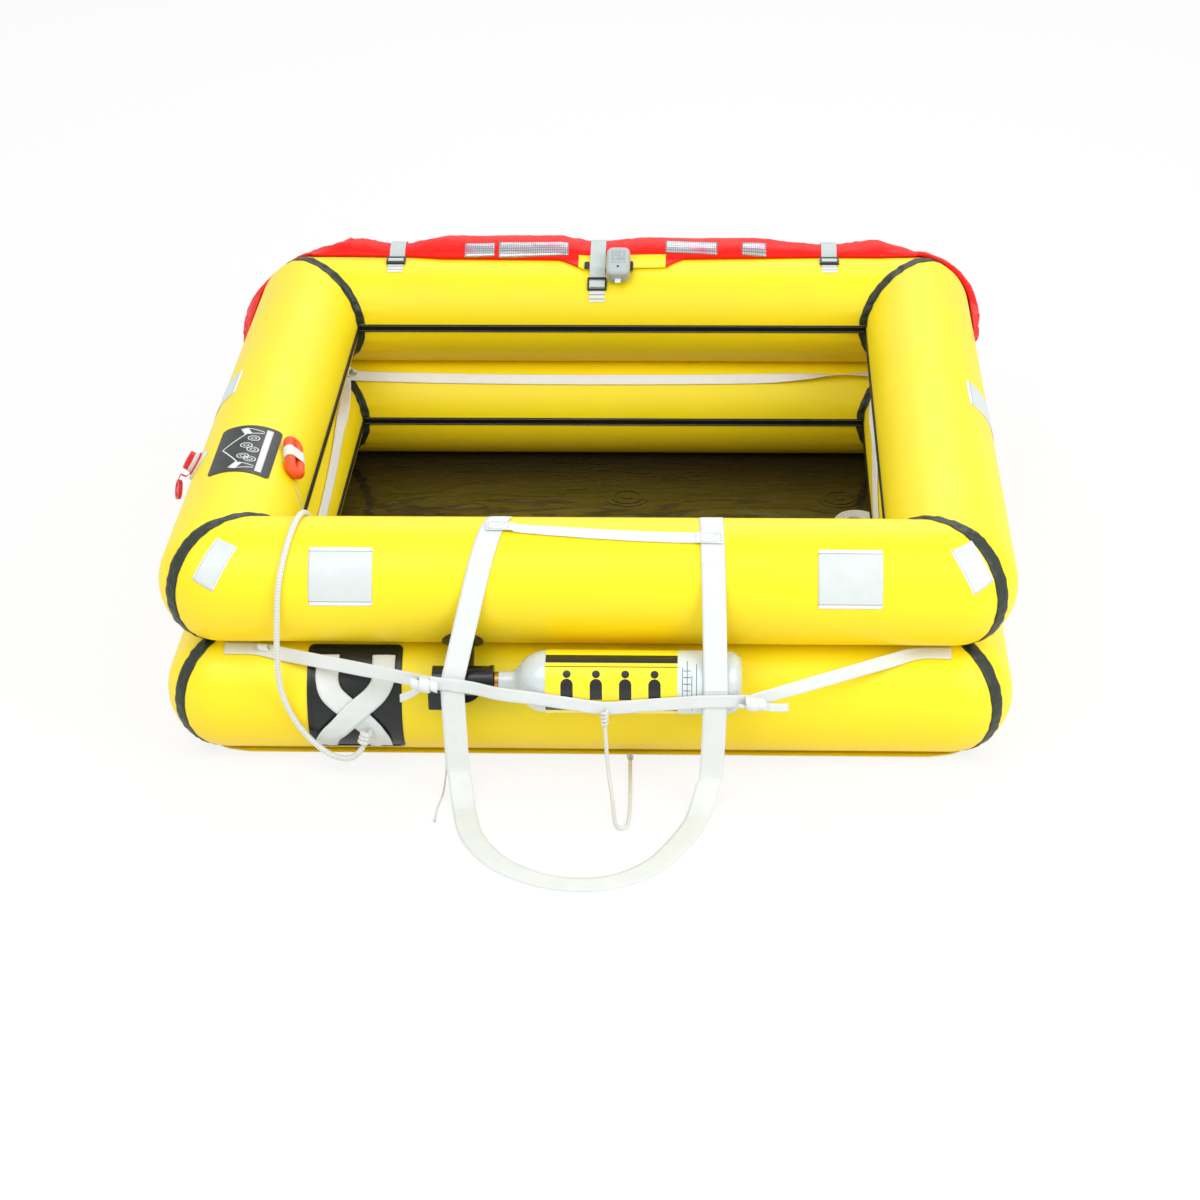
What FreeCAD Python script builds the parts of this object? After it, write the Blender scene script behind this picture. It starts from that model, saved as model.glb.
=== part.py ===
import FreeCAD, Part
import math
import os

import Sketcher

# Inflatable liferaft, open, for about four people.
# Millimetres. The origin is the middle of the floor sheet's underside.
# +X is to the right, -Y is the boarding side, +Z is up.

Vector = FreeCAD.Vector
Placement = FreeCAD.Placement
Rotation = FreeCAD.Rotation

os.makedirs("parts", exist_ok=True)
doc = FreeCAD.newDocument("liferaft")
sheet = doc.addObject("Spreadsheet::Sheet", "Sizes")

DRIVING_SIZES = [
    ("tube_radius", 110.0, "radius of both buoyancy tubes"),
    ("half_span", 640.0, "from the middle to the centre line of a tube"),
    ("tube_press", 4.0, "depth of the flat where the tubes meet"),
    ("floor_press", 3.0, "depth of the flat where the lower tube meets the floor"),
    ("seat_gap", 0.3, "room between soft pieces that touch"),
    ("floor_thickness", 2.0, "thickness of the floor sheet"),
    ("floor_overlap", 50.0, "how far the floor runs past the tube's centre line"),
    ("floor_corner", 85.0, "corner radius of the floor sheet"),
    ("disc_radius", 46.0, "radius of a round floor reinforcement"),
    ("disc_thickness", 1.0, "thickness of a round floor reinforcement"),
    ("disc_ring_radius", 33.0, "radius of the ring on it"),
    ("disc_ring_width", 5.0, "width of the ring on it"),
    ("disc_ring_rise", 1.2, "height of the ring on it"),
    ("disc_boss_radius", 11.0, "radius of the round in its middle"),
    ("disc_row", 381.0, "how far back the reinforcements lie"),
    ("disc_left", 35.0, "place of the left one along the raft"),
    ("disc_right", 479.0, "place of the right one along the raft"),
    ("tape_width", 22.0, "width of the tape over a corner seam"),
    ("tape_thickness", 1.2, "thickness of the tape over a corner seam"),
    ("strip_width", 16.0, "width of the inner seam strip"),
    ("strip_thickness", 1.4, "thickness of the inner seam strip"),
    ("bead_width", 5.0, "width of the bead along the strip"),
    ("bead_rise", 1.6, "height of the bead along the strip"),
    ("patch_thickness", 1.0, "thickness of a sewn patch"),
    ("reflector_width", 110.0, "width of a large reflective patch"),
    ("reflector_low", 2.0, "angle of its lower edge above the tube's middle"),
    ("reflector_high", 56.0, "angle of its upper edge above the tube's middle"),
    ("corner_reflector_width", 42.0, "width of a small reflective patch"),
    ("corner_reflector_height", 88.0, "height of a small reflective patch"),
    ("tow_patch_width", 166.0, "width of the towing patch"),
    ("tow_patch_low", -46.0, "angle of its lower edge"),
    ("tow_patch_high", 69.0, "angle of its upper edge"),
    ("tow_patch_middle", -404.0, "place of the towing patch along the front"),
    ("patch_corner", 11.0, "corner radius of a moulded patch"),
    ("tow_rim_width", 5.0, "width of the ridge round the towing patch"),
    ("tow_rim_rise", 1.2, "height of the ridge round the towing patch"),
    ("plate_length", 204.0, "length of the sign plate"),
    ("plate_low", 62.0, "angle of its outer edge"),
    ("plate_high", 122.0, "angle of its inner edge"),
    ("plate_middle", -330.0, "place of the sign plate along the side"),
    ("boarding_width", 41.0, "width of the boarding strap"),
    ("boarding_thickness", 1.6, "thickness of the boarding strap"),
    ("rung_width", 24.0, "width of the upper rung"),
    ("lifeline_width", 25.0, "width of the lifeline webbing"),
    ("lifeline_thickness", 1.5, "thickness of the lifeline webbing"),
    ("painter_diameter", 10.5, "diameter of the braided painter"),
    ("lanyard_diameter", 7.0, "diameter of the middle lanyard"),
    ("firing_cord_diameter", 3.0, "diameter of the firing cord"),
    ("quoit_line_diameter", 2.0, "diameter of the throwing line"),
    ("bottle_radius", 54.5, "radius of the gas cylinder"),
    ("bottle_base", 272.0, "place of its base along the front"),
    ("bottle_shoulder", -62.0, "place where its shoulder begins"),
    ("bottle_shoulder_length", 56.0, "length of its shoulder"),
    ("bottle_neck_length", 28.0, "length of its neck"),
    ("bottle_neck_radius", 17.0, "radius of its neck"),
    ("bottle_base_round", 22.0, "rounding of its base"),
    ("bottle_rest_angle", 32.0, "angle at which it rests on the lower tube"),
    ("label_start", -64.0, "place of the yellow label's left edge"),
    ("label_length", 226.0, "length of the yellow label"),
    ("sticker_length", 42.0, "length of the data sticker"),
    ("label_thickness", 0.4, "thickness of both labels"),
    ("ring_radius", 16.0, "radius of the brass coupling ring"),
    ("ring_length", 9.0, "length of the brass coupling ring"),
    ("head_radius", 25.5, "radius of the operating head's barrel"),
    ("head_length", 106.0, "length of the barrel"),
    ("pin_bore", 5.0, "radius of the bore for the piercing pin"),
    ("pin_play", 0.3, "room round the piercing pin"),
    ("pin_length", 64.0, "length of the piercing pin"),
    ("inlet_angle", -48.0, "angle at which the gas inlet leaves the upper tube"),
    ("inlet_flange_radius", 36.0, "radius of the inlet flange"),
    ("inlet_flange_thickness", 3.0, "thickness of the inlet flange"),
    ("inlet_stem_radius", 13.5, "radius of the inlet stem"),
    ("lever_width", 8.0, "thickness of the firing lever"),
    ("lever_slot_play", 0.6, "room beside the firing lever"),
    ("lever_pin_radius", 2.5, "radius of the lever's pivot pin"),
    ("lever_length", 44.0, "from the lever's pivot to its cord hole"),
    ("valve_radius", 19.0, "radius of a topping-up valve's body"),
    ("valve_flange_radius", 31.0, "radius of its flange"),
    ("valve_flange_thickness", 2.5, "thickness of its flange"),
    ("valve_height", 14.0, "height of its body above the tube"),
    ("valve_bore", 9.0, "radius of its air way"),
    ("valve_angle", 31.0, "angle of the upper valve on its tube"),
    ("valve_place", -287.0, "place of the valves along the side"),
    ("valve_stagger", 62.0, "how far the lower valve lies ahead of the upper one"),
    ("cap_radius", 18.0, "radius of a valve cap"),
    ("cap_height", 9.0, "height of a valve cap"),
    ("cap_plug_radius", 8.6, "radius of the plug under a cap"),
    ("cap_plug_depth", 2.5, "depth of the plug under a cap"),
    ("poppet_radius", 7.6, "radius of a valve's poppet"),
    ("poppet_thickness", 2.5, "thickness of a valve's poppet"),
    ("poppet_stem_radius", 2.0, "radius of a poppet's stem"),
    ("quoit_radius", 10.0, "radius of the quoit's section"),
    ("quoit_length", 118.0, "length of the quoit in its band"),
    ("quoit_inner_radius", 11.0, "bend of the quoit's centre line at its ends"),
    ("quoit_band_width", 30.0, "width of the quoit's band"),
    ("canopy_depth", 52.0, "thickness of the stowed canopy"),
    ("canopy_low", -14.0, "angle of its lower edge at the back"),
    ("canopy_high", 92.0, "angle of its upper edge at the back"),
    ("canopy_edge", 4.0, "thickness of its edges"),
    ("canopy_strap_width", 32.0, "width of a canopy strap"),
    ("canopy_strap_thickness", 1.5, "thickness of a canopy strap"),
    ("left_strap_place", -456.0, "place of the left canopy strap"),
    ("middle_strap_place", -30.0, "place of the middle canopy strap"),
    ("right_strap_place", 455.0, "place of the right canopy strap"),
    ("buckle_width", 40.0, "width of a canopy buckle"),
    ("buckle_length", 30.0, "length of a canopy buckle"),
    ("buckle_thickness", 4.0, "thickness of a canopy buckle"),
    ("buckle_bar", 3.5, "width of a buckle's bars"),
    ("lamp_width", 49.0, "width of the lamp case"),
    ("lamp_length", 82.0, "length of the lamp case"),
    ("lamp_depth", 24.0, "thickness of the lamp case"),
    ("lamp_place", 14.0, "place of the lamp along the back"),
    ("lamp_angle", 113.0, "angle of the lamp on the back tube"),
    ("lamp_pad_thickness", 3.0, "thickness of the pad under the lamp"),
    ("lamp_tab_width", 12.0, "width of the lamp's pull tab"),
    ("hank_length", 210.0, "length of the painter's hank"),
    ("hank_width", 96.0, "width of the painter's hank"),
]


class Size:
    """A number together with the sheet formula that gives it."""

    def __init__(self, number, formula):
        self.number = number
        self.formula = formula

    def join(self, sign, other, number):
        return Size(number, "(" + self.formula + " " + sign + " " + formula_of(other) + ")")

    def __add__(self, other):
        return self.join("+", other, self.number + number_of(other))

    def __sub__(self, other):
        return self.join("-", other, self.number - number_of(other))

    def __mul__(self, other):
        return self.join("*", other, self.number * number_of(other))

    def __truediv__(self, other):
        return self.join("/", other, self.number / number_of(other))

    def __neg__(self):
        return Size(-self.number, "(0 - " + self.formula + ")")

    def __float__(self):
        return float(self.number)


class Names:
    """The sizes, one attribute each."""


def number_of(value):
    return float(value)


def formula_of(value):
    if isinstance(value, Size):
        return value.formula
    return repr(float(value))


def fill_sheet():
    """Write every driving size to the sheet, and give them back by name."""
    names = Names()
    for row, (alias, value, note) in enumerate(DRIVING_SIZES, start=1):
        sheet.set("A" + str(row), alias)
        sheet.set("B" + str(row), str(value))
        sheet.set("C" + str(row), note)
        sheet.setAlias("B" + str(row), alias)
    doc.recompute()
    for alias, value, note in DRIVING_SIZES:
        setattr(names, alias, Size(float(sheet.get(alias)), "Sizes." + alias))
    return names


s = fill_sheet()

# Heights and radii that follow from the driving sizes
LOW_TUBE_Z = s.floor_thickness + s.tube_radius - s.floor_press
MEETING_Z = LOW_TUBE_Z + s.tube_radius - s.tube_press
HIGH_TUBE_Z = MEETING_Z + s.tube_radius - s.tube_press
SKIN = float(s.tube_radius + s.seat_gap)
SIDE_TURN = {"front": 0.0, "right": 90.0, "back": 180.0, "left": -90.0}

nodes = []


def keep(label, item):
    """Name an object as a node of the part."""
    item.Label = label
    nodes.append((label, item))
    return item


def bind(item, **sizes):
    """Tie an object's properties to the sheet."""
    for name, value in sizes.items():
        item.setExpression(name, formula_of(value))
    return item


def solid_feature(name, shape, place=None):
    """A shape made with Part's own functions, as an object of the document."""
    item = doc.addObject("Part::Feature", name)
    item.Shape = shape
    if place is not None:
        item.Placement = place
    return item


def group(name, items):
    """Several separate solids as one object."""
    return solid_feature(name, Part.makeCompound([item.Shape.copy() for item in items]))


# Sketches and bodies

def origin_plane(body, role):
    for item in body.Origin.OriginFeatures:
        if item.Role == role:
            return item
    raise ValueError("no plane " + role)


def pin_point(sketch, index, point):
    """Hold a line's first point at its two coordinates."""
    for axis, kind, value in ((-2, "DistanceX", point[0]), (-1, "DistanceY", point[1])):
        if number_of(value) == 0.0:
            sketch.addConstraint(Sketcher.Constraint("PointOnObject", index, 1, axis))
            continue
        row = sketch.addConstraint(Sketcher.Constraint(kind, -1, 1, index, 1, number_of(value)))
        if isinstance(value, Size):
            sketch.setExpression("Constraints[" + str(row) + "]", value.formula)


def sketch_outline(body, role, name, points):
    """A closed outline of straight lines through points."""
    sketch = body.newObject("Sketcher::SketchObject", name)
    sketch.AttachmentSupport = (origin_plane(body, role), "")
    sketch.MapMode = "FlatFace"
    count = len(points)
    for index in range(count):
        here = points[index]
        there = points[(index + 1) % count]
        start = Vector(number_of(here[0]), number_of(here[1]), 0)
        end = Vector(number_of(there[0]), number_of(there[1]), 0)
        sketch.addGeometry(Part.LineSegment(start, end), False)
    for index in range(count):
        sketch.addConstraint(Sketcher.Constraint("Coincident", index, 2, (index + 1) % count, 1))
    for index in range(count):
        pin_point(sketch, index, points[index])
    return sketch


def turned_body(name, points):
    """A body turned round its own Z axis from points of (radius, height)."""
    body = doc.addObject("PartDesign::Body", name)
    sketch = sketch_outline(body, "XZ_Plane", name + "_profile", points)
    turn = body.newObject("PartDesign::Revolution", name + "_turn")
    turn.Profile = sketch
    turn.ReferenceAxis = (sketch, ["V_Axis"])
    turn.Angle = 360
    body.Tip = turn
    doc.recompute()
    return body


def rectangle(width, length):
    half_width = width / 2
    half_length = length / 2
    return [
        (-half_width, -half_length),
        (half_width, -half_length),
        (half_width, half_length),
        (-half_width, half_length),
    ]


def padded_body(name, points, height):
    """A body padded up from an outline in its XY plane."""
    body = doc.addObject("PartDesign::Body", name)
    sketch = sketch_outline(body, "XY_Plane", name + "_outline", points)
    pad = body.newObject("PartDesign::Pad", name + "_pad")
    pad.Profile = sketch
    bind(pad, Length=height)
    body.Tip = pad
    doc.recompute()
    return body


def round_edges(body, name, radius, chosen):
    """Fillet the edges that chosen picks from the body's tip."""
    tip = body.Tip
    picked = []
    for index, edge in enumerate(tip.Shape.Edges, start=1):
        if chosen(edge):
            picked.append("Edge" + str(index))
    fillet = body.newObject("PartDesign::Fillet", name)
    fillet.Base = (tip, picked)
    bind(fillet, Radius=radius)
    body.Tip = fillet
    doc.recompute()
    return body


def is_upright(edge):
    box = edge.BoundBox
    return box.ZLength > 0.01 and box.XLength < 0.01 and box.YLength < 0.01


def is_round_at(height, radius):
    """Picks the full circle of a radius at a height."""
    def chosen(edge):
        box = edge.BoundBox
        level = abs(box.ZMin - height) < 0.01 and abs(box.ZMax - height) < 0.01
        return level and abs(box.XLength / 2 - radius) < 0.05
    return chosen


def primitive(body, kind, name, place, **sizes):
    """Add or cut a primitive in a body."""
    item = body.newObject("PartDesign::" + kind, name)
    item.MapMode = "Deactivated"
    bind(item, **sizes)
    item.Placement = place
    body.Tip = item
    doc.recompute()
    return item


# Places on the tubes

def tube_place(side, height, along, angle, radius):
    """Placement whose Z axis leaves the tube's surface.

    Angle 0 faces away from the raft and 90 faces up. Along runs to the right
    for someone who looks at that side from outside.
    """
    turn = math.radians(angle)
    at = Vector(
        number_of(along),
        -number_of(s.half_span) - number_of(radius) * math.cos(turn),
        number_of(height) + number_of(radius) * math.sin(turn),
    )
    local = Placement(at, Rotation(Vector(1, 0, 0), 90.0 - angle))
    return Placement(Vector(0, 0, 0), Rotation(Vector(0, 0, 1), SIDE_TURN[side])).multiply(local)


def tube_point(side, height, along, angle, rise):
    """A point that stands off a tube's surface by rise."""
    return tube_place(side, height, along, angle, float(s.tube_radius) + rise).Base


def ring_solid(radius, height):
    """A square ring of round tube with round outer corners."""
    half = float(s.half_span)
    pieces = []
    for x in (-half, half):
        pieces.append(Part.makeCylinder(radius, 2 * half, Vector(x, -half, height), Vector(0, 1, 0)))
        for y in (-half, half):
            pieces.append(Part.makeSphere(radius, Vector(x, y, height)))
    for y in (-half, half):
        pieces.append(Part.makeCylinder(radius, 2 * half, Vector(-half, y, height), Vector(1, 0, 0)))
    return pieces[0].multiFuse(pieces[1:]).removeSplitter().Solids[0]


def bent_band(width, low, high, rise, thickness, corner):
    """A band that lies on a tube along X, from one angle to another."""
    inner = float(s.tube_radius) + rise
    outer = inner + thickness
    half_width = width / 2

    def spot(radius, angle):
        turn = math.radians(angle)
        return Vector(-half_width, -radius * math.cos(turn), radius * math.sin(turn))

    middle = (low + high) / 2
    edges = [
        Part.Arc(spot(outer, low), spot(outer, middle), spot(outer, high)).toShape(),
        Part.LineSegment(spot(outer, high), spot(inner, high)).toShape(),
        Part.Arc(spot(inner, high), spot(inner, middle), spot(inner, low)).toShape(),
        Part.LineSegment(spot(inner, low), spot(outer, low)).toShape(),
    ]
    band = Part.Face(Part.Wire(edges)).extrude(Vector(width, 0, 0))
    if corner > 0:
        short = [edge for edge in band.Edges if abs(edge.Length - thickness) < 0.01]
        band = band.makeFillet(corner, short)
    return band


def band_on_tube(side, height, along, band):
    """Put a bent band on its side of the raft."""
    local = Placement(Vector(number_of(along), -float(s.half_span), number_of(height)), Rotation())
    turn = Placement(Vector(0, 0, 0), Rotation(Vector(0, 0, 1), SIDE_TURN[side]))
    placed = band.copy()
    placed.Placement = turn.multiply(local)
    return placed


# Webbing and cords

def webbing(stations, width, thickness):
    """Flat webbing through stations of (middle, across, out)."""
    sections = []
    for middle, across, out in stations:
        half = Vector(across).normalize() * (width / 2)
        lift = Vector(out).normalize() * thickness
        sections.append([middle - half, middle + half, middle + half + lift, middle - half + lift])
    faces = []
    for here, there in zip(sections, sections[1:]):
        for index in range(4):
            following = (index + 1) % 4
            start = Part.makeLine(here[index], here[following])
            end = Part.makeLine(there[index], there[following])
            faces.append(Part.makeRuledSurface(start, end))
    for section in (sections[0], sections[-1]):
        faces.append(Part.Face(Part.makePolygon(section + section[:1])))
    shell = Part.makeCompound(faces)
    shell.sewShape()
    solid = Part.Solid(shell.Shells[0])
    if solid.Volume < 0:
        solid.reverse()
    return solid


def route_wire(points):
    """Straight runs joined by tangent arcs, each as large as its runs allow."""
    edges = []
    here = points[0]
    radii = []
    for index in range(1, len(points) - 1):
        corner = points[index]
        back = points[index - 1] - corner
        ahead = points[index + 1] - corner
        turn = math.pi - back.getAngle(ahead)
        if turn < 0.001:
            continue
        reach = 0.45 * min(back.Length, ahead.Length)
        radius = reach / math.tan(turn / 2)
        radii.append(radius)
        start = corner + back.normalize() * reach
        end = corner + ahead.normalize() * reach
        bisector = (back + ahead).normalize()
        depth = radius / math.cos(turn / 2) - radius
        edges.append(Part.LineSegment(here, start).toShape())
        edges.append(Part.Arc(start, corner + bisector * depth, end).toShape())
        here = end
    edges.append(Part.LineSegment(here, points[-1]).toShape())
    return Part.Wire(edges), radii


def cord_solid(name, points, diameter):
    """A round cord along a route, with its volume compared and its radii printed."""
    wire, radii = route_wire(points)
    start = points[0]
    along = points[1] - points[0]
    circle = Part.Circle(start, along, diameter / 2).toShape()
    pipe = wire.makePipeShell([Part.Wire([circle])], True, False)
    expected = math.pi * diameter ** 2 / 4 * wire.Length
    off = abs(pipe.Volume - expected) / expected
    text = ", ".join("%.0f" % radius for radius in radii)
    print(name, "length %.0f" % wire.Length, "volume off %.4f" % off, "radii", text)
    if off > 0.01 or not pipe.isValid():
        raise ValueError(name + " isn't a sound tube")
    return pipe


# Buoyancy tubes and floor

def make_floor():
    half = s.half_span + s.floor_overlap
    body = padded_body("FloorSheet", rectangle(half * 2, half * 2), s.floor_thickness)
    round_edges(body, "floor_corners", s.floor_corner, is_upright)
    keep("floor_sheet", body)


def make_floor_discs():
    """Round reinforcements with a raised ring and a raised middle."""
    top = s.disc_thickness + s.disc_ring_rise
    disc = turned_body("FloorDisc", [
        (0, 0),
        (s.disc_radius, 0),
        (s.disc_radius, s.disc_thickness),
        (s.disc_ring_radius, s.disc_thickness),
        (s.disc_ring_radius, top),
        (s.disc_ring_radius - s.disc_ring_width, top),
        (s.disc_ring_radius - s.disc_ring_width, s.disc_thickness),
        (s.disc_boss_radius, s.disc_thickness),
        (s.disc_boss_radius, top),
        (0, top),
    ])
    level = float(s.floor_thickness)
    row = float(s.disc_row)
    places = [Vector(float(s.disc_left), row, level), Vector(float(s.disc_right), row, level)]
    copies = []
    for number, place in enumerate(places):
        copies.append(solid_feature("floor_disc_" + str(number), disc.Shape.copy(), Placement(place, Rotation())))
    keep("floor_discs", group("FloorDiscs", copies))


def make_tube(label, height, low, high):
    """One square ring of tube, pressed flat between its two neighbours."""
    parts = []
    span = s.half_span * 2
    for number, (x, y, turn) in enumerate([
        (-s.half_span, -s.half_span, Rotation(Vector(0, 1, 0), 90)),
        (-s.half_span, s.half_span, Rotation(Vector(0, 1, 0), 90)),
        (-s.half_span, -s.half_span, Rotation(Vector(1, 0, 0), -90)),
        (s.half_span, -s.half_span, Rotation(Vector(1, 0, 0), -90)),
    ]):
        side = bind(doc.addObject("Part::Cylinder", label + "_side_" + str(number)), Radius=s.tube_radius, Height=span)
        side.Placement = Placement(Vector(0, 0, 0), turn)
        set_place(side, x, y, height)
        parts.append(side)
    for number, (x, y) in enumerate([(-1, -1), (-1, 1), (1, -1), (1, 1)]):
        corner = bind(doc.addObject("Part::Sphere", label + "_corner_" + str(number)), Radius=s.tube_radius)
        set_place(corner, s.half_span * x, s.half_span * y, height)
        parts.append(corner)
    ring = doc.addObject("Part::MultiFuse", label + "_ring")
    ring.Shapes = parts
    ring.Refine = True
    reach = s.half_span + s.tube_radius * 2
    band = bind(doc.addObject("Part::Box", label + "_band"), Length=reach * 2, Width=reach * 2, Height=high - low)
    set_place(band, -reach, -reach, low)
    tube = doc.addObject("Part::Common", label + "_tube")
    tube.Base = ring
    tube.Tool = band
    keep(label, tube)


def set_place(item, x, y, z):
    """Tie an object's position to the sheet."""
    for axis, value in (("x", x), ("y", y), ("z", z)):
        item.setExpression("Placement.Base." + axis, formula_of(value))


def skin_solid(height, rise, thickness):
    """A thin shell that lies on a whole ring of tube."""
    inner = ring_solid(float(s.tube_radius) + rise, height)
    outer = ring_solid(float(s.tube_radius) + rise + thickness, height)
    return outer.cut(inner)


def make_corner_tapes(label, height, low, high):
    """Tape over the four corner seams of one tube."""
    height = float(height)
    gap = float(s.seat_gap)
    skin = skin_solid(height, gap, float(s.tape_thickness))
    reach = 2 * float(s.half_span)
    width = float(s.tape_width)
    tall = float(high) - float(low) - 2 * gap
    strip_room = float(s.strip_width) / 2 + gap
    inside = float(s.half_span) - float(s.tube_radius)
    opening = Part.makeBox(2 * inside, 2 * inside, 2 * strip_room, Vector(-inside, -inside, height - strip_room))
    tapes = []
    for quarter in range(4):
        slab = Part.makeBox(reach, width, tall, Vector(0, -width / 2, float(low) + gap))
        slab.rotate(Vector(0, 0, 0), Vector(0, 0, 1), 45 + 90 * quarter)
        tapes.extend(skin.common(slab).cut(opening).Solids)
    keep(label, solid_feature(label + "_tapes", Part.makeCompound(tapes)))


def square_frame(name, outer_half, thickness, tall, middle):
    """A square frame of four thin walls."""
    outer = bind(doc.addObject("Part::Box", name + "_outer"), Length=outer_half * 2, Width=outer_half * 2, Height=tall)
    set_place(outer, -outer_half, -outer_half, middle - tall / 2)
    inner_half = outer_half - thickness
    inner = bind(doc.addObject("Part::Box", name + "_inner"), Length=inner_half * 2, Width=inner_half * 2, Height=tall * 2)
    set_place(inner, -inner_half, -inner_half, middle - tall)
    frame = doc.addObject("Part::Cut", name)
    frame.Base = outer
    frame.Tool = inner
    return frame


def make_seam_strip(label, height):
    """The stitched strip along the inside of a tube, with its bead."""
    face = s.half_span - s.tube_radius - s.seat_gap
    strip = square_frame(label + "_flat", face, s.strip_thickness, s.strip_width, height)
    bead = square_frame(label + "_bead", face, s.strip_thickness + s.bead_rise, s.bead_width, height)
    whole = doc.addObject("Part::MultiFuse", label + "_strip")
    whole.Shapes = [strip, bead]
    keep(label, whole)


# Patches on the tubes

def make_reflectors():
    """Large reflective patches on three sides and small ones at the front corners."""
    gap = float(s.seat_gap)
    thickness = float(s.patch_thickness)
    low = float(s.reflector_low)
    high = float(s.reflector_high)
    large = bent_band(float(s.reflector_width), low, high, gap, thickness, 0)
    half = float(s.half_span)
    places = [("front", 222.0 - half), ("front", half - 184.0), ("left", -30.0), ("right", -10.0)]
    patches = [band_on_tube(side, HIGH_TUBE_Z, along, large) for side, along in places]
    skin = skin_solid(float(HIGH_TUBE_Z), gap, thickness)
    width = float(s.corner_reflector_width)
    tall = float(s.corner_reflector_height)
    depth = float(s.tube_radius)
    for along, lean in ((4.0 - half, -27.0), (half + 24.0, 27.0)):
        block = Part.makeBox(width, tall, depth, Vector(-width / 2, -tall / 2, -depth / 3))
        block.rotate(Vector(0, 0, 0), Vector(0, 0, 1), lean)
        block.Placement = tube_place("front", HIGH_TUBE_Z, along, 40.0, s.tube_radius).multiply(block.Placement)
        patches.extend(skin.common(block).Solids)
    keep("reflective_patches", solid_feature("ReflectivePatches", Part.makeCompound(patches)))


def make_tow_patch():
    """The moulded patch that carries the towing bridle, with a ridge round it."""
    gap = float(s.seat_gap)
    thickness = float(s.patch_thickness)
    rim = float(s.tow_rim_width)
    width = float(s.tow_patch_width)
    low = float(s.tow_patch_low)
    high = float(s.tow_patch_high)
    turn = math.degrees(rim / float(s.tube_radius))
    corner = float(s.patch_corner)
    tall = thickness + float(s.tow_rim_rise)
    base = bent_band(width, low, high, gap, thickness, corner)
    wide = bent_band(width - rim, low + turn / 2, high - turn / 2, gap, tall, corner - rim / 2)
    hollow = bent_band(width - 3 * rim, low + 1.5 * turn, high - 1.5 * turn, gap, 2 * tall, corner - rim)
    ridge = wide.cut(hollow)
    patch = base.fuse(ridge)
    item = band_on_tube("front", LOW_TUBE_Z, s.tow_patch_middle, patch)
    keep("tow_patch", solid_feature("TowPatch", item))


def make_sign_plate():
    """The sign's base plate on the left tube. Its printing isn't part of it."""
    band = bent_band(
        float(s.plate_length), float(s.plate_low), float(s.plate_high),
        float(s.seat_gap), float(s.patch_thickness), float(s.patch_corner),
    )
    along = -s.plate_middle
    keep("sign_plate", solid_feature("SignPlate", band_on_tube("left", HIGH_TUBE_Z, along, band)))


# Webbing on the tubes

def tube_station(side, height, along, angle, rise, lean=90.0):
    """A webbing station on a tube. Lean is the webbing's turn from the tube's own line."""
    place = tube_place(side, height, along, angle, float(s.tube_radius) + rise)
    turn = math.radians(lean)
    across = place.Rotation.multVec(Vector(math.sin(turn), math.cos(turn), 0))
    out = place.Rotation.multVec(Vector(0, 0, 1))
    return place.Base, across, out


def between(start, end, steps):
    """Evenly spaced numbers from start to end, both included."""
    return [start + (end - start) * step / steps for step in range(steps + 1)]


def bottle_axis():
    """Where the gas cylinder's axis crosses the side view, resting on the lower tube."""
    reach = float(s.tube_radius + s.bottle_radius + s.label_thickness + s.seat_gap)
    turn = math.radians(float(s.bottle_rest_angle))
    y = -float(s.half_span) - reach * math.cos(turn)
    z = float(LOW_TUBE_Z) + reach * math.sin(turn)
    return y, z


BOTTLE_Y, BOTTLE_Z = bottle_axis()


def boarding_leg(top_along, middle_along, low_along, contact_radius, foot):
    """One leg: over the upper tube, across to the gas cylinder, down and out to the floor."""
    gap = float(s.seat_gap)
    tube = float(s.tube_radius) + gap
    drop = float(HIGH_TUBE_Z) - BOTTLE_Z
    out = -float(s.half_span) - BOTTLE_Y
    apart = math.hypot(out, drop)
    leave = math.degrees(math.acos((tube - contact_radius) / apart) - math.atan2(drop, out))
    stations = []
    top_angle = 104.0
    for angle in between(top_angle, leave, 7):
        share = (top_angle - angle) / top_angle
        along = top_along + (middle_along - top_along) * share
        stations.append(tube_station("front", HIGH_TUBE_Z, along, angle, gap + 0.6, 90.0))
    touch = []
    for angle in between(leave, 0.0, 2):
        turn = math.radians(angle)
        normal = Vector(0, -math.cos(turn), math.sin(turn))
        touch.append((Vector(low_along, BOTTLE_Y, BOTTLE_Z) + normal * (contact_radius + 0.6), Vector(1, 0, 0), normal))
    stations.extend(touch)
    front_y = touch[-1][0].y
    bend = 80.0
    for angle in between(0.0, 90.0, 5):
        turn = math.radians(angle)
        shift = (foot - low_along) * angle / 90.0
        middle = Vector(low_along + shift, front_y - bend + bend * math.cos(turn), bend + 0.2 - bend * math.sin(turn))
        stations.append((middle, Vector(1, 0, 0), Vector(0, -math.cos(turn), math.sin(turn))))
    return stations


# Where the loop lies on the floor, as places along the front and distances out from its tube
BOARDING_LOOP = [
    (-190, 312), (-172, 350), (-142, 384), (-102, 412), (-55, 431), (0, 439),
    (52, 435), (98, 415), (136, 384), (164, 348), (182, 312),
]


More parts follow.
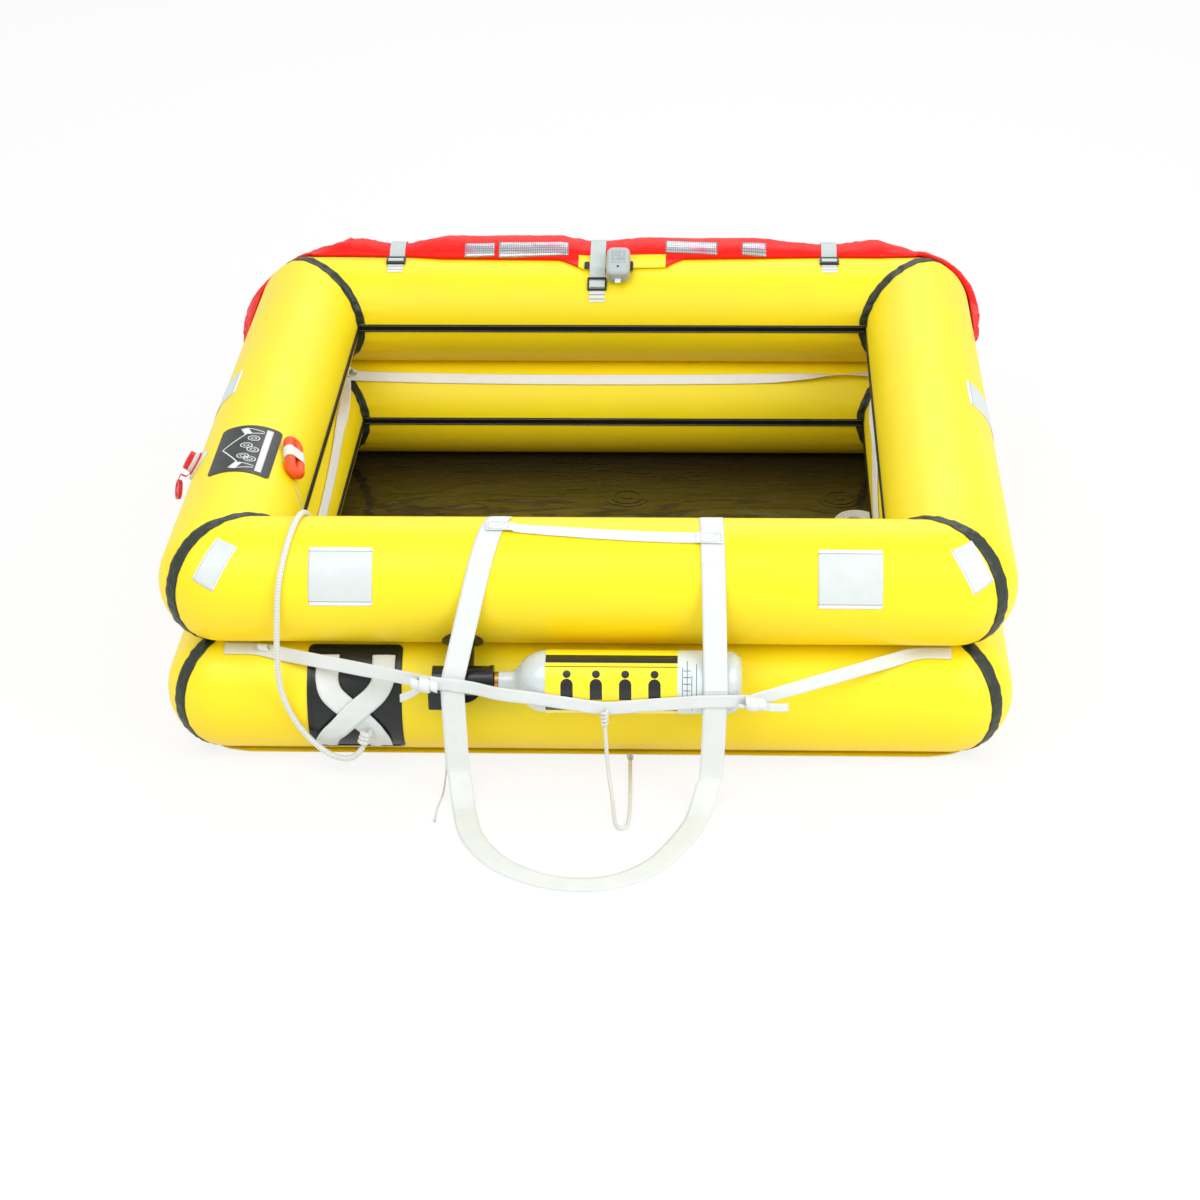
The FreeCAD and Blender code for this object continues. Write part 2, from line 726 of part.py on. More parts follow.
def make_boarding_strap():
    gap = float(s.seat_gap)
    left = boarding_leg(-149.0, -196.0, -224.0, 36.0, -203.0)
    right = boarding_leg(217.0, 225.0, 227.0, float(s.bottle_radius) + gap, 195.0)
    loop = [Vector(x, -float(s.half_span) - out, 0.2) for x, out in BOARDING_LOOP]
    floor = []
    for index, spot in enumerate(loop):
        before = loop[index - 1] if index > 0 else left[-1][0]
        after = loop[index + 1] if index < len(loop) - 1 else right[-1][0]
        along = (after - before).normalize()
        floor.append((spot, along.cross(Vector(0, 0, 1)) * -1, Vector(0, 0, 1)))
    # The right leg is read from the floor up, so its webbing turns over
    stations = left + floor + [(spot, across * -1, out) for spot, across, out in reversed(right)]
    strap = webbing(stations, float(s.boarding_width), float(s.boarding_thickness))
    keep("boarding_strap", solid_feature("BoardingStrap", strap))


def make_rung():
    """The narrow webbing between the boarding strap's legs, near the tube's top."""
    low = 0.8
    over = low + float(s.boarding_thickness) + 2.2
    half = float(s.boarding_width) / 2
    rows = [
        (-150.0 - half, 80.0, over), (-149.0 + half, 80.0, over), (-112.0, 79.0, low), (-20.0, 74.0, low),
        (80.0, 70.0, low), (178.0, 68.0, low), (217.0 - half, 67.0, over), (217.0 + half, 66.0, over),
    ]
    stations = [tube_station("front", HIGH_TUBE_Z, x, angle, rise, 0.0) for x, angle, rise in rows]
    rung = webbing(stations, float(s.rung_width), float(s.lifeline_thickness))
    keep("boarding_rung", solid_feature("BoardingRung", rung))


def knot_solid(middle, long_way, length, thickness):
    """A pulled-tight knot as a rounded lump."""
    radius = thickness / 2
    way = Vector(long_way).normalize()
    start = middle - way * (length / 2 - radius)
    end = middle + way * (length / 2 - radius)
    lump = Part.makeCylinder(radius, length - thickness, start, way)
    return lump.multiFuse([Part.makeSphere(radius, start), Part.makeSphere(radius, end)]).Solids[0]


def in_front(x, y, z, lean=0.0):
    """A webbing station that faces the boarding side, standing nearly upright."""
    turn = math.radians(lean)
    return Vector(x, y, z), Vector(0, math.sin(turn), math.cos(turn)), Vector(0, -math.cos(turn), math.sin(turn))


def make_outer_lifeline():
    """Webbing from corner to corner, sewn over the boarding strap, knotted beside it."""
    gap = float(s.seat_gap)
    clear = 0.8
    over_patch = gap + float(s.patch_thickness) + float(s.tow_rim_rise) + float(s.boarding_thickness) + clear
    front = BOTTLE_Y - float(s.bottle_radius + s.label_thickness) - gap - 0.6
    over_leg = front - float(s.boarding_thickness) - 0.8
    left_front = BOTTLE_Y - 36.0 - 0.6 - float(s.boarding_thickness) - 0.8
    end = float(s.half_span) - 12.0
    left = [
        tube_station("front", LOW_TUBE_Z, -end - 8, 63.0, clear, 0.0),
        tube_station("front", LOW_TUBE_Z, 50.0 - end, 62.5, clear, 0.0),
    ]
    leave = 58.0 - end
    for share in (0.15, 0.4, 0.7):
        level = 207.0 + 7.0 * share
        left.append(in_front(leave - (262.0 + leave) * share, -692.0 + (left_front + 692.0) * share, level, 24 - 24 * share))
    left.extend([
        in_front(-262.0, left_front, 214.0),
    ])
    middle = [
        in_front(-262.0, left_front, 214.0),
        in_front(-224.0, left_front, 209.0),
        in_front(-190.0, left_front - 3, 206.0),
        in_front(-141.0, front - 2, 203.0),
        in_front(-84.0, front, 194.0),
        in_front(-20.0, front, 184.0),
        in_front(38.0, front, 176.0),
        in_front(98.0, front, 181.0),
        in_front(166.0, front - 1, 187.0),
        in_front(204.0, over_leg, 191.0),
        in_front(250.0, over_leg, 192.0),
        in_front(284.0, over_leg, 192.0),
    ]
    right = [in_front(284.0, over_leg, 192.0)]
    for share in (0.3, 0.6, 0.85):
        level = 192.0 + 15.0 * share
        right.append(in_front(284.0 - (284.0 + leave) * share, over_leg - (over_leg + 692.0) * share, level, 28 * share))
    right.extend([
        tube_station("front", LOW_TUBE_Z, end - 50.0, 62.5, clear, 0.0),
        tube_station("front", LOW_TUBE_Z, end + 8, 63.0, clear, 0.0),
    ])
    left_tail = [
        in_front(-276.0, left_front, 206.0),
        in_front(-296.0, left_front + 14, 184.0, 5.0),
        in_front(-318.0, left_front + 26, 168.0, 10.0),
    ]
    right_tail = [
        in_front(296.0, over_leg + 1, 186.0),
        in_front(326.0, over_leg + 16, 172.0, 5.0),
        in_front(352.0, over_leg + 28, 166.0, 10.0),
    ]
    width = float(s.lifeline_width)
    thickness = float(s.lifeline_thickness)
    pieces = [webbing(run, width, thickness) for run in (left, middle, right)]
    pieces.extend(webbing(run, width * 0.6, thickness) for run in (left_tail, right_tail))
    pieces.append(knot_solid(Vector(-272, left_front - 4, 211), Vector(1, 0, -0.3), 44.0, 24.0))
    pieces.append(knot_solid(Vector(292, over_leg - 5, 190), Vector(1, 0, -0.12), 48.0, 24.0))
    pieces.append(knot_solid(tube_point("front", LOW_TUBE_Z, 62.0 - end, 62.0, 8.0), Vector(1, -0.3, 0), 26.0, 13.0))
    line = pieces[0].multiFuse(pieces[1:])
    keep("outer_lifeline", solid_feature("OuterLifeline", line))


INNER_KNOT_ANGLE = 128.0


def make_inner_lifeline():
    """Webbing round the inside, knotted in the corners."""
    width = float(s.lifeline_width) * 0.92
    thickness = float(s.lifeline_thickness)
    reach = float(s.half_span) - float(s.tube_radius) + 30.0
    pieces = []
    for side in ("front", "right", "back", "left"):
        stations = []
        for along in between(-reach, reach, 6):
            droop = 5.0 * (1 - (along / reach) ** 2)
            rise = 0.8 + 2.6 * abs(along / reach) ** 8
            stations.append(tube_station(side, LOW_TUBE_Z, along, INNER_KNOT_ANGLE + droop, rise, 0.0))
        pieces.append(webbing(stations, width, thickness))
    knot_at = tube_point("front", LOW_TUBE_Z, 0.0, INNER_KNOT_ANGLE, 17.0)
    for quarter in range(4):
        spot = Vector(-abs(knot_at.y), knot_at.y, knot_at.z)
        turned = Rotation(Vector(0, 0, 1), 90.0 * quarter).multVec(spot)
        way = Rotation(Vector(0, 0, 1), 90.0 * quarter).multVec(Vector(1, 1, 0))
        pieces.append(knot_solid(turned, way, 38.0, 22.0))
    line = pieces[0].multiFuse(pieces[1:])
    keep("inner_lifeline", solid_feature("InnerLifeline", line))


def make_tow_bridle():
    """Two straps sewn to the towing patch, crossed below, with the painter's knot."""
    middle = float(s.tow_patch_middle)
    low = float(s.seat_gap * 2 + s.patch_thickness) + 1.1
    over = low + float(s.boarding_thickness) + 0.6
    width = 40.0
    first = [
        (-47.0, 56.0, low, 90.0), (-47.0, 44.0, low, 90.0), (-47.0, 32.0, low, 88.0), (-38.0, 20.0, low, 60.0),
        (-8.0, 6.0, low, 48.0), (22.0, -10.0, low, 52.0), (38.0, -24.0, low, 70.0), (42.0, -37.0, low, 86.0),
    ]
    second = [
        (51.0, 56.0, low, 90.0), (51.0, 44.0, low, 90.0), (50.0, 32.0, low, 95.0), (36.0, 20.0, low + 1, 118.0),
        (4.0, 6.0, over, 132.0), (-26.0, -10.0, over, 130.0), (-48.0, -24.0, low + 1, 108.0), (-56.0, -37.0, low, 94.0),
    ]
    pieces = []
    for rows in (first, second):
        stations = [
            tube_station("front", LOW_TUBE_Z, middle + x, angle, rise, lean)
            for x, angle, rise, lean in rows
        ]
        pieces.append(webbing(stations, width, float(s.boarding_thickness)))
    keep("tow_bridle", solid_feature("TowBridle", Part.makeCompound(pieces)))


# Gas cylinder and operating head

def along_front(x):
    """Placement on the gas cylinder's axis with the local Z axis pointing left."""
    return Placement(Vector(number_of(x), BOTTLE_Y, BOTTLE_Z), Rotation(Vector(0, 1, 0), -90))


THREAD_RADIUS = s.bottle_neck_radius * 0.6
THREAD_LENGTH = s.ring_length + 15
NECK_END = s.bottle_shoulder - s.bottle_shoulder_length - s.bottle_neck_length
HEAD_START = NECK_END - s.ring_length


def make_bottle():
    body_end = s.bottle_base - s.bottle_shoulder
    neck_start = body_end + s.bottle_shoulder_length
    neck_end = neck_start + s.bottle_neck_length
    body = turned_body("GasCylinder", [
        (0, 0),
        (s.bottle_radius, 0),
        (s.bottle_radius, body_end),
        (s.bottle_neck_radius + 3, neck_start),
        (s.bottle_neck_radius, neck_start + 4),
        (s.bottle_neck_radius, neck_end),
        (THREAD_RADIUS, neck_end),
        (THREAD_RADIUS, neck_end + THREAD_LENGTH),
        (s.pin_bore, neck_end + THREAD_LENGTH),
        (s.pin_bore, neck_end + THREAD_LENGTH - 12),
        (0, neck_end + THREAD_LENGTH - 12),
    ])
    round_edges(body, "base_round", s.bottle_base_round, is_round_at(0.0, float(s.bottle_radius)))
    shoulder = is_round_at(float(body_end), float(s.bottle_radius))
    round_edges(body, "shoulder_round", s.bottle_shoulder_length * 0.5, shoulder)
    body.Placement = along_front(s.bottle_base)
    keep("gas_cylinder", body)


def make_wrap(label, start, length):
    """A label wrapped round the gas cylinder."""
    inner = bind(doc.addObject("Part::Cylinder", label + "_inner"), Radius=s.bottle_radius + 0.05, Height=length * 2)
    outer = bind(doc.addObject("Part::Cylinder", label + "_outer"), Radius=s.bottle_radius + s.label_thickness, Height=length)
    outer.Placement = along_front(start + length)
    inner.Placement = along_front(start + length * 1.5)
    wrap = doc.addObject("Part::Cut", label + "_wrap")
    wrap.Base = outer
    wrap.Tool = inner
    keep(label, wrap)


def make_coupling_ring():
    body = turned_body("CouplingRing", [
        (THREAD_RADIUS + 0.1, 0),
        (s.ring_radius - 1.5, 0),
        (s.ring_radius, 1.5),
        (s.ring_radius, s.ring_length - 1.5),
        (s.ring_radius - 1.5, s.ring_length),
        (THREAD_RADIUS + 0.1, s.ring_length),
    ])
    body.Placement = along_front(NECK_END)
    keep("coupling_ring", body)


# The head is drawn in the raft's own frame, with X along its barrel
HEAD_END = HEAD_START - s.head_length
LEVER_X = float(HEAD_END) + 19.0
LEVER_DROP = 16.0
LEVER_TIP = 6.0
INLET_X = float(HEAD_START) - 58.0


def inlet_stem(height, angle, length):
    """Placement and length of a stem from a tube's surface towards the barrel."""
    place = tube_place("front", height, INLET_X, angle, s.tube_radius)
    return place, length


def make_head():
    """Barrel, two gas inlets and the boot that shields the firing lever."""
    body = doc.addObject("PartDesign::Body", "OperatingHead")
    primitive(
        body, "AdditiveCylinder", "barrel", along_front(HEAD_START),
        Radius=s.head_radius, Height=s.head_length,
    )
    collar_place = along_front(HEAD_START)
    primitive(
        body, "AdditiveCylinder", "collar", collar_place,
        Radius=s.head_radius + 1.5, Height=7,
    )
    flange = s.inlet_flange_thickness + 0.1
    upper, upper_length = inlet_stem(HIGH_TUBE_Z, float(s.inlet_angle), 62.0)
    lower, lower_length = inlet_stem(LOW_TUBE_Z, float(s.bottle_rest_angle), 44.0)
    narrow = s.inlet_stem_radius
    rows = (("upper_stem", upper, upper_length, narrow * 1.55), ("lower_stem", lower, lower_length, narrow))
    for name, place, length, radius in rows:
        start = place.multiply(Placement(Vector(0, 0, float(flange)), Rotation()))
        primitive(body, "AdditiveCylinder", name, start, Radius=radius, Height=length)
    boot_left = float(HEAD_END) - 9.0
    boot_width = float(s.lever_width + s.lever_slot_play * 2) + 16.0
    boot_low = BOTTLE_Z - float(s.head_radius) - 26.0
    boot_high = BOTTLE_Z - 10.0
    boot = Placement(Vector(boot_left, BOTTLE_Y - boot_width / 2, boot_low), Rotation())
    primitive(body, "AdditiveBox", "boot", boot, Length=56.0, Width=boot_width, Height=boot_high - boot_low)
    round_edges(body, "boot_round", 5.0, is_boot_edge(boot_left))
    socket = along_front(HEAD_START + 1)
    primitive(
        body, "SubtractiveCylinder", "socket", socket,
        Radius=THREAD_RADIUS + 0.1, Height=THREAD_LENGTH - s.ring_length + 2,
    )
    primitive(
        body, "SubtractiveCylinder", "pin_way", socket,
        Radius=s.pin_bore, Height=s.head_length - 12,
    )
    slot_width = float(s.lever_width + s.lever_slot_play * 2)
    slot = Placement(Vector(boot_left - 5.0, BOTTLE_Y - slot_width / 2, boot_low - 5.0), Rotation())
    slot_tall = BOTTLE_Z + 8.0 - boot_low + 5.0
    primitive(body, "SubtractiveBox", "lever_slot", slot, Length=48.0, Width=slot_width, Height=slot_tall)
    pivot = Placement(
        Vector(LEVER_X, BOTTLE_Y + boot_width, BOTTLE_Z - LEVER_DROP), Rotation(Vector(1, 0, 0), 90),
    )
    primitive(
        body, "SubtractiveCylinder", "pivot_hole", pivot,
        Radius=s.lever_pin_radius + 0.05, Height=boot_width * 2,
    )
    keep("operating_head", body)


def is_boot_edge(left):
    """Picks the upright edges at the boot's left side."""
    def chosen(edge):
        box = edge.BoundBox
        upright = box.ZLength > 5 and box.XLength < 0.01 and box.YLength < 0.01
        return upright and abs(box.XMin - left) < 0.01
    return chosen


def make_inlet_flanges():
    """Round flanges welded to the two tubes, cut to sit on them."""
    rows = (
        ("upper_inlet_flange", HIGH_TUBE_Z, float(s.inlet_angle)),
        ("lower_inlet_flange", LOW_TUBE_Z, float(s.bottle_rest_angle)),
    )
    for label, height, angle in rows:
        place = tube_place("front", height, INLET_X, angle, s.tube_radius)
        disc = bind(
            doc.addObject("Part::Cylinder", label + "_disc"),
            Radius=s.inlet_flange_radius, Height=s.inlet_flange_thickness + 7,
        )
        disc.Placement = place.multiply(Placement(Vector(0, 0, -7), Rotation()))
        bed = bind(
            doc.addObject("Part::Cylinder", label + "_bed"),
            Radius=s.tube_radius + s.seat_gap, Height=s.inlet_flange_radius * 4,
        )
        left = INLET_X - float(s.inlet_flange_radius) * 2
        bed.Placement = Placement(Vector(left, -float(s.half_span), float(height)), Rotation(Vector(0, 1, 0), 90))
        flange = doc.addObject("Part::Cut", label + "_seated")
        flange.Base = disc
        flange.Tool = bed
        keep(label, flange)


def make_piercing_pin():
    """The pin that breaks the cylinder's seal when the lever pushes it."""
    radius = s.pin_bore - s.pin_play
    body = turned_body("PiercingPin", [
        (0, 0),
        (radius, 0),
        (radius, s.pin_length - 8),
        (1.2, s.pin_length - 8),
        (0.4, s.pin_length),
        (0, s.pin_length),
    ])
    start = LEVER_X + 4.3
    body.Placement = Placement(Vector(start, BOTTLE_Y, BOTTLE_Z), Rotation(Vector(0, 1, 0), 90))
    keep("piercing_pin", body)


def make_lever():
    """The lever: a nose above the pivot for the pin, an arm below it for the cord."""
    low = -(s.lever_length - LEVER_DROP + LEVER_TIP)
    body = doc.addObject("PartDesign::Body", "FiringLever")
    sketch = sketch_outline(body, "XY_Plane", "lever_outline", [
        (-4, low), (4, low), (5, -8), (6, 0), (4, 12), (4, 20), (-2, 20), (-6, 8), (-6, -6),
    ])
    pad = body.newObject("PartDesign::Pad", "lever_pad")
    pad.Profile = sketch
    bind(pad, Length=s.lever_width)
    body.Tip = pad
    doc.recompute()
    primitive(
        body, "SubtractiveCylinder", "pivot_bore", Placement(Vector(0, 0, -1), Rotation()),
        Radius=s.lever_pin_radius + 0.05, Height=s.lever_width + 2,
    )
    cord_hole = Placement(Vector(0, float(low) + 4.5, -1), Rotation())
    primitive(
        body, "SubtractiveCylinder", "cord_hole", cord_hole,
        Radius=s.firing_cord_diameter / 2 + 0.3, Height=s.lever_width + 2,
    )
    stand = Rotation(Vector(1, 0, 0), 90)
    at = Vector(LEVER_X, BOTTLE_Y + float(s.lever_width) / 2, BOTTLE_Z - LEVER_DROP)
    body.Placement = Placement(at, stand)
    keep("firing_lever", body)


def make_lever_pin():
    width = s.lever_width + s.lever_slot_play * 2 + 16
    pin = bind(doc.addObject("Part::Cylinder", "LeverPin"), Radius=s.lever_pin_radius, Height=width)
    pin.Placement = Placement(
        Vector(LEVER_X, BOTTLE_Y + float(width) / 2, BOTTLE_Z - LEVER_DROP), Rotation(Vector(1, 0, 0), 90),
    )
    keep("lever_pin", pin)


# Topping-up valves

def valve_places():
    """Label, place of the tube's surface under the valve, tube height, along and angle."""
    place = -s.valve_place
    rows = (
        ("upper", HIGH_TUBE_Z, float(place), float(s.valve_angle)),
        ("lower", LOW_TUBE_Z, float(place + s.valve_stagger), float(s.valve_angle)),
    )
    for name, height, along, angle in rows:
        yield name, height, along, tube_place("left", height, along, angle, s.tube_radius)


VALVE_SEAT = 6.4
VALVE_WEB = 2.0


def make_valves():
    for name, height, along, place in valve_places():
        top = s.valve_height
        seat = VALVE_SEAT + VALVE_WEB
        body = turned_body(name + "_valve_turning", [
            (s.valve_bore, -6),
            (s.valve_flange_radius, -6),
            (s.valve_flange_radius, s.valve_flange_thickness),
            (s.valve_radius, s.valve_flange_thickness + 1.5),
            (s.valve_radius, top),
            (s.valve_bore, top),
            (s.valve_bore, seat),
            (s.poppet_stem_radius + 0.1, seat),
            (s.poppet_stem_radius + 0.1, VALVE_SEAT),
            (s.valve_bore, VALVE_SEAT),
        ])
        window = body.newObject("PartDesign::SubtractiveCylinder", name + "_window")
        window.MapMode = "Deactivated"
        bind(window, Radius=1.4, Height=VALVE_WEB * 3)
        window.Placement = Placement(Vector(4.4, 0, VALVE_SEAT - VALVE_WEB), Rotation())
        body.Tip = window
        doc.recompute()
        pattern = body.newObject("PartDesign::PolarPattern", name + "_windows")
        pattern.Originals = [window]
        pattern.Axis = (body.Origin.OriginFeatures[2], [""])
        pattern.Angle = 360
        pattern.Occurrences = 6
        body.Tip = pattern
        doc.recompute()
        body.Placement = place
        bed = bind(
            doc.addObject("Part::Cylinder", name + "_valve_bed"),
            Radius=s.tube_radius + s.seat_gap, Height=s.valve_flange_radius * 4,
        )
        start = -along - float(s.valve_flange_radius) * 2
        bed.Placement = Placement(Vector(-float(s.half_span), start, float(height)), Rotation(Vector(1, 0, 0), -90))
        seated = doc.addObject("Part::Cut", name + "_valve_seated")
        seated.Base = body
        seated.Tool = bed
        keep(name + "_valve", seated)
        make_poppet(name, place)
        make_cap(name, place)


def make_poppet(name, place):
    """A disc under the valve's seat, with a stem to push it open."""
    body = turned_body(name + "_poppet_turning", [
        (0, 0),
        (s.poppet_radius, 0),
        (s.poppet_radius, s.poppet_thickness),
        (s.poppet_stem_radius, s.poppet_thickness),
        (s.poppet_stem_radius, s.valve_height - s.cap_plug_depth - 1.0 - VALVE_SEAT + s.poppet_thickness + 0.1),
        (0, s.valve_height - s.cap_plug_depth - 1.0 - VALVE_SEAT + s.poppet_thickness + 0.1),
    ])
    down = VALVE_SEAT - 0.1 - float(s.poppet_thickness)
    body.Placement = place.multiply(Placement(Vector(0, 0, down), Rotation()))
    keep(name + "_poppet", body)


def make_cap(name, place):
    """A push-on cap with grip notches round its edge and a plug under it."""
    body = turned_body(name + "_cap_turning", [
        (0, -s.cap_plug_depth),
        (s.cap_plug_radius, -s.cap_plug_depth),
        (s.cap_plug_radius, 0),
        (s.cap_radius, 0),
        (s.cap_radius, s.cap_height - 2),
        (s.cap_radius - 2, s.cap_height),
        (s.cap_radius * 0.5, s.cap_height),
        (s.cap_radius * 0.45, s.cap_height - 2),
        (0, s.cap_height - 2),
    ])
    notch = body.newObject("PartDesign::SubtractiveCylinder", name + "_notch")
    notch.MapMode = "Deactivated"
    bind(notch, Radius=3.0, Height=s.cap_height * 2)
    notch.Placement = Placement(Vector(float(s.cap_radius) + 1.8, 0, -1), Rotation())
    body.Tip = notch
    doc.recompute()
    pattern = body.newObject("PartDesign::PolarPattern", name + "_notches")
    pattern.Originals = [notch]
    pattern.Axis = (body.Origin.OriginFeatures[2], [""])
    pattern.Angle = 360
    pattern.Occurrences = 8
    body.Tip = pattern
    doc.recompute()
    body.Placement = place.multiply(Placement(Vector(0, 0, float(s.valve_height) + 0.1), Rotation()))
    keep(name + "_valve_cap", body)


# Stowed canopy

# How far the canopy's path runs round a corner, and on along each side
CORNER_RUN = 180.0
LEFT_WRAP = 210.0
RIGHT_WRAP = 168.0
STRAP_ROOM = 22.0


def read_table(rows, at):
    """Straight-line reading between the rows of a table."""
    if at <= rows[0][0]:
        return rows[0][1]
    for (start, first), (end, second) in zip(rows, rows[1:]):
        if at <= end:
            return first + (second - first) * (at - start) / (end - start)
    return rows[-1][1]


def canopy_tables():
    """Roll edge, flap edge, thickness, lower edge and ripple along the canopy, left to right."""
    half = float(s.half_span)
    left_end = -half - CORNER_RUN - LEFT_WRAP
    right_end = half + CORNER_RUN + RIGHT_WRAP
    straps = [float(s.left_strap_place), float(s.middle_strap_place), float(s.right_strap_place)]
    high = float(s.canopy_high)
    depth = float(s.canopy_depth)
    left_side = -half - CORNER_RUN
    right_side = half + CORNER_RUN
    roll = [
        (left_end, 10.0), (left_side, 16.0), (-half - CORNER_RUN * 0.75, 22.0), (-half - CORNER_RUN / 2, 36.0),
        (-half - CORNER_RUN * 0.2, 60.0), (-half, high - 18),
        (straps[0] - STRAP_ROOM, high - 11), (straps[0] + STRAP_ROOM, high - 11), (-364.0, high - 3),
        (-110.0, high), (110.0, high - 2), (300.0, high - 6),
        (straps[2] - STRAP_ROOM, high - 11), (straps[2] + STRAP_ROOM, high - 11), (560.0, high - 10), (half, high - 18),
        (half + CORNER_RUN * 0.2, 67.0), (half + CORNER_RUN / 2, 52.0), (half + CORNER_RUN * 0.75, 34.0),
        (right_side, 10.0), (right_end, 2.0),
    ]
    flap = [(-112.0, 0.0), (-60.0, 20.0), (112.0, 18.0), (150.0, 0.0)]
    thick = [
        (left_end, depth * 0.2), (left_end + 60, depth * 0.5), (left_side, depth * 0.6),
        (-half - CORNER_RUN * 0.75, depth * 0.4), (-half - CORNER_RUN / 2, depth * 0.3), (-half, depth * 0.33),
        (-590.0, depth * 0.8), (-560.0, depth * 1.02),
        (straps[0] - STRAP_ROOM, depth * 0.7), (straps[0] + STRAP_ROOM, depth * 0.7), (-350.0, depth * 0.97),
        (-110.0, depth * 0.96), (straps[1] - STRAP_ROOM, depth * 0.74), (straps[1] + STRAP_ROOM, depth * 0.74),
        (70.0, depth * 0.9), (200.0, depth * 0.88), (310.0, depth * 0.92),
        (straps[2] - STRAP_ROOM, depth * 0.68), (straps[2] + STRAP_ROOM, depth * 0.68), (560.0, depth * 0.86),
        (half, depth * 0.38), (half + CORNER_RUN / 2, depth * 0.52), (right_side, depth * 0.76),
        (right_end - 60, depth * 0.66), (right_end, depth * 0.2),
    ]
    low = float(s.canopy_low)
    hang = [
        (left_end, low - 14), (left_side, low - 20), (-half - CORNER_RUN / 2, low - 14), (-560.0, low),
        (560.0, low), (half + CORNER_RUN / 2, low - 14), (right_side, low - 20), (right_end, low - 14),
    ]
    ripple = []
    for place in straps:
        ripple.extend([
            (place - STRAP_ROOM * 3, 1.0), (place - STRAP_ROOM, 0.3), (place + STRAP_ROOM, 0.3), (place + STRAP_ROOM * 3, 1.0),
        ])
    return roll, flap, thick, hang, ripple


CANOPY_ROLL, CANOPY_FLAP, CANOPY_THICK, CANOPY_HANG, CANOPY_RIPPLE = canopy_tables()


def canopy_frame(run):
    """Centre of the section and its outward direction at a distance along the canopy."""
    half = float(s.half_span)
    hand = math.copysign(1.0, run)
    reach = abs(run)
    if reach <= half:
        return Vector(run, half, 0), Vector(0, 1, 0)
    if reach <= half + CORNER_RUN:
        turn = math.pi / 2 * (reach - half) / CORNER_RUN
        return Vector(hand * half, half, 0), Vector(hand * math.sin(turn), math.cos(turn), 0)
    return Vector(hand * half, half * 2 + CORNER_RUN - reach, 0), Vector(hand, 0, 0)


def canopy_rise(run):
    """Height of the canopy's underside over the tube, a little more round a corner."""
    base = float(s.seat_gap) * 2 + float(s.tape_thickness)
    bend = 1.6 if abs(run) > float(s.half_span) else 0.0
    return base + bend


def canopy_outline(run, count):
    """Points of the outer face as (radius, angle), from the outer edge to the inner."""
    low = read_table(CANOPY_HANG, run)
    roll = read_table(CANOPY_ROLL, run)
    flap = roll + read_table(CANOPY_FLAP, run)
    depth = read_table(CANOPY_THICK, run)
    ripple = read_table(CANOPY_RIPPLE, run)
    edge = min(float(s.canopy_edge), depth)
    phase = run / 62.0 + 1.3 * math.sin(run / 85.0)
    base = float(s.tube_radius) + canopy_rise(run)
    points = []
    for index in range(count + 1):
        angle = low + (flap - low) * index / count
        share = min(1.0, max(0.0, (angle - low) / (roll - low)))
        swell = math.sin(math.pi * share) ** 0.6
        wave = 1.0 + 0.15 * ripple * math.cos(2 * math.pi * 2.5 * share + phase)
        points.append((base + edge + (depth - edge) * swell * wave, angle))
    return points


def canopy_spot(run, radius, angle):
    centre, outward = canopy_frame(run)
    turn = math.radians(angle)
    lift = Vector(0, 0, float(HIGH_TUBE_Z) + radius * math.sin(turn))
    return centre + outward * (radius * math.cos(turn)) + lift


CANOPY_STEPS = 13


def canopy_section(run):
    """Edges round the canopy's section: outer face, inner edge, underside, outer edge."""
    outer = canopy_outline(run, CANOPY_STEPS)
    base = float(s.tube_radius) + canopy_rise(run)
    low = outer[0][1]
    high = outer[-1][1]
    spots = [canopy_spot(run, radius, angle) for radius, angle in outer]
    under_low = canopy_spot(run, base, low)
    under_middle = canopy_spot(run, base, (low + high) / 2)
    under_high = canopy_spot(run, base, high)
    curve = Part.BSplineCurve()
    curve.interpolate(spots)
    return [
        curve.toShape(),
        Part.makeLine(spots[-1], under_high),
        Part.Arc(under_high, under_middle, under_low).toShape(),
        Part.makeLine(under_low, spots[0]),
    ]


def canopy_stations():
    """Distances along the canopy, close together in its corners and flap edges."""
    half = float(s.half_span)
    fixed = [CANOPY_ROLL[0][0], -half - CORNER_RUN, -half, half, half + CORNER_RUN, CANOPY_ROLL[-1][0]]
    fixed.extend(place for place, width in CANOPY_FLAP)
    for place in (s.left_strap_place, s.middle_strap_place, s.right_strap_place):
        fixed.extend([float(place) - STRAP_ROOM, float(place) + STRAP_ROOM])
    fixed.sort()
    flap_edges = [CANOPY_FLAP[1][0], CANOPY_FLAP[-1][0]]
    runs = [fixed[0]]
    for start, end in zip(fixed, fixed[1:]):
        spacing = 48.0
        if abs(start + end) > 2 * half:
            spacing = 30.0
        if end in flap_edges:
            spacing = 13.0
        steps = max(1, round((end - start) / spacing))
        runs.extend(between(start, end, steps)[1:])
    return runs


def make_canopy():
    """The canopy rolled up along the back, ruled from one gathered section to the next."""
    faces = []
    sections = [canopy_section(run) for run in canopy_stations()]
    for here, there in zip(sections, sections[1:]):
        for start, end in zip(here, there):
            faces.append(Part.makeRuledSurface(start, end))
    for section in (sections[0], sections[-1]):
        faces.append(Part.Face(Part.Wire(section)))
    shell = Part.makeCompound(faces)
    shell.sewShape()
    roll = Part.Solid(shell.Shells[0])
    if roll.Volume < 0:
        roll.reverse()
    keep("canopy", solid_feature("Canopy", roll))


def strap_rows():
    """Place of each canopy strap and the angle of its buckle's middle."""
    high = float(s.canopy_high)
    return [
        (float(s.left_strap_place), high + 3),
        (float(s.middle_strap_place), high + 39),
        (float(s.right_strap_place), high + 3),
    ]


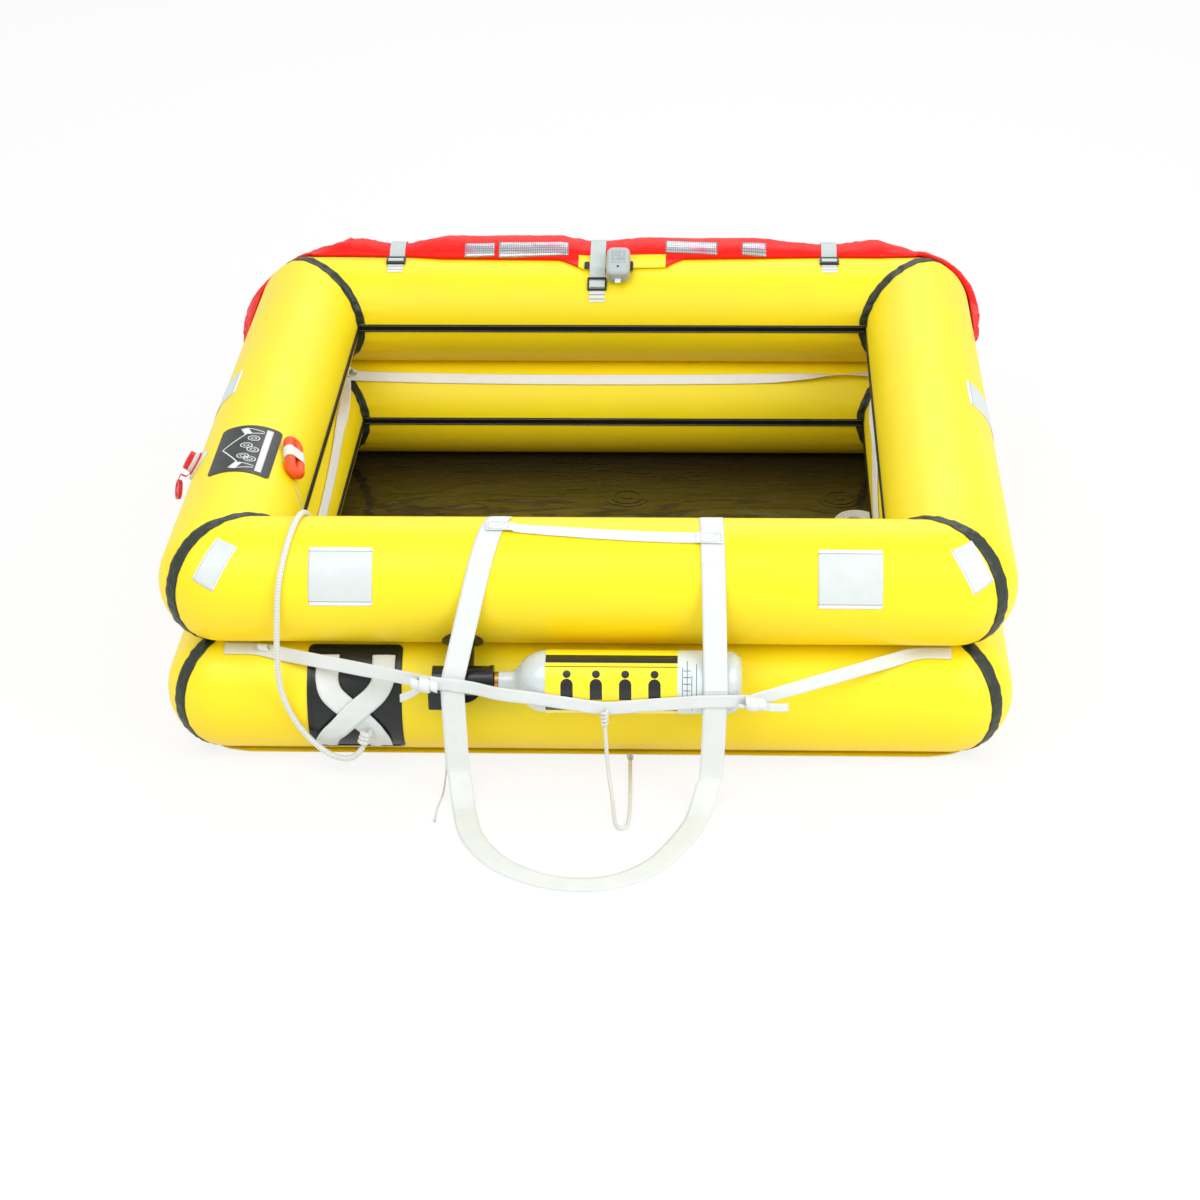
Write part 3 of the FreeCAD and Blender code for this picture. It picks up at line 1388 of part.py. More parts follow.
def hull_path(points):
    """The taut path round points, from the first to the last, turning one way only."""
    path = []
    for point in points:
        while len(path) > 1:
            first = path[-1] - path[-2]
            second = point - path[-1]
            if first.x * second.y - first.y * second.x < 0:
                break
            path.pop()
        path.append(point)
    return path


def surface_drop(offset):
    """How far a tube's surface lies below its tangent plane, at an offset."""
    radius = float(s.tube_radius)
    return radius - math.sqrt(radius ** 2 - offset ** 2)


BUCKLE_RISE = 1.6


def make_canopy_straps():
    """Straps over the roll, each threaded through a three-bar buckle."""
    straps = []
    anchors = []
    radius = float(s.tube_radius)
    thickness = float(s.canopy_strap_thickness)
    width = float(s.canopy_strap_width)
    half_length = float(s.buckle_length) / 2
    over_bar = BUCKLE_RISE + float(s.buckle_thickness) + 0.4
    for place, buckle_angle in strap_rows():
        outline = [(radius + 0.5, angle) for angle in between(-34.0, -18.0, 2)]
        outline += [(rad + 1.3, angle) for rad, angle in canopy_outline(place, CANOPY_STEPS * 2)]
        last = buckle_angle - math.degrees(math.atan((half_length + 7) / radius))
        outline += [(radius + 0.5, angle) for angle in between(last - 8.0, last, 4) if angle > outline[-1][1]]
        flat = [Vector(rad * math.cos(math.radians(a)), rad * math.sin(math.radians(a)), 0) for rad, a in outline]
        flat = [Vector(-point.x, point.y, 0) for point in flat]
        stations = []
        path = hull_path(flat)
        for index, point in enumerate(path):
            before = path[max(index - 1, 0)]
            after = path[min(index + 1, len(path) - 1)]
            along = (after - before).normalize()
            middle = Vector(place, float(s.half_span) - point.x, float(HIGH_TUBE_Z) + point.y)
            stations.append((middle, Vector(1, 0, 0), Vector(0, along.y, along.x)))
        local = tube_place("back", HIGH_TUBE_Z, -place, buckle_angle, radius)
        threaded = [
            (-half_length - 1.0, 0.5 - surface_drop(half_length + 1), 0.0),
            (-half_length + 4.0, 0.4 - surface_drop(half_length - 4), 20.0),
            (-3.2, over_bar, 20.0),
            (3.2, over_bar + 0.1, 0.0),
            (9.0, over_bar, 0.0),
        ]
        for offset, level, tilt in threaded:
            lean = math.radians(tilt)
            out = local.Rotation.multVec(Vector(0, -math.sin(lean), math.cos(lean)))
            stations.append((local.multVec(Vector(0, offset, level)), Vector(1, 0, 0), out))
        straps.append(webbing(stations, width, thickness))
        rows = []
        for offset in (7.0, 14.0, 21.0, 28.0, 37.0):
            turn = math.degrees(math.asin(offset / radius))
            spot, across, out = tube_station("back", HIGH_TUBE_Z, -place, buckle_angle + turn, 0.4, 90.0)
            rows.append((spot, across, out))
        anchors.append(webbing(rows, width, thickness))
    keep("canopy_straps", solid_feature("CanopyStraps", Part.makeCompound(straps)))
    keep("strap_anchors", solid_feature("StrapAnchors", Part.makeCompound(anchors)))


def make_buckles():
    """Three-bar buckles, one to each canopy strap."""
    body = padded_body("CanopyBuckle", rectangle(s.buckle_width, s.buckle_length), s.buckle_thickness)
    round_edges(body, "buckle_corners", s.buckle_bar * 0.8, is_upright)
    slot_width = s.buckle_width - s.buckle_bar * 1.5
    slot_length = (s.buckle_length - s.buckle_bar * 3) / 2
    for name, start in (("near", float(s.buckle_bar) / 2), ("far", -float(s.buckle_bar) / 2 - float(slot_length))):
        corner = Placement(Vector(-float(slot_width) / 2, start, -1), Rotation())
        primitive(
            body, "SubtractiveBox", name + "_slot", corner,
            Length=slot_width, Width=slot_length, Height=s.buckle_thickness * 2,
        )
    copies = []
    for place, angle in strap_rows():
        local = tube_place("back", HIGH_TUBE_Z, -place, angle, float(s.tube_radius) + BUCKLE_RISE)
        copies.append(solid_feature("buckle_copy", body.Shape.copy(), local))
    keep("canopy_buckles", group("CanopyBuckles", copies))


# Lamp on the canopy's flap

def lamp_base(rise):
    """Placement on the canopy's flap under the lamp."""
    return tube_place("back", HIGH_TUBE_Z, -s.lamp_place, float(s.lamp_angle), float(s.tube_radius) + rise)


LAMP_FLAP_RISE = canopy_rise(0.0) + float(s.canopy_edge) + 1.2
LAMP_TAB_LEVEL = 6.0
LAMP_TAB_THICKNESS = 2.0
LAMP_SLOT_DEPTH = 24.0


def make_lamp():
    half = math.degrees(float(s.lamp_length) * 0.36 / float(s.tube_radius))
    middle = float(s.lamp_angle)
    pad = bent_band(
        float(s.lamp_width) + 5.0, middle - half * 0.75, middle + half * 0.2, LAMP_FLAP_RISE, float(s.lamp_pad_thickness), 5.0,
    )
    flank_thickness = float(s.lamp_pad_thickness) / 2
    flank = bent_band(10.0, middle - half * 0.75, middle, LAMP_FLAP_RISE, flank_thickness, 3.0)
    flank_along = -float(s.middle_strap_place) + float(s.canopy_strap_width) / 2 + 6.5
    pads = [
        band_on_tube("back", HIGH_TUBE_Z, -s.lamp_place - 3.5, pad),
        band_on_tube("back", HIGH_TUBE_Z, flank_along, flank),
    ]
    keep("lamp_pad", solid_feature("LampPad", Part.makeCompound(pads)))
    body = padded_body("LampCase", rectangle(s.lamp_width, s.lamp_length), s.lamp_depth)
    round_edges(body, "case_corners", s.lamp_width * 0.3, is_upright)
    round_edges(body, "case_top", s.lamp_depth * 0.3, is_at_top(float(s.lamp_depth)))
    slot_width = s.lamp_tab_width + 0.8
    corner = Placement(
        Vector(-float(slot_width) / 2, float(s.lamp_length) / 2 - LAMP_SLOT_DEPTH, LAMP_TAB_LEVEL), Rotation(),
    )
    primitive(
        body, "SubtractiveBox", "tab_slot", corner,
        Length=slot_width, Width=LAMP_SLOT_DEPTH * 2, Height=LAMP_TAB_THICKNESS + 0.8,
    )
    level = LAMP_FLAP_RISE + float(s.lamp_pad_thickness) + 0.2
    body.Placement = lamp_base(level)
    keep("lamp_case", body)
    tab = padded_body("LampTab", rectangle(s.lamp_tab_width, LAMP_SLOT_DEPTH + 10), LAMP_TAB_THICKNESS)
    round_edges(tab, "tab_corners", 2.0, is_upright)
    shift = Vector(0, float(s.lamp_length) / 2 - LAMP_SLOT_DEPTH / 2 + 6.0, LAMP_TAB_LEVEL + 0.4)
    tab.Placement = lamp_base(level).multiply(Placement(shift, Rotation()))
    keep("lamp_tab", tab)


def is_at_top(level):
    """Picks the edges that lie flat at a level."""
    def chosen(edge):
        box = edge.BoundBox
        return abs(box.ZMin - level) < 0.01 and abs(box.ZMax - level) < 0.01
    return chosen


# Quoit and its band

QUOIT_ALONG = 311.0
QUOIT_ANGLE = 137.0
QUOIT_LEAN = 13.6
QUOIT_BAND_THICKNESS = 1.2


def quoit_place():
    level = float(s.quoit_radius) + QUOIT_BAND_THICKNESS + float(s.seat_gap) * 2
    flat = tube_place("left", HIGH_TUBE_Z, QUOIT_ALONG, QUOIT_ANGLE, float(s.tube_radius) + level)
    return flat.multiply(Placement(Vector(0, 0, 0), Rotation(Vector(0, 0, 1), QUOIT_LEAN)))


def stadium(length, half_width, radius):
    """Two round bars and what lies between them, along the local X axis."""
    start = -length / 2
    bars = [Part.makeCylinder(radius, length, Vector(start, y, 0), Vector(1, 0, 0)) for y in (-half_width, half_width)]
    box = Part.makeBox(length, 2 * half_width, 2 * radius, Vector(start, -half_width, -radius))
    return bars[0].multiFuse([bars[1], box]).removeSplitter()


def make_quoit():
    bend = float(s.quoit_inner_radius)
    radius = float(s.quoit_radius)
    straight = float(s.quoit_length) - 2 * (bend + radius)
    pieces = []
    for y in (-bend, bend):
        pieces.append(Part.makeCylinder(radius, straight, Vector(-straight / 2, y, 0), Vector(1, 0, 0)))
    for x, turn in ((straight / 2, -90.0), (-straight / 2, 90.0)):
        half_ring = Part.makeTorus(bend, radius, Vector(0, 0, 0), Vector(0, 0, 1), -180, 180, 180)
        half_ring.rotate(Vector(0, 0, 0), Vector(0, 0, 1), turn)
        half_ring.translate(Vector(x, 0, 0))
        pieces.append(half_ring)
    ring = pieces[0].multiFuse(pieces[1:]).removeSplitter().Solids[0]
    keep("quoit", solid_feature("Quoit", ring, quoit_place()))
    width = float(s.quoit_band_width)
    gap = float(s.seat_gap)
    outer = stadium(width, bend, radius + gap + QUOIT_BAND_THICKNESS)
    inner = stadium(width * 2, bend, radius + gap)
    keep("quoit_band", solid_feature("QuoitBand", outer.cut(inner), quoit_place()))


# Ropes and cords

PAINTER_ROUTE = [
    (-386, -763, 62), (-400, -763, 34), (-430, -760, 25), (-466, -758, 44), (-500, -759, 86), (-522, -760, 132),
    (-533, -760, 182), (-532, -761, 240), (-528, -761, 300),
]
PAINTER_SPAN = 640.0
PAINTER_OVER = [(-524, 20), (-514, 48), (-504, 76), (-497, 104), (-493, 132), (-491, 158)]
PAINTER_INSIDE = [
    (-488, -517, 330), (-486, -516, 270), (-484, -516, 205), (-480, -514, 140), (-472, -508, 80), (-452, -494, 34),
    (-412, -476, 9), (-352, -456, 9), (-262, -436, 9), (-150, -420, 9), (-30, -408, 9), (90, -396, 9),
    (200, -372, 9), (290, -326, 9), (362, -260, 9), (414, -178, 9), (446, -90, 9), (460, -28, 9), (469, 27, 9),
]


def painter_points():
    """The painter's centre line, from the bridle over the front into the raft."""
    points = [Vector(*spot) for spot in PAINTER_ROUTE]
    rise = float(s.painter_diameter) / 2 + 4.0
    points += [tube_point("front", HIGH_TUBE_Z, along, angle, rise) for along, angle in PAINTER_OVER]
    stretch = float(s.half_span) / PAINTER_SPAN
    points += [Vector(x * stretch, y * stretch, z) for x, y, z in PAINTER_INSIDE]
    return points


def make_painter():
    """The painter from the bridle to its hank, with the knot in the bridle."""
    points = painter_points()
    rope = cord_solid("painter", points, float(s.painter_diameter))
    knot = knot_solid(points[0] + Vector(0, 0, 10), Vector(0.3, 0, 1), 34.0, 24.0)
    keep("painter_rope", solid_feature("PainterRope", rope.fuse(knot)))


HANK_MIDDLE = Vector(float(s.half_span) - 156, 132, 0)
HANK_TALL = 31.0
HANK_STRAND = 33.0


def racetrack(length, width, tall):
    """A flat-topped solid with half-round ends, standing on the local XY plane."""
    radius = width / 2
    run = length / 2 - radius
    ends = [Part.makeCylinder(radius, tall, Vector(0, y, 0)) for y in (-run, run)]
    box = Part.makeBox(width, 2 * run, tall, Vector(-radius, -run, 0))
    return ends[0].multiFuse([ends[1], box]).removeSplitter().Solids[0]


def make_hank():
    """The rest of the painter, coiled flat and tied across the middle."""
    length = float(s.hank_length)
    width = float(s.hank_width)
    coil = racetrack(length, width, HANK_TALL)
    coil = coil.cut(racetrack(length - 2 * HANK_STRAND, width - 2 * HANK_STRAND, HANK_TALL))
    coil = coil.makeFillet(4.0, [edge for edge in coil.Edges if edge.BoundBox.ZLength < 0.01])
    level = float(s.floor_thickness) + float(s.seat_gap)
    place = Placement(HANK_MIDDLE + Vector(0, 0, level), Rotation(Vector(0, 0, 1), -8))
    keep("painter_hank", solid_feature("PainterHank", coil, place))


def make_small_cords():
    """Middle lanyard, firing cord and the quoit's line."""
    front = BOTTLE_Y - float(s.bottle_radius)
    lanyard = [
        Vector(38, front - 8, 152), Vector(39, front - 10, 120), Vector(41, front - 12, 84), Vector(44, front - 15, 48),
        Vector(47, front - 26, 18), Vector(49, front - 56, 5.2), Vector(50, front - 102, 5.2), Vector(97, front - 101, 5.2),
        Vector(97, front - 54, 5.2), Vector(91, front + 6, 5.2), Vector(82, front + 64, 5.2), Vector(76, front + 120, 5.2),
    ]
    rope = cord_solid("lanyard", lanyard, float(s.lanyard_diameter))
    knot = knot_solid(Vector(38, front - 10, 160), Vector(0, 0, 1), 34.0, 13.0)
    keep("middle_lanyard", solid_feature("MiddleLanyard", rope.fuse(knot)))
    y = BOTTLE_Y
    z = BOTTLE_Z - float(s.lever_length) - LEVER_TIP - 0.7
    firing = [
        Vector(LEVER_X, y, z), Vector(LEVER_X, y - 1, z - 24), Vector(LEVER_X, y - 2, z - 56),
        Vector(LEVER_X, y - 4, z - 90), Vector(LEVER_X - 1, y - 14, z - 123),
        Vector(LEVER_X - 3, y - 42, 2.2), Vector(LEVER_X - 6, y - 80, 2.2), Vector(LEVER_X - 11, y - 118, 2.2),
        Vector(LEVER_X - 10, y - 150, 2.2),
    ]
    cord = cord_solid("firing cord", firing, float(s.firing_cord_diameter))
    knot = knot_solid(firing[0] + Vector(0, 0, -5), Vector(0, 0, 1), 10.0, 6.0)
    keep("firing_cord", solid_feature("FiringCord", cord.fuse(knot)))
    rise = float(s.quoit_line_diameter) / 2 + 0.9
    line = [tube_point("left", HIGH_TUBE_Z, along, angle, rise) for along, angle in ((376, 152), (384, 164), (392, 174))]
    inside = line[-1].x + 6.0
    line += [Vector(inside, -400, 318), Vector(inside, -406, 290), Vector(inside, -411, 256), Vector(inside - 4, -414, 226)]
    line += [tube_point("left", LOW_TUBE_Z, 416, 137, rise + 2.6), tube_point("left", LOW_TUBE_Z, 417, 128, rise + 2.6)]
    keep("quoit_line", solid_feature("QuoitLine", cord_solid("quoit line", line, float(s.quoit_line_diameter))))


# The whole part

make_floor()
make_floor_discs()
make_tube("lower_tube", LOW_TUBE_Z, s.floor_thickness, MEETING_Z)
make_tube("upper_tube", HIGH_TUBE_Z, MEETING_Z, HIGH_TUBE_Z + s.tube_radius * 2)
make_corner_tapes("lower_corner_tapes", LOW_TUBE_Z, s.floor_thickness, MEETING_Z)
make_corner_tapes("upper_corner_tapes", HIGH_TUBE_Z, MEETING_Z, HIGH_TUBE_Z + s.tube_radius * 2)
make_seam_strip("lower_seam_strip", LOW_TUBE_Z)
make_seam_strip("upper_seam_strip", HIGH_TUBE_Z)
make_reflectors()
make_tow_patch()
make_sign_plate()
make_boarding_strap()
make_rung()
make_outer_lifeline()
make_inner_lifeline()
make_tow_bridle()
make_bottle()
make_wrap("cylinder_label", s.label_start, s.label_length)
make_wrap("data_sticker", s.label_start + s.label_length, s.sticker_length)
make_coupling_ring()
make_head()
make_inlet_flanges()
make_piercing_pin()
make_lever()
make_lever_pin()
make_valves()
make_canopy()
make_canopy_straps()
make_buckles()
make_lamp()
make_quoit()
make_painter()
make_hank()
make_small_cords()
doc.recompute()

for item in doc.Objects:
    troubles = [word for word in item.State if word not in ("Touched", "Up-to-date")]
    if troubles:
        raise ValueError(item.Label + " has trouble: " + ", ".join(troubles))
for label, item in nodes:
    if item.Shape.isNull() or not item.Shape.isValid():
        raise ValueError(label + " isn't a valid shape")
    if not item.Shape.Solids:
        raise ValueError(label + " has no solid")
for label, item in nodes:
    item.Shape.exportStep("parts/" + label + ".step")
print(len(nodes), "nodes written")
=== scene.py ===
"""An inflated four-person liferaft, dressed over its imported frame."""

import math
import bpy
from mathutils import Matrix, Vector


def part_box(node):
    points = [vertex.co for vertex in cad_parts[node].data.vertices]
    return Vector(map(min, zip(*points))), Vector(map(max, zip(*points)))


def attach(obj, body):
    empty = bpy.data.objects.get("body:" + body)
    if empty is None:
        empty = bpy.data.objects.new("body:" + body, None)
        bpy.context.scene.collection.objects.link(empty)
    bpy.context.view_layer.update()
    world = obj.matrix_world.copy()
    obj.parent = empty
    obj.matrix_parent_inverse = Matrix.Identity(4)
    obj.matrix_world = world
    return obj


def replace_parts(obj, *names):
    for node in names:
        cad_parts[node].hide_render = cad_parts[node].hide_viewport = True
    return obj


bl_info = {
    "name": "Inflated liferaft",
    "version": (1, 0, 0),
    "blender": (4, 5, 0),
    "location": "View3D > Sidebar > Liferaft",
    "description": "Models an open twin-tube liferaft with its stowed canopy, webbing and ropes",
    "category": "Add Mesh",
}

import bpy
from bpy.props import FloatProperty, FloatVectorProperty, IntProperty, PointerProperty
from mathutils import Matrix, Vector, noise

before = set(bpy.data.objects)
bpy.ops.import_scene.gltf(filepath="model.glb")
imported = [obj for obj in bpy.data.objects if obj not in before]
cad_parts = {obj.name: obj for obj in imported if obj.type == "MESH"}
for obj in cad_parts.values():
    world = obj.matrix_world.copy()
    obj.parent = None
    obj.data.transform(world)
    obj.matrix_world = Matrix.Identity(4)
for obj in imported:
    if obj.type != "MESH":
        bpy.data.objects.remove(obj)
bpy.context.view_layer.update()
MM = 0.001
SKIN_GAP = 0.0003
STRAP_THICKNESS = 0.0016
LINE_THICKNESS = 0.0015
ON_FLOOR = 0.0002
WRINKLE_SEED = 2
STRIP_STITCH_OFFSET = 0.0054
STRIP_STITCH_WIDTH = 0.0009
# The gas cylinder's axis in y and z, and the figures along its label
BOTTLE = (-0.7800975, 0.1965427)
BOTTLE_RADIUS = 0.0545
HEAD_RADIUS = 0.036
FIGURES_START = -0.052
FIGURE_PITCH = 0.050
FIGURES = 4
PHOTO_SPOT = (0.247, -5.345, 2.690)
PHOTO_YAW, PHOTO_PITCH, PHOTO_ROLL = -0.0475, 0.4725, -0.0155
PHOTO_LENS = 90.65
SKY_STRENGTH = 0.78
FLOOR_GLOW = 0.84


def paint(red, green, blue):
    """A colour of a paint card, 0 to 255, as Blender's linear colour."""
    def linear(value):
        share = value / 255
        return share / 12.92 if share <= 0.04045 else ((share + 0.055) / 1.055) ** 2.4
    return linear(red), linear(green), linear(blue)


def length_property(name, description, default):
    return FloatProperty(name=name, description=description, default=default, unit="LENGTH")


def colour_property(name, description, default):
    return FloatVectorProperty(
        name=name, description=description, default=default, subtype="COLOR", min=0.0, max=1.0, size=3,
    )


# Painted shade: the warmer yellow laid on the coated fabric where it looks down
PAINTED_SHADE_YELLOW = paint(252, 200, 8)


class LiferaftSizes(bpy.types.PropertyGroup):
    """Sizes of the liferaft's soft parts."""

    half_span: length_property("Half span", "From the middle to the centre line of a tube", 0.640)
    tube_radius: length_property("Tube radius", "Radius of both buoyancy tubes", 0.110)
    low_tube: length_property("Lower tube height", "Height of the lower tube's centre line", 0.109)
    meeting: length_property("Meeting height", "Height where the two tubes press together", 0.215)
    high_tube: length_property("Upper tube height", "Height of the upper tube's centre line", 0.321)
    floor_thickness: length_property("Floor thickness", "Thickness of the floor sheet", 0.002)
    seam_pucker: length_property("Seam pucker", "Depth of the puckers beside a corner seam", 0.0026)
    floor_wrinkle: length_property("Floor wrinkle", "Height of the wrinkles in the floor", 0.0030)
    tape_width: length_property("Tape width", "Width of the tape over a corner seam", 0.028)
    boarding_width: length_property("Boarding strap width", "Width of the boarding strap", 0.041)
    lifeline_width: length_property("Lifeline width", "Width of the lifeline webbing", 0.025)
    painter_diameter: length_property("Painter diameter", "Diameter of the braided painter", 0.0105)
    lanyard_diameter: length_property("Lanyard diameter", "Diameter of the middle lanyard", 0.007)
    firing_cord_diameter: length_property("Firing cord diameter", "Diameter of the firing cord", 0.003)
    quoit_line_diameter: length_property("Throwing line diameter", "Diameter of the quoit's line", 0.002)
    hank_turns: IntProperty(
        name="Hank turns", description="Turns in the painter's hank", default=9, min=3, max=12,
    )


class LiferaftColours(bpy.types.PropertyGroup):
    """Colours of the liferaft's materials."""

    tube: colour_property("Tube", "Coated fabric of the tubes", paint(253, 229, 10))
    canopy: colour_property("Canopy", "Nylon of the canopy", paint(246, 20, 8))
    tape: colour_property("Tape", "Tape over the corner seams", paint(38, 47, 32))
    strip: colour_property("Seam strip", "Inner seam strips", paint(11, 13, 16))
    floor: colour_property("Floor", "Coated floor sheet", paint(44, 38, 26))
    patch: colour_property("Reflective patch", "Reflective patches", paint(214, 220, 218))
    plate: colour_property("Dark patch", "Sign plate and towing patch", paint(22, 26, 25))
    webbing: colour_property("Webbing", "White webbing", paint(234, 238, 235))
    grey_webbing: colour_property("Canopy strap", "Straps over the canopy", paint(206, 215, 214))
    rope: colour_property("Rope", "Braided ropes", paint(236, 237, 230))
    cylinder: colour_property("Cylinder", "Gas cylinder paint", paint(206, 214, 214))
    label: colour_property("Label", "Gas cylinder label", paint(250, 228, 30))
    black: colour_property("Black plastic", "Operating head and buckles", paint(26, 27, 29))
    red: colour_property("Valve cap", "Valve caps", paint(214, 22, 34))
    quoit: colour_property("Quoit", "Rescue quoit", paint(250, 84, 24))
    lamp: colour_property("Lamp", "Lamp case", paint(176, 184, 184))


def sizes():
    return bpy.context.scene.liferaft_sizes


def colours():
    return bpy.context.scene.liferaft_colours


# Materials

class Finish:
    """One procedural material, built a node at a time."""

    def __init__(self, name, colour, roughness, **settings):
        self.material = bpy.data.materials.new(name)
        self.material.use_nodes = True
        self.tree = self.material.node_tree
        self.tree.nodes.clear()
        output = self.node("ShaderNodeOutputMaterial")
        self.shader = self.node("ShaderNodeBsdfPrincipled")
        self.tree.links.new(self.shader.outputs["BSDF"], output.inputs["Surface"])
        self.colour = (*colour, 1.0)
        self.shader.inputs["Base Color"].default_value = self.colour
        self.shader.inputs["Roughness"].default_value = roughness
        for socket, value in settings.items():
            self.shader.inputs[socket.replace("_", " ").title().replace("Ior", "IOR")].default_value = value
        self.normal = None

    def node(self, kind, **settings):
        """A new node with its settings."""
        made = self.tree.nodes.new(kind)
        for key, value in settings.items():
            setattr(made, key, value)
        return made

    def feed(self, value, socket):
        """Link a socket to another one, or set its value."""
        if isinstance(value, bpy.types.NodeSocket):
            self.tree.links.new(value, socket)
        elif value is not None:
            socket.default_value = value

    def place(self, scale, kind="Object"):
        """Coordinates for a pattern, in steps of its scale."""
        at = self.node("ShaderNodeTexCoord")
        mapping = self.node("ShaderNodeMapping")
        self.feed(at.outputs[kind], mapping.inputs["Vector"])
        mapping.inputs["Scale"].default_value = scale if hasattr(scale, "__len__") else (scale,) * 3
        return mapping.outputs["Vector"]

    def parts(self, vector):
        """The three numbers of a vector."""
        split = self.node("ShaderNodeSeparateXYZ")
        self.feed(vector, split.inputs[0])
        return split.outputs

    def noise(self, scale, detail=3.0, roughness=0.5, distortion=0.0):
        """Cloudy noise from 0 to 1; a higher scale makes it finer."""
        made = self.node("ShaderNodeTexNoise")
        self.feed(self.place(scale), made.inputs["Vector"])
        made.inputs["Scale"].default_value = 1.0
        made.inputs["Detail"].default_value = detail
        made.inputs["Roughness"].default_value = roughness
        made.inputs["Distortion"].default_value = distortion
        return made.outputs["Fac"]

    def cells(self, scale):
        """Distance to the nearest of many scattered points."""
        made = self.node("ShaderNodeTexVoronoi", feature="F1")
        self.feed(self.place(scale), made.inputs["Vector"])
        made.inputs["Scale"].default_value = 1.0
        return made.outputs["Distance"]

    def sum(self, operation, first, second=None, third=None):
        """The result of a math node."""
        made = self.node("ShaderNodeMath", operation=operation)
        for socket, value in zip(made.inputs, (first, second, third)):
            self.feed(value, socket)
        return made.outputs[0]

    def band(self, value, low, high, start=0.0, end=1.0):
        """A value between low and high turned into one between start and end."""
        made = self.node("ShaderNodeMapRange")
        made.clamp = True
        sockets = ("Value", "From Min", "From Max", "To Min", "To Max")
        for socket, item in zip(sockets, (value, low, high, start, end)):
            self.feed(item, made.inputs[socket])
        return made.outputs["Result"]

    def disc(self, x, y, middle_x, middle_y, radius):
        """1 inside a circle and 0 outside it."""
        across = self.sum("SUBTRACT", x, middle_x)
        up = self.sum("SUBTRACT", y, middle_y)
        far = self.sum("SQRT", self.sum("MULTIPLY_ADD", across, across, self.sum("MULTIPLY", up, up)))
        return self.sum("LESS_THAN", far, radius)

    def stripe(self, value, duty=0.5):
        """1 over the first share of each step and 0 over the rest."""
        return self.sum("LESS_THAN", self.sum("FRACT", value), duty)

    def tint(self, mask, colour):
        """Lay another colour where the mask is 1."""
        mix = self.node("ShaderNodeMix", data_type="RGBA")
        self.feed(mask, mix.inputs["Factor"])
        self.feed(self.colour, mix.inputs["A"])
        self.feed((*colour, 1.0), mix.inputs["B"])
        self.colour = mix.outputs["Result"]
        self.tree.links.new(self.colour, self.shader.inputs["Base Color"])

    def shade(self, value, dark, light=1.0):
        """Multiply the colour by a grey from dark to light."""
        mix = self.node("ShaderNodeMix", data_type="RGBA", blend_type="MULTIPLY")
        mix.inputs["Factor"].default_value = 1.0
        self.feed(self.colour, mix.inputs["A"])
        self.feed(self.band(value, 0.0, 1.0, dark, light), mix.inputs["B"])
        self.colour = mix.outputs["Result"]
        self.tree.links.new(self.colour, self.shader.inputs["Base Color"])

    def rough(self, value, low, high):
        """Roughness from low to high."""
        self.tree.links.new(self.band(value, 0.0, 1.0, low, high), self.shader.inputs["Roughness"])

    def bump(self, height, distance, strength=1.0):
        """Raise the surface by a height, on top of any earlier bump."""
        made = self.node("ShaderNodeBump")
        made.inputs["Strength"].default_value = strength
        made.inputs["Distance"].default_value = distance
        self.feed(height, made.inputs["Height"])
        if self.normal is not None:
            self.feed(self.normal, made.inputs["Normal"])
        self.normal = made.outputs["Normal"]
        self.tree.links.new(self.normal, self.shader.inputs["Normal"])


def weave(finish, scale):
    """Crossed threads, as a height from 0 to 1."""
    x, y = finish.parts(finish.place(scale))[:2]
    first = finish.sum("SINE", finish.sum("MULTIPLY", x, math.tau))
    second = finish.sum("SINE", finish.sum("MULTIPLY", y, math.tau))
    return finish.band(finish.sum("MULTIPLY", first, second), -1.0, 1.0)


def coated_fabric(name, colour, under):
    """Rubber-coated fabric: a satin skin, with painted shade: a warmer yellow laid on the faces that look
    down.
    """
    roughness = 0.46
    finish = Finish(name, colour, roughness, coat_weight=0.05, coat_roughness=0.35)
    broad = finish.band(finish.noise(7.0, 3.0, 0.55), 0.3, 0.7)
    finish.shade(broad, 0.955)
    finish.rough(broad, roughness - 0.05, roughness + 0.07)
    facing_up = finish.parts(finish.node("ShaderNodeNewGeometry").outputs["Normal"])[2]
    # Painted shade: the under colour is mixed in on faces that look down, where shade falls
    finish.tint(finish.band(facing_up, 0.35, -0.75, 0.0, 0.6), under)
    finish.bump(finish.noise(900.0, 2.0), 0.00012, 0.35)
    finish.bump(finish.noise(38.0, 3.0, 0.6), 0.0009, 0.3)
    return finish.material


def tape_fabric():
    """Dark green coated tape with creases."""
    finish = Finish("corner_tape", colours().tape, 0.42)
    finish.shade(finish.noise(60.0, 4.0, 0.6), 0.72, 1.25)
    finish.bump(finish.noise(160.0, 3.0), 0.0007, 0.6)
    finish.bump(weave(finish, 620.0), 0.00015, 0.4)
    return finish.material


def stitched_strip():
    """Black strip with fine pale stitches along both of its edges."""
    finish = Finish("seam_strip", colours().strip, 0.5, specular_ior_level=0.25)
    x, y, z = finish.parts(finish.place(1.0))
    dash = finish.stripe(finish.sum("MULTIPLY", finish.sum("ADD", x, y), 250.0), 0.62)
    finish.shade(finish.noise(120.0, 3.0), 0.75, 1.2)
    for height in (sizes().low_tube, sizes().high_tube):
        for offset in (-STRIP_STITCH_OFFSET, STRIP_STITCH_OFFSET):
            off_line = finish.sum("ABSOLUTE", finish.sum("SUBTRACT", z, height + offset))
            near = finish.sum("LESS_THAN", off_line, STRIP_STITCH_WIDTH / 2)
            finish.tint(finish.sum("MULTIPLY", near, dash), paint(170, 174, 178))
    finish.bump(weave(finish, 700.0), 0.0002, 0.5)
    return finish.material


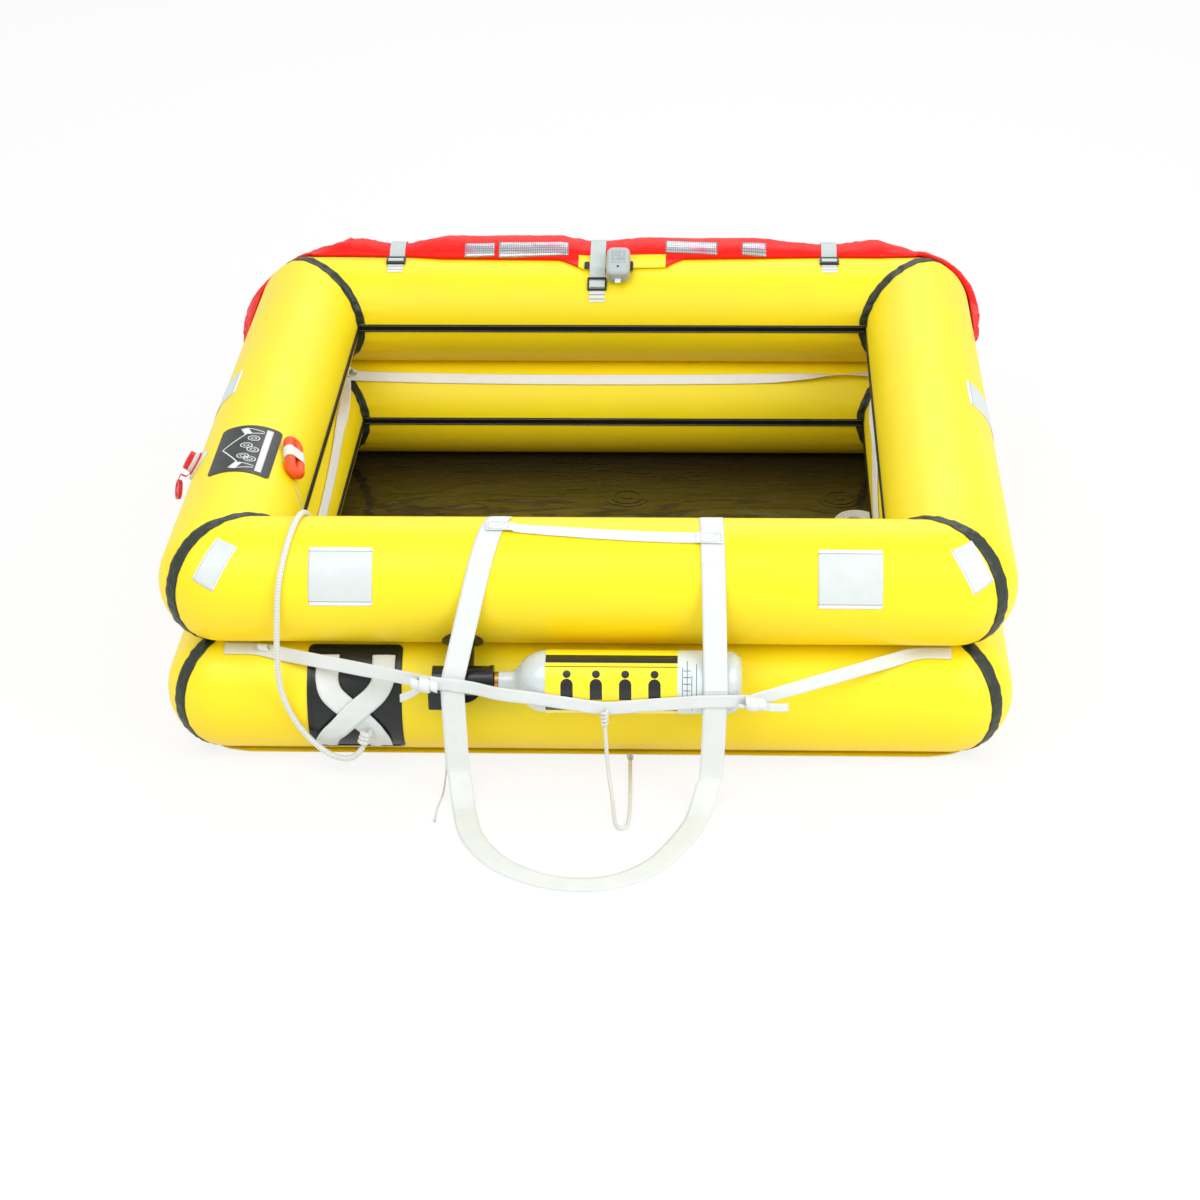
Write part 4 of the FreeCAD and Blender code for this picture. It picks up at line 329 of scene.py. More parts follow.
def floor_coating():
    """Glossy dark floor fabric with a brown tinge and smears, and painted reflections: gold towards the front,
    blue-black towards the back.
    """
    finish = Finish("floor_sheet", colours().floor, 0.17, coat_weight=0.6, coat_roughness=0.08)
    smear = finish.noise((6.0, 14.0, 6.0), 5.0, 0.6, 0.6)
    y = finish.parts(finish.place(1.0))[1]
    # Painted reflection: a gold tint towards the front stands for the yellow tubes mirrored in the glossy
    # floor
    near = finish.band(y, 0.30, -0.30)
    painted_gold_reflection = finish.band(finish.noise((5.0, 22.0, 5.0), 5.0, 0.6, 0.7), 0.42, 0.66, 0.0, 0.55)
    finish.tint(finish.sum("MULTIPLY", near, painted_gold_reflection), paint(150, 122, 50))
    # Painted reflection: a blue-black tint towards the back stands for a dark reflection in the glossy floor
    finish.tint(finish.band(y, 0.34, 0.50, 0.0, 0.7), paint(10, 18, 24))
    finish.shade(smear, 0.7, 1.2)
    finish.rough(smear, 0.1, 0.26)
    finish.bump(finish.noise((16.0, 46.0, 16.0), 4.0, 0.55, 0.8), 0.008, 0.6)
    finish.bump(weave(finish, 500.0), 0.0001, 0.3)
    return finish.material


def patch_fabric(name, colour, roughness):
    """Sewn patch cloth with grain and weave: UV runs from 0 to 1 across and up; the caller adds the stitch
    lines near two edges.
    """
    finish = Finish(name, colour, roughness)
    u, v = finish.parts(finish.place(1.0, "UV"))[:2]
    finish.shade(finish.noise(40.0, 4.0, 0.6), 0.9, 1.03)
    finish.bump(weave(finish, 500.0), 0.00012, 0.4)
    finish.bump(finish.noise(55.0, 2.0), 0.0006, 0.35)
    return finish, u, v


def reflective_patch(name, upright=False):
    """Grey-white reflective cloth with paler hems and black thread along two edges."""
    finish, u, v = patch_fabric(name, colours().patch, 0.34)
    if upright:
        u, v = v, u
    seam = 0.43
    edge = finish.sum("ABSOLUTE", finish.sum("SUBTRACT", v, 0.5))
    hem = finish.sum("GREATER_THAN", edge, seam)
    finish.tint(hem, paint(244, 244, 242))
    line = finish.sum("LESS_THAN", finish.sum("ABSOLUTE", finish.sum("SUBTRACT", edge, seam)), 0.0065)
    dash = finish.stripe(finish.sum("MULTIPLY", u, 26.0), 0.7)
    finish.tint(finish.sum("MULTIPLY", line, dash), paint(30, 30, 34))
    finish.bump(hem, 0.0005, 0.8)
    return finish.material


def dark_patch():
    """Near-black rubber sheet with a fine grain."""
    finish = Finish("dark_patch", colours().plate, 0.32)
    finish.shade(finish.noise(30.0, 4.0, 0.6), 0.75, 1.2)
    finish.rough(finish.noise(45.0, 3.0), 0.24, 0.46)
    finish.bump(finish.noise(90.0, 3.0), 0.0006, 0.45)
    finish.bump(finish.cells(900.0), 0.0001, 0.4)
    return finish.material


def webbing_fabric(name, colour, rib=0.0017):
    """Woven webbing: UV is metres across and along, with ribs across and yarns along."""
    finish = Finish(name, colour, 0.62, sheen_weight=0.25)
    u, v = finish.parts(finish.place(1.0, "UV"))[:2]
    ribs = finish.band(finish.sum("SINE", finish.sum("MULTIPLY", v, math.tau / rib)), -1.0, 1.0)
    yarns = finish.band(finish.sum("SINE", finish.sum("MULTIPLY", u, math.tau / 0.0024)), -1.0, 1.0)
    finish.shade(ribs, 0.88, 1.0)
    finish.shade(finish.noise(26.0, 4.0, 0.6), 0.9, 1.02)
    finish.bump(finish.sum("MULTIPLY_ADD", yarns, 0.35, ribs), 0.0004, 0.55)
    return finish.material


def rope_fabric(name, colour, pairs, pitch):
    """Braided rope: UV is turns round and metres along, with crossing strands."""
    finish = Finish(name, colour, 0.55, sheen_weight=0.3)
    u, v = finish.parts(finish.place(1.0, "UV"))[:2]
    round_way = finish.sum("MULTIPLY", u, float(pairs))
    along = finish.sum("DIVIDE", v, pitch)
    first = finish.sum("SINE", finish.sum("MULTIPLY", finish.sum("ADD", round_way, along), math.tau))
    second = finish.sum("SINE", finish.sum("MULTIPLY", finish.sum("SUBTRACT", round_way, along), math.tau))
    strands = finish.band(finish.sum("MULTIPLY", first, second), -1.0, 1.0)
    finish.shade(strands, 0.74, 1.0)
    finish.shade(finish.noise(80.0, 3.0), 0.9, 1.03)
    finish.bump(strands, 0.0011, 0.8)
    return finish.material


def nylon(name, colour):
    """Thin coated nylon with ripstop threads and crumple."""
    finish = Finish(name, colour, 0.42, specular_ior_level=0.22)
    finish.shade(finish.noise((16.0, 16.0, 30.0), 4.0, 0.6), 0.8, 1.06)
    finish.bump(finish.noise((30.0, 60.0, 70.0), 4.0, 0.6, 0.5), 0.004, 0.5)
    finish.bump(weave(finish, 420.0), 0.0001, 0.3)
    return finish.material


def painted_metal(name, colour, roughness):
    """Glossy paint with slight orange peel."""
    finish = Finish(name, colour, roughness, coat_weight=0.5, coat_roughness=0.12)
    finish.shade(finish.noise(24.0, 4.0), 0.92, 1.03)
    finish.rough(finish.noise(60.0, 4.0), roughness * 0.8, roughness * 1.35)
    finish.bump(finish.noise(260.0, 2.0), 0.0002, 0.25)
    return finish.material


def bare_metal(name, colour, roughness):
    """Metal with turning marks."""
    finish = Finish(name, colour, roughness, metallic=1.0)
    finish.shade(finish.noise((60.0, 600.0, 600.0), 4.0), 0.8, 1.06)
    finish.rough(finish.noise(180.0, 4.0), roughness * 0.7, roughness * 1.5)
    finish.bump(finish.noise(700.0, 2.0), 0.0001, 0.35)
    return finish.material


def moulded_plastic(name, colour, roughness):
    """Moulded plastic or rubber with a fine grain."""
    finish = Finish(name, colour, roughness)
    finish.shade(finish.noise(70.0, 3.0), 0.9, 1.06)
    finish.rough(finish.noise(120.0, 3.0), roughness * 0.8, roughness * 1.25)
    finish.bump(finish.noise(1200.0, 2.0), 0.00008, 0.4)
    return finish.material


def around_cylinder(finish):
    """Metres along the gas cylinder and degrees round it, with 0 facing out and 90 up."""
    low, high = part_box("gas_cylinder")
    x, y, z = finish.parts(finish.place(1.0))
    out = finish.sum("SUBTRACT", (low.y + high.y) / 2, y)
    up = finish.sum("SUBTRACT", z, (low.z + high.z) / 2)
    angle = finish.sum("DEGREES", finish.sum("ARCTAN2", up, out))
    return x, angle


def within(finish, value, low, high):
    """1 where the value is between low and high."""
    above = finish.sum("GREATER_THAN", value, low)
    below = finish.sum("LESS_THAN", value, high)
    return finish.sum("MULTIPLY", above, below)


def cylinder_label():
    """Yellow label with black bands and four plain figures of people; it carries no words."""
    finish = Finish("cylinder_label", colours().label, 0.26, coat_weight=0.4, coat_roughness=0.1)
    x, angle = around_cylinder(finish)
    ink = paint(18, 18, 20)
    finish.tint(within(finish, angle, -36.0, -16.0), ink)
    finish.tint(within(finish, angle, 64.0, 84.0), ink)
    finish.tint(within(finish, angle, 55.0, 56.5), ink)
    step = finish.sum("FRACT", finish.sum("DIVIDE", finish.sum("SUBTRACT", x, FIGURES_START), FIGURE_PITCH))
    local = finish.sum("MULTIPLY", finish.sum("SUBTRACT", step, 0.5), FIGURE_PITCH)
    height = finish.sum("MULTIPLY", angle, math.radians(1) * BOTTLE_RADIUS)
    head = finish.disc(local, height, 0.0, 0.0395, 0.0068)
    shoulders = finish.disc(local, height, 0.0, 0.0210, 0.0105)
    torso = finish.sum(
        "MULTIPLY", within(finish, local, -0.0105, 0.0105), within(finish, height, -0.006, 0.0210),
    )
    figure = finish.sum("MAXIMUM", finish.sum("MAXIMUM", head, shoulders), torso)
    row = within(finish, x, FIGURES_START, FIGURES_START + FIGURES * FIGURE_PITCH)
    finish.tint(finish.sum("MULTIPLY", figure, row), ink)
    finish.shade(finish.noise(30.0, 3.0), 0.94, 1.02)
    finish.bump(finish.noise(200.0, 3.0), 0.0002, 0.25)
    return finish.material


def data_sticker():
    """Pale sticker with fine upright rules."""
    finish = Finish("data_sticker", paint(214, 222, 220), 0.3, coat_weight=0.3, coat_roughness=0.15)
    x, angle = around_cylinder(finish)
    ink = paint(70, 76, 78)
    for place, low, high in ((0.170, -30, 55), (0.178, -10, 70), (0.186, -36, 40), (0.194, 0, 62)):
        rule = within(finish, x, place, place + 0.0012)
        finish.tint(finish.sum("MULTIPLY", rule, within(finish, angle, low, high)), ink)
    column = within(finish, x, 0.172, 0.185)
    ticks = finish.sum("MULTIPLY", column, finish.stripe(finish.sum("DIVIDE", angle, 12.0), 0.12))
    finish.tint(finish.sum("MULTIPLY", ticks, within(finish, angle, -20.0, 60.0)), ink)
    finish.bump(finish.noise(200.0, 3.0), 0.0002, 0.25)
    return finish.material


def foil():
    """Silver reflective tape on the canopy, with a fine check and a pink cast."""
    finish = Finish("canopy_reflector", paint(206, 208, 210), 0.28, metallic=0.65)
    u, v = finish.parts(finish.place(1.0, "UV"))[:2]
    check, other = (finish.stripe(finish.sum("MULTIPLY", way, 220.0), 0.3) for way in (u, v))
    lines = finish.sum("MAXIMUM", check, other)
    finish.tint(finish.sum("MULTIPLY", lines, 0.75), paint(96, 100, 110))
    pink = finish.band(finish.noise((14.0, 40.0, 40.0), 3.0), 0.52, 0.7)
    finish.tint(finish.sum("MULTIPLY", pink, 0.75), paint(232, 96, 140))
    finish.bump(finish.noise((40.0, 90.0, 90.0), 3.0), 0.002, 0.5)
    return finish.material


def dress(node, material):
    """Give a CAD node its finished material."""
    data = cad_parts[node].data
    data.materials.clear()
    data.materials.append(material)


# Meshes

def select_only(obj):
    """Make one object the only one that is selected."""
    bpy.ops.object.select_all(action="DESELECT")
    obj.select_set(True)
    bpy.context.view_layer.objects.active = obj


def made_piece(name, verts, faces, coordinates, material):
    """A piece that rides on the raft, with its UV map and material."""
    data = bpy.data.meshes.new(name)
    data.from_pydata([tuple(spot) for spot in verts], [], faces)
    layer = data.uv_layers.new(name="UVMap")
    layer.data.foreach_set("uv", [number for pair in coordinates for number in pair])
    data.polygons.foreach_set("use_smooth", [True] * len(data.polygons))
    data.materials.append(material)
    data.update()
    obj = bpy.data.objects.new(name, data)
    bpy.context.scene.collection.objects.link(obj)
    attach(obj, "raft")
    return obj


def face_outwards(obj):
    """Turn every face of a closed piece outwards."""
    select_only(obj)
    bpy.ops.object.mode_set(mode="EDIT")
    bpy.ops.mesh.select_all(action="SELECT")
    bpy.ops.mesh.remove_doubles(threshold=0.000005)
    bpy.ops.mesh.normals_make_consistent(inside=False)
    bpy.ops.object.mode_set(mode="OBJECT")
    obj.select_set(False)
    return obj


def lofted(name, rows, along, across, material, closed=False, caps=False):
    """A surface through rows of points; along and across give its UV map."""
    count = len(rows[0])
    verts = [spot for row in rows for spot in row]
    faces = []
    coordinates = []
    for row in range(len(rows) - 1):
        for column in range(count if closed else count - 1):
            following = (column + 1) % count
            faces.append((
                row * count + column, row * count + following,
                (row + 1) * count + following, (row + 1) * count + column,
            ))
            coordinates += [
                (across[column], along[row]), (across[column + 1], along[row]),
                (across[column + 1], along[row + 1]), (across[column], along[row + 1]),
            ]
    if caps:
        for row, way in ((0, -1), (len(rows) - 1, 1)):
            ring = [row * count + column for column in range(count)][::way]
            faces.append(ring)
            coordinates += [(across[0], along[row])] * count
    return made_piece(name, verts, faces, coordinates, material)


def thicken(obj, thickness):
    """Give a sheet its wall, inwards from the face that is modelled."""
    select_only(obj)
    wall = obj.modifiers.new("Solidify", "SOLIDIFY")
    wall.thickness = thickness
    wall.offset = -1.0
    wall.use_even_offset = False
    bpy.ops.object.modifier_apply(modifier=wall.name)
    obj.select_set(False)
    return obj


def join_pieces(name, pieces):
    """Several meshes as one piece."""
    bpy.ops.object.select_all(action="DESELECT")
    for piece in pieces:
        piece.select_set(True)
    bpy.context.view_layer.objects.active = pieces[0]
    if len(pieces) > 1:
        bpy.ops.object.join()
    pieces[0].name = name
    pieces[0].data.name = name
    pieces[0].select_set(False)
    return pieces[0]


def between(start, end, steps):
    """Evenly spaced numbers, both ends among them."""
    return [start + (end - start) * step / steps for step in range(steps + 1)]


def smooth_step(value):
    """An easy rise from 0 to 1."""
    value = min(1.0, max(0.0, value))
    return value * value * (3 - 2 * value)


def read_table(rows, at):
    """A number between the rows of a table of (place, number)."""
    if at <= rows[0][0]:
        return rows[0][1]
    for (start, first), (end, second) in zip(rows, rows[1:]):
        if at <= end:
            return first + (second - first) * (at - start) / (end - start)
    return rows[-1][1]


def through(points, steps):
    """Points on a smooth line through vectors, steps to each stretch."""
    line = []
    for index in range(len(points) - 1):
        before = points[max(index - 1, 0)]
        here = points[index]
        there = points[index + 1]
        after = points[min(index + 2, len(points) - 1)]
        for step in range(steps):
            t = step / steps
            line.append(0.5 * (
                2 * here + (there - before) * t + (2 * before - 5 * here + 4 * there - after) * t * t
                + (3 * here - before - 3 * there + after) * t * t * t
            ))
    line.append(points[-1].copy())
    return line


# The tubes' surface

SIDES = ("front", "right", "back", "left")


def turn_side(side, spot):
    """Turn a point of the front side to another side of the raft."""
    return Matrix.Rotation(math.radians(90.0 * SIDES.index(side)), 3, "Z") @ spot


def tube_spot(side, height, along, angle, rise):
    """A point that stands off a tube; angle 0 faces out of the raft and 90 up."""
    turn = math.radians(angle)
    reach = sizes().tube_radius + rise
    return turn_side(side, Vector((
        along, -sizes().half_span - reach * math.cos(turn), height + reach * math.sin(turn),
    )))


def tube_ways(side, angle):
    """Directions on a tube: along it, round it and out of it."""
    turn = math.radians(angle)
    return (
        turn_side(side, Vector((1, 0, 0))),
        turn_side(side, Vector((0, math.sin(turn), math.cos(turn)))),
        turn_side(side, Vector((0, -math.cos(turn), math.sin(turn)))),
    )


def pucker(side, height, angle, distance):
    """Depth of the gathers beside a corner seam; they fade away from it."""
    turn = math.radians(angle)
    seed = Vector((5.0 * math.cos(turn), 5.0 * math.sin(turn), SIDES.index(side) * 3.1 + height * 17.0))
    gathers = 0.5 + 0.5 * math.sin(turn * 23.0 + 2.6 * noise.noise(seed) + SIDES.index(side))
    inner = 0.55 + 0.45 * smooth_step(0.5 - math.cos(turn))
    fade = math.exp(-distance / 0.030)
    return -sizes().seam_pucker * gathers * inner * fade


def corner_spot(side, height, angle, from_seam, hand, rise, clip=True):
    """A point on a tube at a distance from its corner seam, at its left or right end."""
    size = sizes()
    turn = math.radians(angle)
    dent = pucker(side, height, angle, from_seam)
    reach = (size.tube_radius + rise + dent) * math.cos(turn)
    base = size.tube_radius * math.cos(turn)
    z = height + (size.tube_radius + rise + dent) * math.sin(turn)
    if clip:
        low, high = (size.floor_thickness, size.meeting) if height < size.meeting else (size.meeting, 1.0)
        z = min(max(z, low), high)
    distance = side_length(angle) - from_seam
    bend = max(0.0, distance - size.half_span) / base if base > 1e-6 else 0.0
    x = min(distance, size.half_span) + reach * math.sin(bend)
    return turn_side(side, Vector((hand * x, -size.half_span - reach * math.cos(bend), z)))


def side_length(angle):
    """From the middle of a side to its seam, along the tube."""
    size = sizes()
    base = size.tube_radius * math.cos(math.radians(angle))
    return size.half_span + (base * math.pi / 4 if base > 0 else base)


def tube_piece(name, height, material):
    """One whole tube: four sides that meet in mitred corners."""
    steps = 46
    round_steps = 96
    shares = [1 - (1 - step / steps) ** 2.0 for step in range(steps + 1)]
    verts = []
    faces = []
    coordinates = []
    for side in SIDES:
        start = len(verts)
        places = [(-1, share) for share in reversed(shares)] + [(1, share) for share in shares[1:]]
        for hand, share in places:
            for step in range(round_steps):
                angle = 360.0 * step / round_steps
                verts.append(corner_spot(side, height, angle, side_length(angle) * (1 - share), hand, 0.0))
        for row in range(len(places) - 1):
            for column in range(round_steps):
                following = (column + 1) % round_steps
                faces.append((
                    start + row * round_steps + column, start + row * round_steps + following,
                    start + (row + 1) * round_steps + following, start + (row + 1) * round_steps + column,
                ))
                along = [places[row][0] * places[row][1], places[row + 1][0] * places[row + 1][1]]
                coordinates += [
                    (column / round_steps, along[0]), ((column + 1) / round_steps, along[0]),
                    ((column + 1) / round_steps, along[1]), (column / round_steps, along[1]),
                ]
    tube = face_outwards(made_piece(name, verts, faces, coordinates, material))
    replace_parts(tube, name.replace("_skin", ""))


def tape_piece(name, height, node, material):
    """Tape over the four corner seams of a tube, a little wrinkled."""
    size = sizes()
    clear = 0.6
    before_strip, after_strip = 175.4, 184.6
    meeting = math.degrees(math.asin((size.meeting - height) / size.tube_radius))
    if height < size.meeting:
        low = math.degrees(math.asin((size.floor_thickness - height) / size.tube_radius)) + clear
        high = meeting - clear
        stretches = [(low, high), (180 - high, before_strip), (after_strip, 180 - low)]
    else:
        low = meeting + clear
        stretches = [(low, before_strip), (after_strip, 180 - low)]
    pieces = []
    half = size.tape_width / 2
    for index, side in enumerate(SIDES):
        other = SIDES[(index + 1) % 4]
        for start, end in stretches:
            rows = []
            along = []
            across_places = between(-half, half, 10)
            for angle in between(start, end, max(6, round((end - start) / 1.6))):
                row = []
                travel = math.radians(angle) * size.tube_radius
                along.append(travel)
                for place in across_places:
                    share = place / half
                    wave = noise.noise(Vector((travel * 130.0, share * 1.4, index * 7.0 + height * 30.0)))
                    rise = 0.0016 + 0.0009 * wave - 0.0007 * abs(share) ** 6
                    wander = 0.0018 * noise.noise(Vector((travel * 60.0, share * 9.0, index + 40.0)))
                    from_seam = max(0.0, abs(place) + wander * abs(share))
                    near, hand = (side, 1) if place <= 0 else (other, -1)
                    row.append(corner_spot(near, height, angle, from_seam, hand, rise, False))
                rows.append(row)
            across = [0.5 + place / size.tape_width for place in across_places]
            pieces.append(lofted(name + str(len(pieces)), rows, along, across, material))
    tape = join_pieces(name, pieces)
    recalculate_out_of_tube(tape, height)
    thicken(tape, 0.0011)
    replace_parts(tape, node)


def recalculate_out_of_tube(obj, height):
    """Turn the faces of an open strip so that they face away from their tube."""
    size = sizes()
    data = obj.data
    wrong = 0
    for face in data.polygons:
        centre = face.center
        x, y = (max(-size.half_span, min(size.half_span, place)) for place in (centre.x, centre.y))
        nearest = Vector((x, y, height))
        if max(abs(nearest.x), abs(nearest.y)) < size.half_span - 1e-6:
            if abs(centre.x) > abs(centre.y):
                nearest.x = math.copysign(size.half_span, centre.x)
            else:
                nearest.y = math.copysign(size.half_span, centre.y)
        if face.normal.dot(centre - nearest) < 0:
            wrong += 1
    if wrong > len(data.polygons) / 2:
        data.flip_normals()


def tube_patch(name, side, along, material):
    """A large reflective patch on the upper tube, with rounded corners and a slight ripple."""
    size = sizes()
    height = size.high_tube
    width, low, high, corner, thickness = 0.110, 2.0, 56.0, 0.002, 0.001
    columns, steps = 28, 27
    tall = math.radians(high - low) * size.tube_radius
    rows = []
    for step in range(steps + 1):
        angle = low + (high - low) * step / steps
        travel = tall * step / steps
        row = []
        inset = 0.0
        edge = min(travel, tall - travel)
        if edge < corner:
            inset = corner - math.sqrt(max(0.0, corner ** 2 - (corner - edge) ** 2))
        for column in range(columns + 1):
            share = -1 + 2 * column / columns
            place = along + share * (width / 2 - inset)
            ripple = 0.0004 * noise.noise(Vector((place * 55.0, travel * 55.0, height * 9.0)))
            lift = SKIN_GAP + thickness + max(ripple, -thickness * 0.3)
            row.append(tube_spot(side, height, place, angle, lift))
        rows.append(row)
    piece = lofted(name, rows, between(0.0, 1.0, steps), between(0.0, 1.0, columns), material)
    recalculate_out_of_tube(piece, height)
    return thicken(piece, thickness)


# Webbing

def webbing_piece(
    name, stations, width, thickness, material, steps=8, crumple=0.0, curl=0.0, seed=0.0,
):
    """Flat webbing through stations of (middle, across, out), all in metres."""
    middles = through([Vector(station[0]) for station in stations], steps)
    acrosses = through([Vector(station[1]).normalized() for station in stations], steps)
    outs = through([Vector(station[2]).normalized() for station in stations], steps)
    columns = 8
    rows = []
    along = []
    travelled = 0.0
    for index, (middle, across, out) in enumerate(zip(middles, acrosses, outs)):
        if index:
            travelled += (middle - middles[index - 1]).length
        along.append(travelled)
        across.normalize()
        out = (out - across * out.dot(across)).normalized()
        top = []
        bottom = []
        for column in range(columns + 1):
            share = -1 + 2 * column / columns
            lift = curl * share * share
            if crumple:
                broad = noise.noise(Vector((travelled * 42.0, share * 1.6 + seed, seed * 3.0)))
                fine = noise.noise(Vector((travelled * 120.0, share * 2.6, seed + 9.0)))
                lift += crumple * (0.5 + 0.5 * broad) + crumple * 0.4 * (0.5 + 0.5 * fine)
            wall = thickness * (1.0 if abs(share) < 0.99 else 0.55)
            base = middle + across * (share * width / 2) + out * (lift + (thickness - wall) / 2)
            bottom.append(base)
            top.append(base + out * wall)
        rows.append(top + bottom[::-1])
    shares = [width * column / columns for column in range(columns + 1)]
    across_map = shares + shares[::-1] + [0.0]
    piece = lofted(name, rows, along, across_map, material, closed=True, caps=True)
    return face_outwards(piece)


def tube_station(side, height, along, angle, rise, lean=90.0):
    """A webbing station on a tube. Lean is the webbing's turn from the tube's own line."""
    forward, round_way, out = tube_ways(side, angle)
    turn = math.radians(lean)
    across = forward * math.sin(turn) + round_way * math.cos(turn)
    return tube_spot(side, height, along, angle, rise), across, out


def stitches(name, lines, material):
    """Rows of sewn stitches along lines of (spot, out) pairs."""
    stitch, gap, thread = 0.0030, 0.0014, 0.00035
    verts = []
    faces = []
    coordinates = []
    for line in lines:
        for (start, out), (end, _) in zip(line, line[1:]):
            run = end - start
            if run.length < 1e-6:
                continue
            way = run.normalized()
            side = way.cross(out).normalized()
            count = max(1, int(run.length / (stitch + gap)))
            for index in range(count):
                first = start + way * (index * (stitch + gap))
                base = len(verts)
                for share, lift in ((0.0, 0.0), (0.25, 1.0), (0.75, 1.0), (1.0, 0.0)):
                    spot = first + way * (stitch * share) + out * (thread * lift)
                    verts += [spot - side * thread, spot + out * thread * 0.8, spot + side * thread]
                for step in range(3):
                    for column in range(2):
                        corner = base + step * 3 + column
                        faces.append((corner, corner + 1, corner + 4, corner + 3))
                        coordinates += [(0, 0), (1, 0), (1, 1), (0, 1)]
    made_piece(name, verts, faces, coordinates, material)


# Ropes

def rope_line(points, resolution):
    """The points that a rope follows, read from a NURBS spline without a bevel."""
    curve = bpy.data.curves.new("rope_line", "CURVE")
    curve.dimensions = "3D"
    curve.resolution_u = resolution
    spline = curve.splines.new("NURBS")
    spline.points.add(len(points) - 1)
    for place, point in zip(spline.points, points):
        place.co = (*point, 1.0)
    spline.order_u = 3
    spline.use_endpoint_u = True
    holder = bpy.data.objects.new("rope_line", curve)
    line = bpy.data.meshes.new_from_object(holder)
    spots = [vertex.co.copy() for vertex in line.vertices]
    bpy.data.meshes.remove(line)
    bpy.data.objects.remove(holder)
    bpy.data.curves.remove(curve)
    return spots


def tube_along(name, spots, radius, sides, material):
    """A round rope along spots, with UV as turns round and metres along."""
    rows = []
    along = []
    travelled = 0.0
    forward = (spots[1] - spots[0]).normalized()
    reference = forward.orthogonal().normalized()
    for index, spot in enumerate(spots):
        before = spots[max(index - 1, 0)]
        after = spots[min(index + 1, len(spots) - 1)]
        way = (after - before).normalized()
        reference = (reference - way * reference.dot(way)).normalized()
        other = way.cross(reference)
        if index:
            travelled += (spot - before).length
        along.append(travelled)
        near = min(index, len(spots) - 1 - index)
        shrink = (0.55, 0.85)[near] if near < 2 else 1.0
        turns = [math.tau * step / sides for step in range(sides)]
        rows.append([
            spot + (reference * math.cos(turn) + other * math.sin(turn)) * radius * shrink for turn in turns
        ])
    return face_outwards(lofted(
        name, rows, along, between(0.0, 1.0, sides), material, closed=True, caps=True,
    ))


def wrapped_knot(name, middle, way, length, thickness, rope, material):
    """A knot of close turns round its own line, with its end tucked in."""
    way = Vector(way).normalized()
    side = way.orthogonal().normalized()
    other = way.cross(side)
    turns = max(2, round(length / rope) - 1)
    reach = (thickness - rope) / 2
    points = []
    steps = 10
    for step in range(turns * steps + 1):
        angle = math.tau * step / steps
        share = step / (turns * steps)
        wobble = 1.0 + 0.08 * math.sin(3.0 * angle + 1.0)
        spot = middle + way * ((share - 0.5) * (length - rope))
        points.append(spot + (side * math.cos(angle) + other * math.sin(angle)) * reach * wobble)
    points.insert(0, points[0] * 0.4 + (middle - way * (length / 2 - rope / 2)) * 0.6)
    points.append(points[-1] * 0.4 + (middle + way * (length / 2 - rope / 2)) * 0.6)
    return tube_along(name, rope_line(points, 3), rope / 2 * 0.96, 12, material)


def laid_cord(name, nodes, points, diameter, resolution, sides, material, knots, extras=(), **says):
    """A limp cord through points, with the knots at its ends, in place of its CAD nodes."""
    spots = rope_line(points, resolution)
    cord = tube_along(name, spots, diameter / 2, sides, material)
    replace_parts(cord, *nodes)
    pieces = [wrapped_knot(*knot, material) for knot in knots]
    pieces += [make(material) for make in extras]


PAINTER_OUTSIDE = [
    (-0.386, -0.763, 0.062), (-0.400, -0.763, 0.034), (-0.430, -0.760, 0.025), (-0.466, -0.758, 0.044),
    (-0.500, -0.759, 0.086), (-0.522, -0.760, 0.132), (-0.533, -0.760, 0.182), (-0.532, -0.761, 0.240),
    (-0.528, -0.761, 0.300),
]
PAINTER_OVER = [(-0.524, 20), (-0.514, 48), (-0.504, 76), (-0.497, 104), (-0.493, 132), (-0.491, 158)]
PAINTER_INSIDE = [
    (-0.488, -0.517, 0.330), (-0.486, -0.516, 0.270), (-0.484, -0.516, 0.205), (-0.480, -0.514, 0.140),
    (-0.472, -0.508, 0.080), (-0.452, -0.494, 0.034), (-0.412, -0.476, 0.009), (-0.352, -0.456, 0.009),
    (-0.262, -0.436, 0.009), (-0.150, -0.420, 0.009), (-0.030, -0.408, 0.009), (0.090, -0.396, 0.009),
    (0.200, -0.372, 0.009), (0.290, -0.326, 0.009), (0.362, -0.260, 0.009), (0.414, -0.178, 0.009),
    (0.446, -0.090, 0.009), (0.460, -0.028, 0.009),
]
HANK_MIDDLE = (0.499, 0.150)
HANK_LIFT = 0.006
HANK_TURN = -8.0
HANK_LOW = 0.0023
HANK_STEPS = 14


def hank_spot(x, y, z):
    """A point of the hank, from its place along and across it."""
    turn = math.radians(HANK_TURN)
    return Vector((
        HANK_MIDDLE[0] + x * math.cos(turn) - y * math.sin(turn),
        HANK_MIDDLE[1] + x * math.sin(turn) + y * math.cos(turn), z,
    ))


